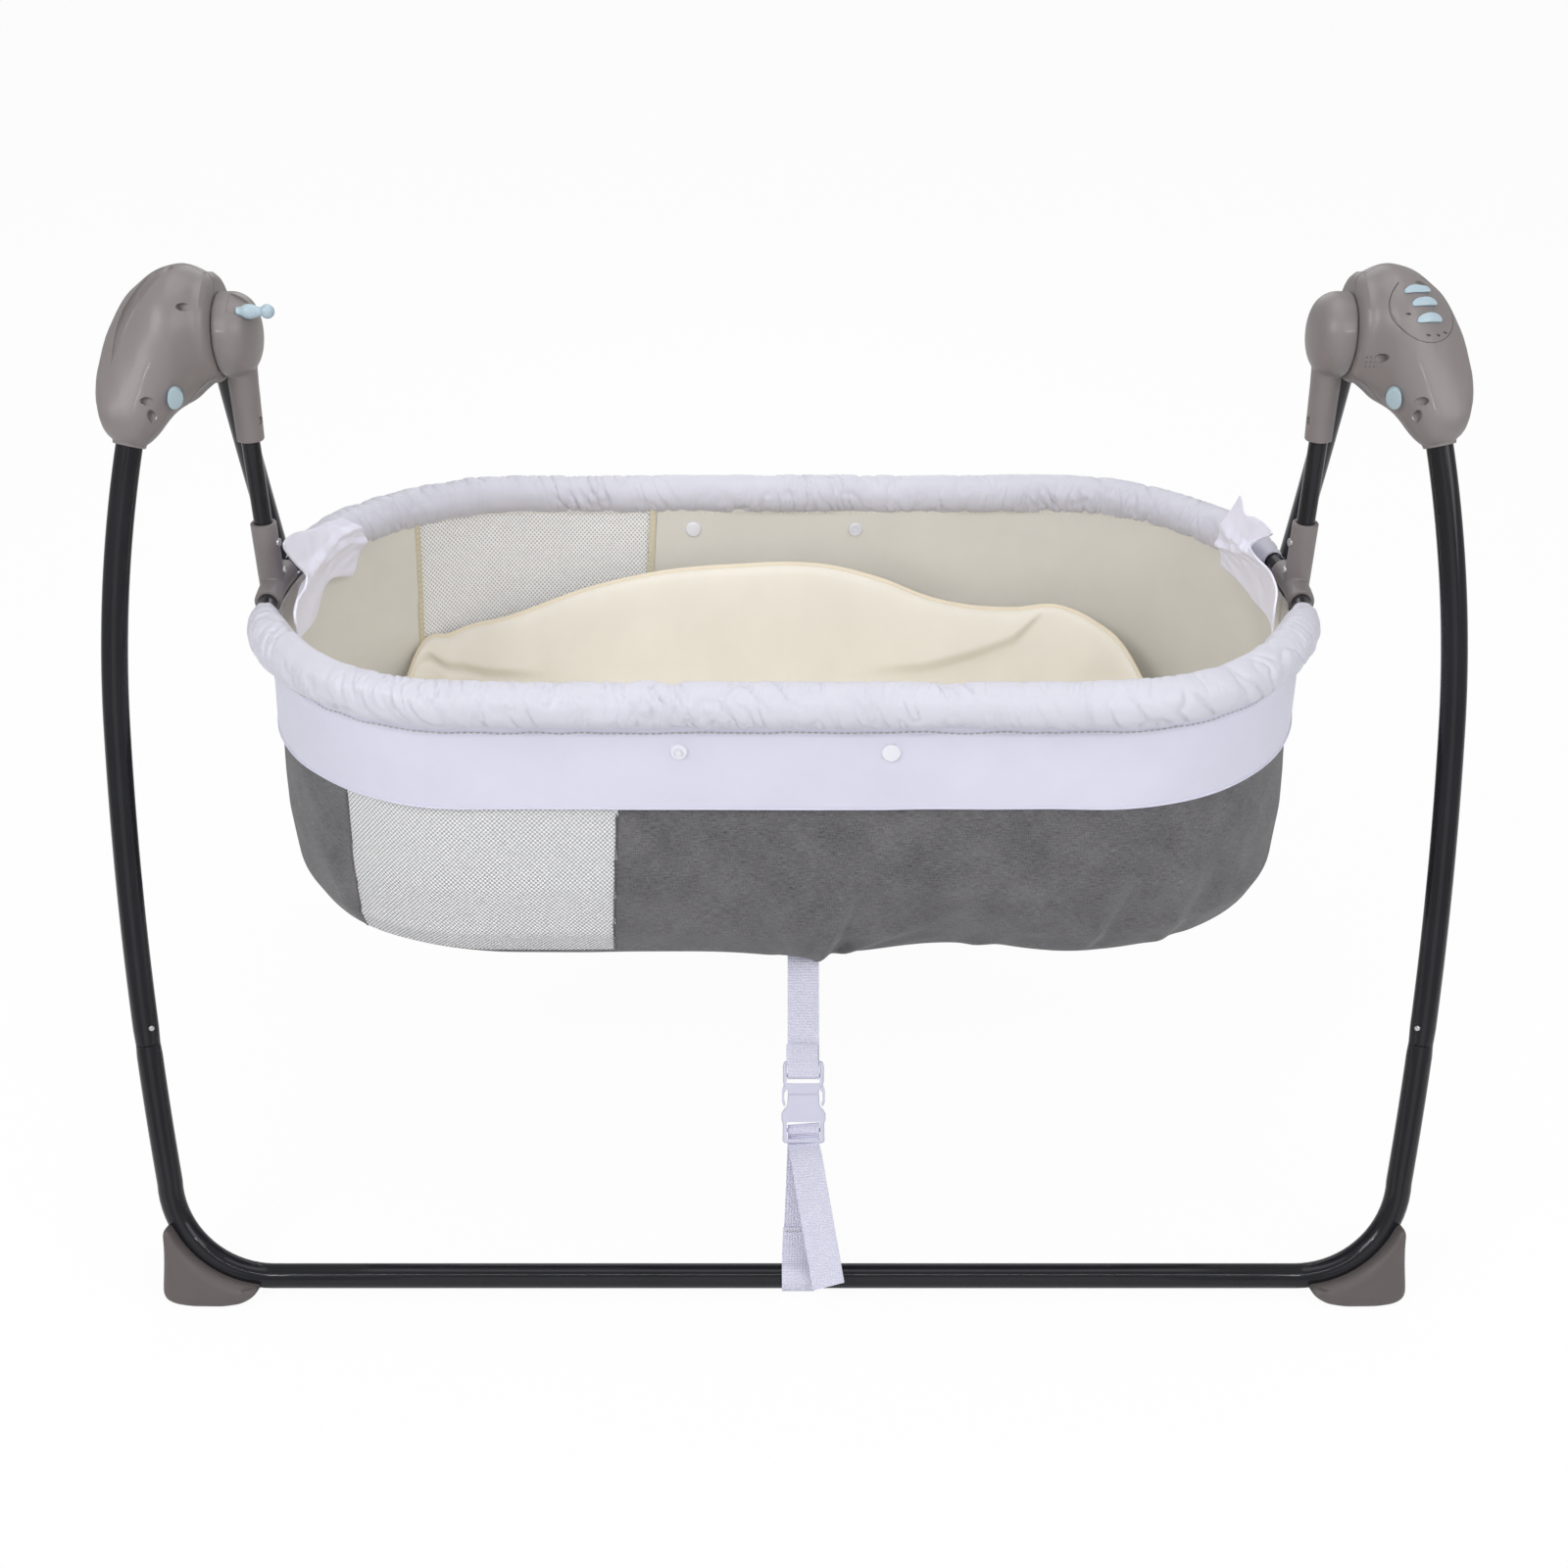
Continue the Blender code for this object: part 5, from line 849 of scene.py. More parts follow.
def lining_folds(grid):
    """Soft hang of the lining, with upright gathers under the rim."""
    x, y, z = grid[..., 0], grid[..., 1], grid[..., 2]
    around = np.broadcast_to(AROUND[None, :], x.shape)
    high = np.clip((z - 0.40) / 0.05, 0, 1)
    out = 1.2 * MM * value_noise(x * 14 + y * 7, z * 9, 8) + 0.7 * MM * value_noise(around * 30, z * 12, 18)
    return out + 0.9 * MM * high * value_noise(around * 75, z * 8, 28)


def build_bindings(outer, inner):
    """Sewn edges of the windows, outside and inside."""
    for end, sign in (("front", -1), ("rear", 1)):
        for edge, x_top, lean in zip(("near", "far"), WINDOW_X[::-1], WINDOW_LEAN[::-1]):
            for layer, grid, lift, top, look in (("out", outer, 0.5, WINDOW_TOP, MELANGE),
                                                 ("in", inner, -2.2, WINDOW_TOP + 84 * MM, BINDING)):
                points = []
                for row in grid[::3]:
                    z = row[0, 2]
                    if z > top or z < WINDOW_BOTTOM - 2 * MM:
                        continue
                    x = x_top - (WINDOW_TOP - z) * lean
                    pick = row[row[:, 1] * sign > 0]
                    near = pick[np.argmin(abs(pick[:, 0] - x))]
                    out = OUTWARD[np.argmin(abs(row[:, 0] - x) + 9 * (row[:, 1] * sign < 0))]
                    points.append((x + out[0] * lift * MM, near[1] + out[1] * lift * MM, z))
                width = 5 * MM if layer == "in" else 0.9 * MM
                strip = ribbon("window_" + edge + "_" + end + "_" + layer, points, (1, 0, 0), width, 0.5 * MM)
                dress(strip, look, "cradle", slot="cream_cloth" if layer == "in" else "grey_cloth")
                if layer == "in":
                    line = np.array(points) - (0, sign * 1 * MM, 0)
                    sewn = stitches("sewn_" + edge + "_" + end, line, 5 * MM, 3 * MM, 0.45 * MM)
                    dress(sewn, QUILT, "cradle")


def stitches(name, line, pitch, length, radius):
    """A row of short threads along a line, as one piece."""
    line = np.asarray(line, float)
    way = way_along(line)
    points, faces = [], []
    for start in np.arange(pitch / 2, way[-1] - length, pitch):
        ends = [np.array([np.interp(w, way, line[:, k]) for k in range(3)]) for w in (start, start + length)]
        step = (ends[1] - ends[0]) / np.linalg.norm(ends[1] - ends[0])
        side = np.cross(step, (0.3, 0.5, 0.81))
        side /= np.linalg.norm(side)
        other = np.cross(step, side)
        first = len(points)
        for place, share in ((0.0, 0.4), (0.2, 1.0), (0.8, 1.0), (1.0, 0.4)):
            middle = ends[0] + (ends[1] - ends[0]) * place
            points += [middle + radius * share * (side * cos(a) + other * sin(a))
                       for a in np.linspace(0, 2 * pi, 7)[:6]]
        faces += [tuple(first + k for k in face) for face in grid_faces(4, 6, True) + end_faces(4, 6)]
    return fix_normals(mesh_object(name, points, faces), 60)


def ribbon(name, points, across, width, thick, slant=0.0):
    """A band along a path, as wide as width along the direction across; slant skews its last end."""
    points = np.asarray([tuple(p) for p in points], float)
    across = np.broadcast_to(np.asarray(across, float), points.shape)
    cols = np.linspace(-0.5, 0.5, 7)
    grid = points[:, None] + across[:, None] * (cols * width)[None, :, None]
    if slant:
        last = (points[-1] - points[-2]) / np.linalg.norm(points[-1] - points[-2])
        weight = np.clip(np.linspace(-8, 1, len(points)), 0, 1)
        grid -= weight[:, None, None] * slant * cols[None, :, None] * last
    uv = np.stack(np.broadcast_arrays((cols * width)[None, :], way_along(points)[:, None]), -1)
    return thicken(grid_object(name, grid, False, uv), thick, 50, 0)


SEAM_HEIGHT = BASKET_TOP - 7 * MM


def build_band():
    """White band round the basket: a smooth skirt with a hem, slightly slack."""
    turned_in = [BASKET_TOP + 7 * MM, BASKET_TOP + 4 * MM]
    heights = np.concatenate([turned_in, np.linspace(BASKET_TOP + 1 * MM, BAND_BOTTOM, 52)])
    grid = np.zeros((len(heights), COLUMNS, 3))
    for i, z in enumerate(heights):
        t = i / (len(heights) - 1)
        slack = 1.3 * MM * sin(pi * t) * value_noise(AROUND * 11, np.full(COLUMNS, t * 2.0), 2)
        slack += 0.8 * MM * t * value_noise(AROUND * 24, np.full(COLUMNS, 0.0), 9)
        gather = np.exp(-abs(z - SEAM_HEIGHT) / (9 * MM))
        slack += gather * (0.8 * MM * value_noise(AROUND * 95, np.full(COLUMNS, z * 30), 19) - 0.5 * MM)
        slack -= 1.1 * MM * np.exp(-((z - SEAM_HEIGHT) / (2.2 * MM)) ** 2)
        out = 2.6 * MM + 0.9 * MM * gather + slack
        grid[i, :, :2] = OUTLINE * wall_shares(z) + OUTWARD * out[:, None]
        grid[i, :, 2] = z
    uv = np.stack(np.broadcast_arrays(AROUND[None, :], heights[:, None]), -1)
    band = thicken(grid_object("band", grid, True, uv), 1.2 * MM)
    dress(band, WHITE, "cradle", "side_band")
    hem = grid[-1] + np.concatenate([OUTWARD * 0.2 * MM, np.full((COLUMNS, 1), 1.2 * MM)], 1)
    loop = np.concatenate([hem, hem[:1]])[::3]
    dress(tube("band_hem", loop, 1.0 * MM, 10, caps=False), WHITE, "cradle")
    row = np.argmin(abs(heights - SEAM_HEIGHT))
    welt = grid[row].copy()
    welt[:, :2] += OUTWARD * 0.7 * MM
    welt[:, 2] += 0.8 * MM * value_noise(AROUND * 60, np.zeros(COLUMNS), 29)
    sewn = stitches("band_stitches", np.concatenate([welt, welt[:1]]), 4.6 * MM, 3 * MM, 0.55 * MM)
    dress(sewn, STITCH, "cradle", slot="white_cloth")
    lining_top = np.full((COLUMNS, 3), BASKET_TOP + 4.5 * MM)
    lining_top[:, :2] = OUTLINE * wall_shares(BASKET_TOP) - OUTWARD * 5.5 * MM
    dress(stitches("lining_stitches", lining_top, 4.6 * MM, 3 * MM, 0.5 * MM), QUILT, "cradle")


def rim_point(turn):
    """A point of the rim tube at a turn round its end, from +X towards +Y."""
    return RIM_STRAIGHT + RIM_END * cos(turn), RIM_HALF_WIDTH * sin(turn), RIM_HEIGHT


# Creases of a sleeve: turn, noise scales along and across them, depth in mm
SLEEVE_CREASES = ((0.5, 30, 105, 2.2), (0.3, 45, 170, 1.5), (-0.2, 60, 260, 0.8))
SLEEVE_BORE = 7.6 * MM


def sleeve_gathers(s, a, seed):
    """Creases of a sleeve in mm, at ways along it and angles round it."""
    round_way = a * COVER_RADIUS
    gather = np.zeros(s.shape)
    for turn, wide, fine, depth in SLEEVE_CREASES:
        across = s * cos(turn) + round_way * sin(turn)
        along = round_way * cos(turn) - s * sin(turn)
        bend = 0.25 * value_noise(s * 25, a, seed + 7)
        line = value_noise(across * fine + bend, along * wide, seed + fine)
        crease = np.clip(1 - abs(line) * 2.6, 0, 1) ** 1.5
        patch = np.clip(0.45 + value_noise(s * 17, a * 0.6, seed + wide) * 1.8, 0, 1)
        gather += depth * (0.22 * value_noise(across * fine * 0.6, along * wide, seed + 1) - crease * patch)
    return gather


def build_cover(front):
    """Gathered sleeve over half of the rim, and the bare rim tube at its two ends."""
    which = "front" if front else "rear"
    near = COVER_START / RIM_HALF_WIDTH
    turns = np.linspace(near, pi / 2, 120)
    half = np.stack([RIM_STRAIGHT + RIM_END * np.cos(turns), -RIM_HALF_WIDTH * np.sin(turns)], 1)
    straight = np.linspace((RIM_STRAIGHT, -RIM_HALF_WIDTH), (-RIM_STRAIGHT, -RIM_HALF_WIDTH), 200)[1:-1]
    line, even = evenly(np.concatenate([half, straight, half[::-1] * (-1, 1)]), 1100)
    points = np.column_stack([line * (1, 1 if front else -1), np.full(len(even), RIM_HEIGHT)])
    frames = path_frames(points, (0, 0, 1))
    angle = np.linspace(0, 2 * pi, 56, endpoint=False)
    s, a = np.meshgrid(even, angle, indexing="ij")
    seed = 11 if front else 23
    slack = value_noise(s * 14, a * 0.5, seed + 2)
    fade = np.clip(np.minimum(a, 2 * pi - a) / 0.45, 0, 1)
    radius = COVER_RADIUS - 0.7 * MM + (sleeve_gathers(s, a, seed) + 0.9 * slack) * fade * MM
    taper = np.sin(np.clip(np.minimum(even, even[-1] - even) / COVER_TAPER, 0, 1) * pi / 2)
    radius = radius * ((COVER_END_RADIUS + (COVER_RADIUS - COVER_END_RADIUS) * taper) / COVER_RADIUS)[:, None]
    if front:
        points = points - np.array((0, 0, 2.0 * MM)) * np.clip(1 - (points[:, :1] / 0.35) ** 2, 0, 1)
    grid = rings_round(points, frames, angle, radius[..., None])
    inner = rings_round(points, frames, angle, SLEEVE_BORE)
    grid = np.concatenate([inner[:1], inner[:1] * 0.7 + grid[:1] * 0.3, grid,
                           inner[-1:] * 0.7 + grid[-1:] * 0.3, inner[-1:]])
    uv = np.pad(np.stack([s, a * COVER_RADIUS], -1), ((2, 2), (0, 0), (0, 0)), "edge")
    cover = fix_normals(grid_object("sleeve_" + which, grid, True, uv), 60)
    # The sleeve's darker cloth is painted shade on top of the rim.
    dress(cover, SHADED_SLEEVE, "cradle", "rim_cover_" + which, slot="white_cloth")
    bare = [(RIM_STRAIGHT + RIM_END, -0.9 * MM, RIM_HEIGHT)]
    bare += [rim_point(-turn) for turn in np.linspace(0.02, near + 0.12, 14)]
    for way, end, nodes in ((1, "_right", ["rim_tube_" + which]), (-1, "_left", [])):
        path = [(x * way, y if front else -y, z) for x, y, z in bare]
        part = tube("bare_rim_" + which + end, path, RIM_RADIUS, 28, up=(0, 0, 1))
        dress(part, PAINT, "cradle", *nodes)


def snap(name, x, side, z, lift, radius, ring):
    """A round plastic snap on the basket's wall: a smooth cap, or a ring with a stud."""
    ys = wall_shares(z)[1]
    y = side * (RIM_HALF_WIDTH * ys + lift)
    way = side if lift > 0 else -side
    start, end = Vector((x, y, z)), Vector((x, y + way * 2.0 * MM, z))
    if not ring:
        cap = rod(name, start, end, radius, 40, radius * 0.82)
        return dress(soften(cap, 0.7 * MM), CLEAR, "cradle", slot="white_plastic")
    base = rod(name, start, end, radius, 40, radius * 0.85)
    cut(base, rod("well", start.lerp(end, 0.5), end + (end - start), radius * 0.6, 32))
    fuse(base, rod("stud", start, end + (end - start) * 0.4, radius * 0.28, 24))
    return dress(base, CLEAR, "cradle", slot="white_plastic")


def build_snaps():
    snap("snap_band_stud", -75 * MM, -1, 427 * MM, 3.6 * MM, 6.2 * MM, True)
    snap("snap_band_cap", 76 * MM, -1, 426 * MM, 3.6 * MM, 7.4 * MM, False)
    snap("snap_inner_cap", -81 * MM, 1, 438 * MM, -5.4 * MM, 7.4 * MM, False)
    snap("snap_inner_stud", 63 * MM, 1, 438 * MM, -5.4 * MM, 6.2 * MM, True)


# Mattress

# Along the mat, from -1 to 1: how high its sides rise and how far they reach, as shares
PAD_EDGE = np.array([
    (-1.0, 0.45, 0.60), (-0.97, 0.60, 0.84), (-0.88, 0.67, 0.98), (-0.71, 0.754, 1.0), (-0.50, 0.89, 1.0),
    (-0.30, 0.97, 1.0), (-0.12, 1.0, 1.0), (0.15, 0.995, 1.0), (0.28, 0.935, 1.0), (0.41, 0.845, 1.0),
    (0.51, 0.805, 1.0), (0.64, 0.79, 1.0), (0.76, 0.81, 0.98), (0.84, 0.77, 0.92), (0.94, 0.65, 0.78),
    (1.0, 0.48, 0.56)])
PAD_HALF_LENGTH, PAD_OFFSET = 332 * MM, 8 * MM
PAD_FLOOR, PAD_MESH = 214.6 * MM, (300, 260)
PAD_RISE = BASKET_TOP - 37 * MM - PAD_FLOOR
PAD_FLAT, PAD_REACH, PAD_FLAT_SHARE = 92 * MM, 73 * MM, 0.44


def pad_edge(along, across):
    """A point of the mat's underside: along and across run from -1 to 1."""
    shares = spline(PAD_EDGE, along)
    rise, draw_in = PAD_RISE * shares[..., 0], shares[..., 1]
    curl = np.clip((abs(across) - PAD_FLAT_SHARE) / (1 - PAD_FLAT_SHARE), 0, 1)
    y = (PAD_FLAT * np.minimum(1, abs(across) / PAD_FLAT_SHARE) + PAD_REACH * np.sin(curl * pi / 2)) * draw_in
    z = PAD_FLOOR + rise * (1 - np.cos(curl * pi / 2))
    return PAD_HALF_LENGTH * along - PAD_OFFSET, y * np.sign(across), z, curl


def build_mattress():
    """The padded mat, curled up at its sides, with its creases and piping."""
    rows, cols = PAD_MESH
    v, u = np.meshgrid(np.linspace(-1, 1, rows), np.linspace(-1, 1, cols), indexing="ij")
    x, y, z, curl = pad_edge(u, v)
    edge = np.clip(np.minimum((1 - abs(v)) * 5.5, (1 - abs(u)) * 9), 0, 1)
    body = np.sqrt(1 - (1 - edge) ** 2)
    crown = (1 - v ** 2) * (1 - u ** 4)
    line_right = abs(v) - np.interp(u, (0.2, 0.386, 0.638, 0.732, 0.8), (0.79, 0.834, 0.927, 1.0, 1.06))
    line_left = abs(v) - np.interp(-u, (0.5, 0.795, 0.875, 0.97), (0.80, 0.872, 0.91, 0.97))
    near_right = np.clip((u - 0.22) / 0.2, 0, 1) * np.clip((0.82 - u) / 0.06, 0, 1)
    near_left = np.clip((-u - 0.62) / 0.12, 0, 1)
    crease = near_right * np.exp(-(line_right / 0.013) ** 2) + near_left * np.exp(-(line_left / 0.013) ** 2)
    swell = (near_right * np.clip(line_right / 0.018, 0, 1) * np.exp(-np.maximum(line_right, 0) / 0.07)
             + near_left * np.clip(line_left / 0.018, 0, 1) * np.exp(-np.maximum(line_left, 0) / 0.07))
    wing = near_right * np.clip(-line_right / 0.02, 0, 1) * np.exp(np.minimum(line_right, 0) / 0.2)
    thick = 6 * MM + body * (16 * MM + 12 * MM * crown - 5 * MM * wing)
    thick += body * MM * (5.5 * swell - 4.0 * crease)
    fan = np.exp(-((abs(u) - 0.9) / 0.10) ** 2) * value_noise(v * 16 + u * 3, u * 4, 31)
    quilt = 0.9 * MM * value_noise(u * 9, v * 5, 1) + 0.6 * MM * value_noise(u * 22, v * 9, 4)
    thick += body * (quilt + 1.5 * MM * fan)
    lean = curl * pi / 2.3
    top = np.stack([x, y - np.sign(v) * thick * np.sin(lean), z + thick * np.cos(lean)], -1).reshape(-1, 3)
    low = np.stack([x, y, z], -1).reshape(-1, 3)
    uv = np.stack([u * PAD_HALF_LENGTH, v * (PAD_FLAT + PAD_RISE)], -1).reshape(-1, 2)
    count = rows * cols
    faces = grid_faces(rows, cols)
    under = [tuple(k + count for k in reversed(f)) for f in faces]
    rim = [i * cols for i in range(rows)] + [(rows - 1) * cols + j for j in range(1, cols)]
    rim += [i * cols + cols - 1 for i in range(rows - 2, -1, -1)] + list(range(cols - 2, 0, -1))
    walls = [(a, b, b + count, a + count) for a, b in zip(rim, rim[1:] + rim[:1])]
    mat = mesh_object("quilt", np.concatenate([top, low]), faces + under + walls,
                      np.concatenate([uv, uv]), None)
    fix_normals(mat, 70)
    dress(mat, QUILT, "cradle", "mattress")
    loop = (top[rim] + low[rim]) / 2
    smooth = relaxed(np.concatenate([loop, loop[:2]]), 3)
    pipe = tube("quilt_piping", smooth, 3.0 * MM, 14, caps=False)
    dress(pipe, PIPING, "cradle", slot="pad_cloth")


# Flaps

# Rows of (y, z) points along each flap, in tenths of a metre, z from the rim's height
FLAP_ROWS = {
    -1: (((0.90, -0.30), (0.55, -0.20), (0.24, -0.38), (-0.10, -0.36), (-0.60, -0.24)),
         ((1.00, -0.10), (0.75, -0.04), (0.35, -0.12), (-0.05, -0.08), (-0.63, 0.04)),
         ((1.00, 0.06), (0.75, 0.12), (0.45, 0.12), (0.15, 0.14), (-0.17, 0.16)),
         ((0.85, 0.24), (0.60, 0.28), (0.36, 0.33), (0.00, 0.45), (-0.60, 0.60))),
    1: (((0.84, -0.20), (0.55, -0.22), (0.26, -0.25), (-0.10, -0.21), (-0.60, -0.16)),
        ((0.86, -0.05), (0.58, -0.03), (0.30, 0.00), (0.00, 0.02), (-0.42, 0.16)),
        ((0.84, 0.12), (0.66, 0.12), (0.50, 0.15), (0.38, 0.18), (0.26, 0.22)),
        ((0.72, 0.48), (0.62, 0.36), (0.45, 0.40), (0.25, 0.42), (0.06, 0.42))),
}
# How far each row stands off the rim, in steps of 6 mm
FLAP_FOLDS = (0, 0.3, 1.0, 0.2)


def build_flap(side):
    """Loose end flap of white cloth, folded over inside the rim."""
    table = np.array(FLAP_ROWS[side])
    cols, rows = 70, 56
    along = np.clip(np.linspace(0, 4, cols) - 1e-6, 0, 4)
    across = np.clip(np.linspace(0, 3, rows) - 1e-6, 0, 3)
    wide = np.stack([spline(np.concatenate([np.arange(5)[:, None], row], 1), along) for row in table])
    wide = np.concatenate([wide, np.repeat(np.array(FLAP_FOLDS)[:, None, None], cols, 1)], 2)
    place = np.concatenate([np.arange(4)[:, None], wide.reshape(4, -1)], 1)
    grid = spline(place, across).reshape(rows, cols, 3)
    u, v = np.meshgrid(np.linspace(0, 1, cols), np.linspace(0, 1, rows))
    y = 0.1 * grid[..., 0]
    z = RIM_HEIGHT + 0.1 * grid[..., 1]
    end = RIM_STRAIGHT + RIM_END * np.sqrt(1 - (y / RIM_HALF_WIDTH) ** 2)
    wave = 2.6 * MM * value_noise(u * 5, v * 3, 6) + 1.6 * MM * value_noise(u * 11 + v * 4, v * 6, 16)
    fold = np.clip(1 - abs(v - 0.42 - 0.25 * u) * 9, 0, 1) + np.clip(1 - abs(v - 0.75 + 0.2 * u) * 11, 0, 1)
    wave = wave - 3.2 * MM * fold
    x = end - 19.2 * MM - 6 * MM * grid[..., 2] - 1.5 * MM + wave * np.sin(pi * v) ** 0.5
    points = np.stack([x, y, z], -1)
    flap = thicken(grid_object(side_name("flap", side), points, False, np.stack([y, z], -1)), 1.6 * MM, 50, 0)
    # The flaps' cloth is painted lighter than the band's, as painted light against their shade.
    dress(mirror(flap, side), LIT_FLAP, "cradle", side_name("end_flap", side), slot="white_cloth")


# Heads

HEAD_X, HEAD_WIDTH, HEAD_RADIUS = 413.7 * MM, 82.5 * MM, 50 * MM
# Along the head's width: its dome circle (y, z, radius) and its lobe circle, as shares of its radius
HEAD_SECTIONS = (
    (0.000, 0.00, 0.08, 0.68, -0.10, 0.00, 0.50),
    (0.020, 0.00, 0.09, 0.75, -0.12, 0.00, 0.50),
    (0.090, -0.02, 0.10, 0.79, -0.32, -0.10, 0.42),
    (0.175, -0.05, 0.09, 0.88, -0.50, -0.20, 0.36),
    (0.275, -0.08, 0.05, 0.97, -0.70, -0.38, 0.36),
    (0.385, -0.10, 0.04, 0.96, -0.86, -0.57, 0.37),
    (0.513, -0.10, 0.04, 0.882, -1.01, -0.80, 0.40),
    (0.642, -0.12, 0.00, 0.772, -1.08, -0.93, 0.41),
    (0.755, -0.16, -0.04, 0.65, -1.07, -0.93, 0.40),
    (0.864, -0.26, -0.12, 0.46, -1.04, -0.89, 0.36),
    (0.945, -0.42, -0.24, 0.30, -0.99, -0.82, 0.28),
    (1.000, -0.64, -0.40, 0.13, -0.90, -0.72, 0.14),
)
SLOT_X = (417.2 * MM, 442.8 * MM)
SEAM_OFFSET = 17 * MM


def head_skin(name, grow=0.0, sides=96):
    """Moulded skin of a head: hulls of a dome circle and a lobe circle, blended."""
    shares = np.concatenate([[0, 0.02], np.linspace(0.05, 0.93, 34), [0.955, 0.975, 0.99, 1.0]])
    rows = spline(HEAD_SECTIONS, shares)
    angle = np.linspace(0, 2 * pi, sides, endpoint=False)
    grid = np.zeros((len(shares), sides, 3))
    for i, (share, (ay, az, ar, by, bz, br)) in enumerate(zip(shares, rows)):
        dome = ay * np.cos(angle) + az * np.sin(angle) + ar
        lobe = by * np.cos(angle) + bz * np.sin(angle) + br
        soft = 0.06
        h = np.logaddexp(dome / soft, lobe / soft) * soft
        dh = np.gradient(np.concatenate([h[-2:], h, h[:2]]), angle[1])[2:-2]
        y = h * np.cos(angle) - dh * np.sin(angle)
        z = h * np.sin(angle) + dh * np.cos(angle)
        grid[i, :, 0] = HEAD_X + HEAD_WIDTH * share + (grow if share > 0.5 else -grow)
        grid[i, :, 1] = HEAD_RADIUS * y + grow * np.cos(angle)
        grid[i, :, 2] = PIVOT_HEIGHT + HEAD_RADIUS * z + grow * np.sin(angle)
    faces = grid_faces(len(shares), sides, True) + end_faces(len(shares), sides)
    return fix_normals(mesh_object(name, grid.reshape(-1, 3), faces), 50)


def surface_distance(point, direction):
    """How far a point is from the head's skin in a direction."""
    probe = head_skin("probe", 0, 48)
    hit, place, _, _ = probe.ray_cast(point, direction)
    bpy.data.objects.remove(probe, do_unlink=True)
    return (place - point).length if hit else 0


def oval_prism(name, centre, normal, side_way, half, low, high, sides=56, flat_from=None):
    """An oval solid along a normal; flat_from cuts its lower side flat."""
    up_way = normal.cross(side_way).normalized()
    ring = []
    for k in range(sides):
        a, b = cos(2 * pi * k / sides), sin(2 * pi * k / sides)
        if flat_from is not None:
            b = max(b, flat_from)
        ring.append(side_way * (half[0] * a) + up_way * (half[1] * b))
    return prism(name, *[[centre + normal * h + p for p in ring] for h in (low, high)], 40)


def seam_point():
    """The point in the middle plane where the head's two shells meet, at the leg's entry."""
    return hoop_point(0, hoop_way(LEG_ENTRY_HEIGHT), True) + hoop_normal(True) * SEAM_OFFSET


SCREW_SHARES = ((0.16, 0.38), (0.49, -0.845), (0.47, -1.04))


def screw_lines(side):
    """Places of a head's screws in its seam plane, and the direction they go in."""
    point, normal = seam_point(), hoop_normal(True)
    first = (0.16, -0.27) if side > 0 else SCREW_SHARES[0]
    for width_share, rise_share in (first,) + SCREW_SHARES[1:]:
        middle = point + LEG_UP * ((PIVOT_HEIGHT + HEAD_RADIUS * rise_share - point.z) / LEG_UP.z)
        yield Vector((HEAD_X + HEAD_WIDTH * width_share, middle.y, middle.z)), normal


FOLD_BUTTON = Vector((439.0 * MM, -50 * MM, PIVOT_HEIGHT - 30 * MM))
FOLD_BUTTON_HALF = (5.4 * MM, 8.4 * MM)
PANEL = Vector((452.2 * MM, -37 * MM, PIVOT_HEIGHT + 29 * MM))
PANEL_RADIUS, PANEL_LEVEL = 26 * MM, radians(11)
KEYS = ("key_speed", "key_timer", "key_music")
# Marks of the panel as plain dots: across and up from its middle, in mm
PANEL_DOTS = ((-11.8, 21.3), (-17, 16), (-13, -7), (4, -20), (13, -18.5), (19.5, -15.5))
# Middle of the speaker's holes, and the direction they are seen and drilled in
SOUND_HOLES = Vector((428, -20, 654)) * MM
SOUND_WAY = Vector((0.3212, 0.9819, -0.3042)).normalized()
KEY_HALF = (10.6 * MM, 4.7 * MM)


def along_surface(normal):
    """The direction across a surface that lies closest to +X."""
    return (X_AXIS - normal * X_AXIS.dot(normal)).normalized()


def fold_button_frame():
    normal = Vector((-0.28, -0.94, -0.1)).normalized()
    return FOLD_BUTTON, normal, along_surface(normal)


def panel_frame():
    """Middle of the panel and its directions out, sideways and up."""
    core = Vector((PANEL.x - HEAD_RADIUS * 0.35, PANEL.y * 0.1, PIVOT_HEIGHT))
    normal = (PANEL - core).normalized()
    side_way = along_surface(normal)
    up_way = normal.cross(side_way).normalized()
    return PANEL, normal, side_way, -up_way if up_way.z < 0 else up_way


LIP_HEIGHTS = 604.5 * MM, 614 * MM


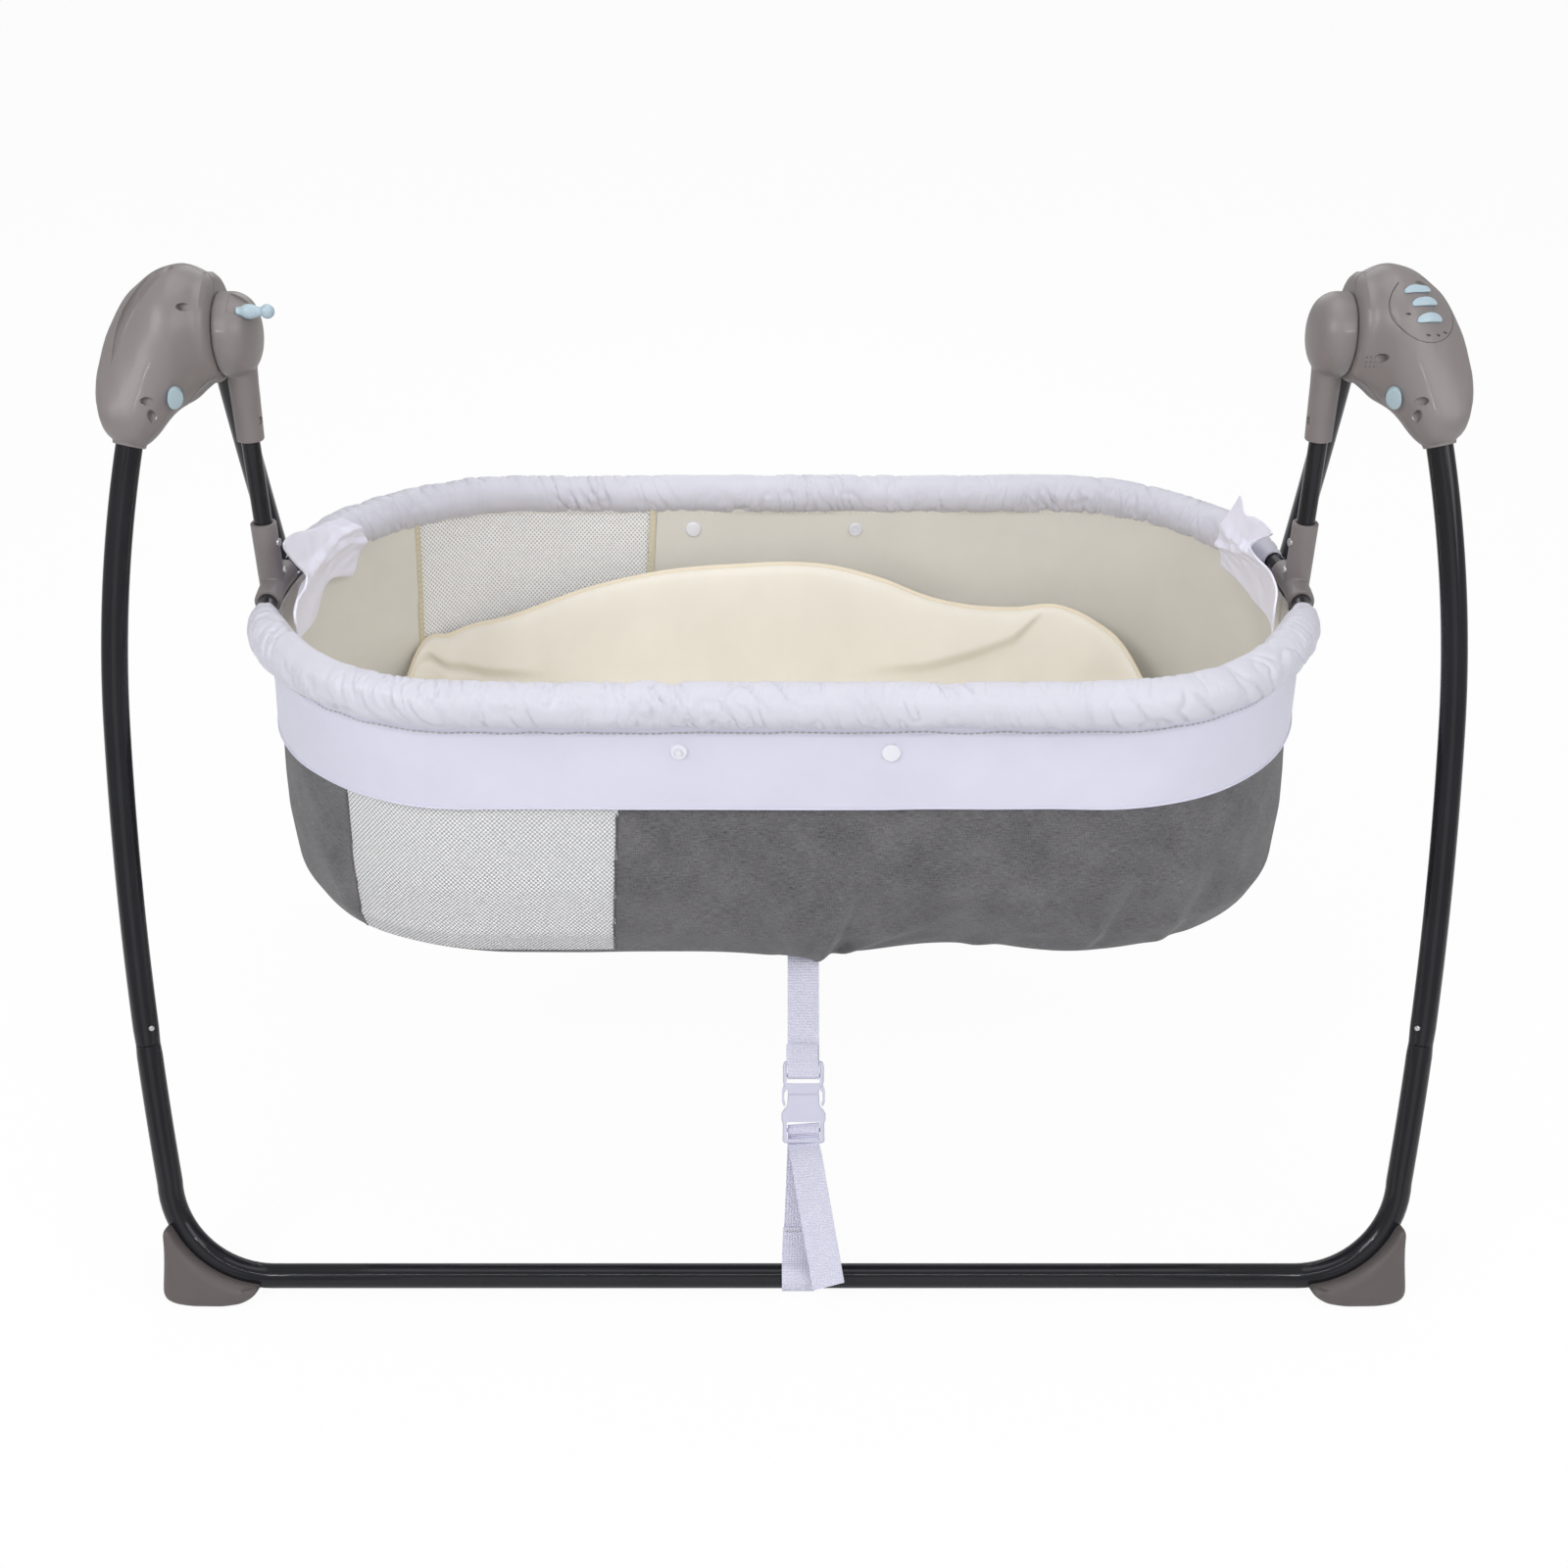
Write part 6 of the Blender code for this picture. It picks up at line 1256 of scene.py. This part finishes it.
def build_head(side):
    """One drive head with its screws, fold button and, on the right, its control panel."""
    skin = head_skin(side_name("head", side))
    low, high = SLOT_X
    pocket = turned("pocket", [(low, 30.4 * MM), (high, 30.4 * MM)])
    slot = box("slot", (low, 2 * MM, PIVOT_HEIGHT - 0.1), (high, 0.1, PIVOT_HEIGHT + 32 * MM))
    low_end, high_end = [leg_point(hoop_way(height), True) for height in LIP_HEIGHTS]
    fuse(skin, rod("lip", low_end, high_end, 11.4 * MM, 48, 14 * MM))
    cut(skin, pocket, slot)
    centre, normal, side_way = fold_button_frame()
    face = surface_distance(centre, normal)
    half = [h + 0.3 * MM for h in FOLD_BUTTON_HALF]
    cut(skin, oval_prism("well", centre, normal, side_way, half, face - 14 * MM, face + 10 * MM))
    for number, (place, inward) in enumerate(screw_lines(side), 1):
        out = surface_distance(place, -inward)
        sunk = place - inward * (out - 3 * MM)
        mouth = (2.6 * MM, 4.6 * MM) if number == 3 else (4.4 * MM, 2.9 * MM)
        cut(skin, oval_prism("mouth", sunk, -inward, along_surface(inward), mouth, -0.2 * MM, 14 * MM, 40))
        screw = rod(side_name("shell_screw_" + str(number), side),
                    sunk + inward * 0.4 * MM, sunk + inward * 3 * MM, 2.5 * MM)
        cut(screw, box("cross", sunk - Vector((0.5, 9, 2)) * MM, sunk + Vector((0.5, 1.4, 2)) * MM))
        dress(mirror(screw, side), STEEL, "front_frame", side_name("head_screw_" + str(number), side))
    leg_end, leg_deep = [leg_point(hoop_way(LEG_ENTRY_HEIGHT) + deep, True) for deep in (0, 26 * MM)]
    cut(skin, rod("leg_hole", leg_end - (leg_deep - leg_end), leg_deep, LEG_RADIUS + 0.7 * MM))
    cut(skin, seam_groove())
    if side > 0:
        build_panel(skin)
    else:
        cut(skin, swoosh())
    dress(mirror(skin, side), TAUPE, "front_frame",
          side_name("head_front_shell", side), side_name("head_rear_shell", side))
    build_fold_button(side)


def seam_groove():
    """Thin slab that leaves the line where the two shells meet: only a skin deep."""
    point, normal = seam_point(), hoop_normal(True)
    slab = head_skin("groove", 1.5 * MM, 64)
    core = head_skin("core", -0.9 * MM, 64)
    cut(slab, core)
    corners = [Vector((x, point.y, point.z)) + LEG_UP * a
               for x, a in ((0.3, -0.2), (0.6, -0.2), (0.6, 0.3), (0.3, 0.3))]
    plate = prism("plate", *[[corner + normal * h for corner in corners] for h in (-0.5 * MM, 0.5 * MM)])
    return combine(slab, plate, "INTERSECT")


def on_skin(x, z, lift):
    """The point of the head's front over (x, z), lifted off the skin."""
    start = Vector((x, -10 * MM, z))
    return start - Y_AXIS * (surface_distance(start, -Y_AXIS) + lift)


def swoosh():
    """Crescent scoop down the outer shoulder of the head without the panel."""
    line = spline(SWOOSH_LINE, np.linspace(0, 1, 26) - 1e-6)
    points = np.array([on_skin(x * MM, z * MM, r * -0.05 * MM) for x, z, r in line])
    return melt(tube("scoop", relaxed(points, 6), line[:, 2] * 1.3 * MM, 32), 0.7 * MM, 2)


# Share of the scoop's length, x, z and radius in mm
SWOOSH_LINE = np.array([(0.0, 431, 733, 0.6), (0.15, 438, 728, 3.4), (0.35, 448, 719, 6.2),
                        (0.55, 460, 706, 6.0), (0.75, 470.5, 690, 4.8), (0.9, 477, 675, 2.8),
                        (1.0, 480.5, 662, 0.6)])


def build_fold_button(side):
    centre, normal, side_way = fold_button_frame()
    face = surface_distance(centre, normal) + 3 * MM
    button = oval_prism(side_name("fold_key", side), centre, normal, side_way, FOLD_BUTTON_HALF,
                        face - 12 * MM, face + 10 * MM)
    combine(button, head_skin("cap", 3 * MM), "INTERSECT")
    soften(button, 0.9 * MM, 3, 30)
    node = side_name("fold_button", side)
    dress(mirror(button, side), BLUE, node + "_body", node)


def build_panel(skin):
    """Oval seam, keys, marks and speaker holes of the control panel."""
    centre, normal, side_way, up_way = panel_frame()
    face = surface_distance(centre, normal)
    middle = centre + side_way * 3.5 * MM + up_way * 1 * MM
    outer, inner = [oval_prism("seam", middle, normal, side_way, (PANEL_RADIUS + wide,) * 2,
                               face - deep, face + high, 120)
                    for wide, deep, high in ((0.28 * MM, 16 * MM, 9 * MM), (-0.28 * MM, 17 * MM, 10 * MM))]
    cut(outer, inner, head_skin("deep", -0.7 * MM))
    cut(outer, box("top", (0.3, -0.2, middle.z + 16 * MM), (0.6, 0.2, 0.9)))
    cut(skin, outer)
    level = max((Matrix.Rotation(turn, 4, normal) @ side_way for turn in (-PANEL_LEVEL, PANEL_LEVEL)),
                key=lambda way: way.z)
    for k, name in enumerate(KEYS):
        rise = 11.4 * MM * (1 - k) + (2.2 if k else 0.5) * MM
        place = centre + up_way * rise + side_way * (4.2 * MM * (k - 1))
        depth = surface_distance(place, normal)
        cut(skin, oval_prism("hole", place, normal, level, [h + 0.3 * MM for h in KEY_HALF],
                             depth - 5 * MM, depth + 6 * MM, 48, -0.38))
        key = oval_prism(name + "_cap", place, normal, level, KEY_HALF,
                         depth - 5 * MM, depth + 8 * MM, 48, -0.35)
        combine(key, head_skin("cap", 1.6 * MM), "INTERSECT")
        soften(key, 0.5 * MM, 3, 30)
        dress(key, BLUE, name + "_body", name)
    for across, rise in PANEL_DOTS:
        place = centre + up_way * rise * MM + side_way * across * MM
        depth = surface_distance(place, normal)
        cut(skin, oval_prism("dot", place, normal, side_way, (1.9 * MM, 0.9 * MM),
                             depth - 1.3 * MM, depth + 3 * MM, 20))
    place = centre + up_way * 19.5 * MM + side_way * 1 * MM
    depth = surface_distance(place, normal)
    label = oval_prism("label", place, normal, side_way, (5.5 * MM, 2.6 * MM),
                       depth - 5 * MM, depth + 5 * MM, 4)
    combine(label, head_skin("cap", 0.1 * MM), "INTERSECT")
    dress(label, LABEL, "front_frame", slot="taupe_plastic")
    probe = head_skin("probe", 0, 48)
    holes = []
    for k in range(9):
        start = SOUND_HOLES + (X_AXIS * (k % 3 - 1) * 3 + Z_AXIS * (k // 3 - 1) * 3.4) * MM
        hit, spot, _, _ = probe.ray_cast(start - SOUND_WAY * 0.15, SOUND_WAY)
        if hit:
            holes.append(rod("hole", spot - SOUND_WAY * 2 * MM, spot + SOUND_WAY * 1 * MM, 0.5 * MM, 12))
    bpy.data.objects.remove(probe, do_unlink=True)
    cut(skin, *holes)
    plug = bpy.data.objects["control_panel"]
    stand = box("panel_back", (0, 0, 0), (1, 1, 1))
    stand.data = plug.data.copy()
    stand.data.transform(Matrix.Translation(-normal * 2.5 * MM))
    dress(stand, TAUPE, "front_frame", "control_panel")


# Hubs, hangers and connectors

# The hub's profile: shares of its length and of its radius
HUB_SHARES = (
    (0.0, 0.0), (0.004, 0.16), (0.015, 0.28), (0.04, 0.43), (0.07, 0.55), (0.11, 0.65), (0.16, 0.74),
    (0.22, 0.82), (0.28, 0.87), (0.36, 0.925), (0.44, 0.96), (0.52, 0.985), (0.62, 1.0), (0.97, 1.0),
    (1.0, 0.985))
HUB_INNER_X, HUB_OUTER_X, HUB_RADIUS = 385.5 * MM, 413.2 * MM, 30.3 * MM
ARM_END = 588 * MM


def build_hub(side):
    """Swing hub with its arm, the arm's screw and the hanger tube."""
    length = HUB_OUTER_X - HUB_INNER_X
    profile = [(HUB_INNER_X + length * a, HUB_RADIUS * b) for a, b in HUB_SHARES]
    hub = turned(side_name("hub", side), profile, 80)
    neck = Vector((HANGER_X - 1.2 * MM, 0, PIVOT_HEIGHT - HUB_RADIUS * 1.3))
    path = [(HANGER_X - 3 * MM, 0, PIVOT_HEIGHT), neck, neck - Z_AXIS * 6 * MM, (HANGER_X, 0, ARM_END)]
    arm = tube("arm", path, [12 * MM, 11.2 * MM, 11.0 * MM, 10.6 * MM], 48)
    fuse(hub, arm)
    melt(hub, 0.9 * MM, 5)
    cut(hub, box("trim", (HUB_OUTER_X, -0.1, 0.5), (0.6, 0.1, 0.8)),
        box("under", (0.3, -0.1, 0.5), (0.5, 0.1, ARM_END + 0.2 * MM)),
        rod("socket", (HANGER_X, 0, 0.58), (HANGER_X, 0, 0.60), HANGER_RADIUS + 0.3 * MM))
    place = Vector((HANGER_X - 10.2 * MM, -2.5 * MM, 604 * MM))
    cut(hub, rod("well", place - X_AXIS * 6 * MM, place + X_AXIS * 1.6 * MM, 3.0 * MM))
    screw = rod(side_name("arm_screw", side), place + X_AXIS * 0.4 * MM, place + X_AXIS * 2 * MM, 2.5 * MM)
    cut(screw, box("cross", place - Vector((1, 1.8, 0.4)) * MM, place + Vector((0.9, 1.8, 0.4)) * MM))
    dress(mirror(screw, side), STEEL, "cradle")
    if side < 0:
        cut(hub, lock_slot())
    dress(mirror(hub, side), TAUPE, "cradle", side_name("swing_hub", side))
    hanger = rod(side_name("hanger", side), (HANGER_X, 0, 0.60), (HANGER_X, 0, RIM_HEIGHT + 10 * MM),
                 HANGER_RADIUS, 36)
    dress(mirror(hanger, side), PAINT, "cradle", side_name("hanger_tube", side))


def lock_slot():
    """The curved slot in the hub that the lock lever turns in."""
    radius, half = hypot(16, 21) * MM, 3.8 * MM
    spare, travel = half / radius, radians(25)
    start = Vector((0, -16, 21)).normalized()
    points, count = [], 16
    for k in range(count + 1):
        turn = Matrix.Rotation(spare - (travel + 2 * spare) * k / count, 4, "X")
        for x, r in ((0.374, radius - half), (0.3906, radius - half),
                     (0.4032, radius + half), (0.374, radius + half)):
            arm = turn @ (start * r)
            points.append((x, arm.y, PIVOT_HEIGHT + arm.z))
    faces = grid_faces(count + 1, 4, True) + end_faces(count + 1, 4)
    return fix_normals(mesh_object("lock_slot", points, faces))


# Share of the lever's length, x in metres and radius in mm
LEVER_SHAPE = np.array([(0.0, 0.3955, 3.0), (0.2, 0.3925, 3.4), (0.36, 0.3895, 4.9), (0.5, 0.3865, 5.4),
                        (0.66, 0.3830, 4.7), (0.82, 0.3795, 3.4), (1.0, 0.3765, 3.3)])


def build_lock():
    """The swing lock's waisted lever with its ball."""
    place = Vector((0, -16 * MM, PIVOT_HEIGHT + 21 * MM))
    shape = spline(LEVER_SHAPE, np.linspace(0, 1, 24) - 1e-6)
    stem = tube("lock_lever", [place + X_AXIS * x for x in shape[:, 0]], shape[:, 1] * MM, 32)
    ball = bmesh.new()
    bmesh.ops.create_uvsphere(ball, u_segments=32, v_segments=20, radius=5.2 * MM)
    bmesh.ops.translate(ball, verts=ball.verts, vec=place + X_AXIS * 0.3735)
    mesh = bpy.data.meshes.new("ball")
    ball.to_mesh(mesh)
    ball.free()
    fuse(stem, add_to_scene("ball", mesh))
    stem.data.shade_smooth()
    dress(mirror(stem, -1), BLUE, "swing_lock_body", "swing_lock")


def build_connector(side):
    """The T piece between a hanger tube and the rim, with its screws."""
    reach = 31 * MM / RIM_HALF_WIDTH
    radius = RIM_RADIUS + 3.0 * MM
    line = [rim_point(turn) for turn in np.linspace(-reach, reach, 14)]
    body = tube(side_name("connector", side), line, radius, 40, up=(0, 0, 1))
    fuse(body, rod("upright", (HANGER_X, 0, RIM_HEIGHT), (HANGER_X, 0, 521 * MM), radius, 40))
    melt(body, 0.8 * MM, 4)
    longer = [rim_point(turn) for turn in np.linspace(-0.2, 0.2, 14)]
    cut(body, tube("bore", longer, RIM_RADIUS + 0.2 * MM, 36, up=(0, 0, 1)),
        rod("mouth", (HANGER_X, 0, 0.50), (HANGER_X, 0, 0.54), HANGER_RADIUS + 0.2 * MM, 36))
    for number, (y, z) in enumerate(((-1.5, 505), (2.0, 480)), 1):
        place = Vector((HANGER_X - radius, y * MM, z * MM))
        way = Vector((-1, y * 0.1, 0)).normalized()
        screw = rod(side_name("rim_screw_" + str(number), side),
                    place - way * 1 * MM, place + way * 1.4 * MM, 3.2 * MM)
        cut(screw, box("cross", place - Vector((2.5, 1.8, 0.4)) * MM, place + Vector((-0.8, 1.8, 0.4)) * MM))
        dress(mirror(soften(screw, 0.4 * MM), side), STEEL, "cradle")
    dress(mirror(body, side), TAUPE, "cradle", side_name("rim_connector", side))


def build_knuckle(side):
    """The disc on the fold axis with the sleeve that holds a rear leg."""
    low, high = 417.5 * MM, 442.5 * MM
    disc = turned(side_name("knuckle", side), [(low, 29.0 * MM), (low + 1 * MM, 29.8 * MM),
                                               (high - 1 * MM, 29.8 * MM), (high, 29.0 * MM)])
    closest = hoop_point((low + high) / 2, knuckle_way(), False)
    sleeve_ends = closest - LEG_DOWN * 8 * MM, closest + LEG_DOWN * LEG_SLEEVE_BELOW
    fuse(disc, rod("sleeve", *sleeve_ends, 12.4 * MM, 48))
    bore_ends = closest + LEG_DOWN * 19 * MM, closest + LEG_DOWN * 60 * MM
    cut(disc, rod("bore", *bore_ends, LEG_RADIUS + 0.3 * MM, 40))
    dress(mirror(disc, side), TAUPE, "rear_frame", side_name("rear_knuckle", side))


# Strap

def strap_axes():
    """Directions up the strap and out of it, and its length."""
    way = (STRAP_TOP - STRAP_FOOT).normalized()
    out = way.cross(X_AXIS).normalized()
    return way, (out if out.y < 0 else -out), (STRAP_TOP - STRAP_FOOT).length


def catmull(points, count):
    """Points on a smooth curve through the given ones."""
    points = np.asarray([tuple(p) for p in points], float)
    place = way_along(points)
    return spline(np.concatenate([place[:, None], points], 1), np.linspace(0, place[-1] - 1e-9, count))


def blend_strap(thing, look, *nodes, slot):
    """A strap piece runs between the front frame and the basket: it gets its finish and its place in world
    space, and stands for solids, but no body holds it.
    """
    thing.data.materials.clear()
    thing.data.materials.append(look)
    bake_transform(thing)
    if nodes:
        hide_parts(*nodes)
    return thing


def webbing(name, points, count=60, across=(1, 0, 0), slant=0.0):
    return ribbon(name, catmull(points, count), across, STRAP_WIDTH, STRAP_CLOTH, slant)


# Where the buckle starts, as a share of the strap, and where its halves meet and end from there
BUCKLE_SHARE, BUCKLE_SPLIT, BUCKLE_END = 0.405, 38 * MM, 64 * MM


def build_strap():
    """Webbing from the frame to the buckle and on to the basket, with its loose end and the buckle."""
    way, out, length = strap_axes()
    low = length * BUCKLE_SHARE
    split, high = low + BUCKLE_SPLIT, low + BUCKLE_END

    def on(h, o=0.0, x=0.0):
        return STRAP_FOOT + way * h + out * o + X_AXIS * x
    wrap = LEG_RADIUS + 1.4 * MM
    aside = X_AXIS * -4.5 * MM
    loop = [STRAP_FOOT + aside + out * (wrap * sin(a)) + way * (wrap * cos(a))
            for a in np.linspace(0.5, 2 * pi - 0.5, 16)]
    back = [on(low + 2 * MM, -3 * MM), on(low * 0.7, -1.5 * MM, -1.3 * MM),
            on(low * 0.35, -1.5 * MM, -3 * MM), on(wrap * 1.6, -4 * MM, -4.3 * MM)]
    rest = [on(wrap * 1.9, 1.0 * MM, -4.2 * MM), on(wrap * 3.4, 0.4 * MM, -3.6 * MM)]
    lower = webbing("webbing_lower", back + loop[::-1] + rest, count=90)
    blend_strap(lower, WEBBING, "strap_lower", slot="white_cloth")
    start, end = on(low - 5 * MM, 4 * MM, 1 * MM), Vector((STRAP_X + 19 * MM, -313 * MM, 21 * MM))
    tail_points = [on(low + 14.5 * MM, -0.5 * MM), on(low + 10 * MM, 2.6 * MM), on(low + 4.5 * MM, -1.2 * MM),
                   on(low - 1 * MM, 0.5 * MM), start]
    for share, bow in ((0.25, 6), (0.5, 8), (0.75, 6), (1, 0)):
        tail_points.append(start.lerp(end, share) + out * bow * MM)
    tail = webbing("webbing_tail", tail_points, across=(0.985, -0.05, 0.14), slant=4.5 * MM)
    blend_strap(tail, WEBBING, slot="white_cloth")
    upper_points = [on(high + 13 * MM, 3.0 * MM, -1 * MM), on(high + 2 * MM, 4.4 * MM, -1 * MM),
                    on(split + 17 * MM, 4.2 * MM), on(split + 13.2 * MM, 2.6 * MM), on(split + 12.6 * MM, 0),
                    on(split + 13.5 * MM, -2.4 * MM), on(split + 18 * MM, -2.6 * MM),
                    on(high + 2 * MM, -0.5 * MM), on(high + 14 * MM, 0.6 * MM), on((high + length) / 2, 0),
                    on(length, 0)]
    upper = webbing("webbing_upper", upper_points, count=120)
    blend_strap(upper, WEBBING, "strap_upper", slot="white_cloth")
    sewn = [on(wrap * 3.1, 1.6 * MM, x * MM - 4 * MM) for x in np.linspace(-11.5, 11.5, 12)]
    sewn = stitches("webbing_stitches", sewn, 2.6 * MM, 1.9 * MM, 0.45 * MM)
    blend_strap(sewn, STITCH, slot="white_cloth")
    build_buckle(on, low, split, high)


def strap_plate(name, on, outline, thick):
    """A flat shape on the strap's line, from outline points (x, h)."""
    return prism(name, *[[on(h, o, x) for x, h in outline] for o in (-thick / 2, thick / 2)])


def rectangle(half, low, high):
    return [(-half, low), (half, low), (half, high), (-half, high)]


def symmetric(half_outline):
    """A closed outline from its right half, given upwards."""
    return half_outline + [(-x, h) for x, h in reversed(half_outline)]


def buckle_bar(on, h, radius):
    return rod("bar", on(h, 0, -14.5 * MM), on(h, 0, 14.5 * MM), radius, 20)


def build_buckle(on, low, split, high):
    """Side-release buckle: a socket with a narrow neck, and a frame with two side prongs."""
    outline = [(15.4, 0), (16.6, 2), (16.3, 15), (17.4, 18), (17.4, 23), (15.6, 26), (12.9, 28.5), (12.5, 34),
               (12.5, 38.3)]
    female = strap_plate("buckle_body", on, symmetric([(x * MM, low + h * MM) for x, h in outline]), 8.4 * MM)
    soften(female, 1.7 * MM, 3)
    cut(female, strap_plate("window", on, rectangle(13.1 * MM, low + 3.2 * MM, low + 16.4 * MM), 30 * MM))
    fuse(female, buckle_bar(on, low + 10 * MM, 1.5 * MM))
    blend_strap(female, BUCKLE, "buckle_socket", slot="white_plastic")
    outline = [(12.3, 37), (12.3, 41), (14.4, 44), (16.2, 46.5), (16.3, 60), (15.2, 64)]
    male = strap_plate("buckle_ladder", on, symmetric([(x * MM, low + h * MM) for x, h in outline]), 6.4 * MM)
    soften(male, 1.5 * MM, 3)
    cut(male, strap_plate("window", on, rectangle(13.1 * MM, split + 8.6 * MM, high - 3.2 * MM), 30 * MM))
    fuse(male, buckle_bar(on, split + 14.6 * MM, 1.5 * MM))
    prong = ((13.2, 41.5), (15.6, 45.5), (17.0, 41), (17.0, 32), (15.4, 28.4), (14.0, 29.8), (15.2, 33.5),
             (15.2, 39.5))
    for side in (-1, 1):
        piece = strap_plate("prong", on, [(side * x * MM, low + h * MM) for x, h in prong], 5.0 * MM)
        fuse(male, soften(piece, 0.6 * MM, 2))
    blend_strap(male, BUCKLE, "buckle_prong", slot="white_plastic")


# Light, floor and camera

# Name, place, width, height in metres and power in watts; all face the middle of the cradle
LIGHTS = (("key", (-1.9, -1.7, 2.3), 1.2, 1.2, 24.5), ("fill", (2.0, -1.5, 1.9), 1.4, 1.4, 16),
          ("top", (0.0, 0.3, 2.6), 1.8, 1.8, 15), ("low", (0.0, -2.6, 0.6), 1.6, 1.6, 4),
          ("strip", (0.0, -1.6, 1.85), 3.2, 0.02, 8), ("back", (0.0, 2.4, 1.6), 1.6, 1.6, 9),
          ("glint_left", (-0.9, -1.6, 1.35), 0.09, 0.09, 1.3),
          ("glint_right", (0.9, -1.6, 1.35), 0.09, 0.09, 1.3))


def build_stage():
    """World, floor, lights and the camera that fits the photo."""
    world = bpy.data.worlds.new("studio")
    bpy.context.scene.world = world
    world.use_nodes = True
    tree = world.node_tree
    back, seen = tree.nodes["Background"], tree.nodes.new("ShaderNodeBackground")
    for node, strength in ((back, 0.44), (seen, 1.0)):
        node.inputs["Color"].default_value = (1, 1, 1, 1)
        node.inputs["Strength"].default_value = strength
    ray = tree.nodes.new("ShaderNodeLightPath")
    mix_shaders(tree, ray.outputs["Is Camera Ray"], back, seen, "World Output")
    size = 40.0
    corners = [(-size, -size, 0), (size, -size, 0), (size, size, 0), (-size, size, 0)]
    floor = mesh_object("floor", corners, [(0, 1, 2, 3)])
    floor.location.z = -0.3 * MM
    f = Finish("white_floor", 0.9)
    grain = f.noise(f.coords("Object"), 3, 3)
    f.colour(grain, ((0.3, (0.90, 0.90, 0.90)), (0.7, (0.93, 0.93, 0.93))))
    glow = f.nodes.new("ShaderNodeEmission")
    glow.inputs["Color"].default_value = (1, 1, 1, 1)
    glow.inputs["Strength"].default_value = 1.0
    path = f.nodes.new("ShaderNodeLightPath")
    seen_share = f.math("MULTIPLY", path.outputs["Is Camera Ray"], 0.95)
    mix_shaders(f.material.node_tree, seen_share, f.shader, glow, "Material Output")
    floor.data.materials.append(f.material)
    target = Vector((0, 0, 0.38))
    for name, place, width, height, power in LIGHTS:
        data = bpy.data.lights.new(name, "AREA")
        data.energy = power
        data.shape = "RECTANGLE"
        data.size, data.size_y = width, height
        lamp = add_to_scene(name, data)
        lamp.location = place
        lamp.rotation_euler = (target - Vector(place)).to_track_quat("-Z", "Y").to_euler()
    data = bpy.data.cameras.new("camera")
    camera = add_to_scene("camera", data)
    camera.location = (0, -1.3286, 1.0593)
    camera.rotation_euler = (radians(59.39), 0, 0)
    data.lens = 41.89
    data.sensor_width = 36
    data.shift_x = -0.0003
    data.shift_y = 13 / 1600
    bpy.context.scene.camera = camera
    bpy.context.scene.view_settings.view_transform = "Standard"


def main():
    build_stage()
    for front in (True, False):
        build_hoop(front)
        build_cover(front)
    build_basket()
    build_mattress()
    for side in (-1, 1):
        build_flap(side)
        build_head(side)
        build_hub(side)
        build_connector(side)
        build_knuckle(side)
    build_lock()
    build_strap()


main()
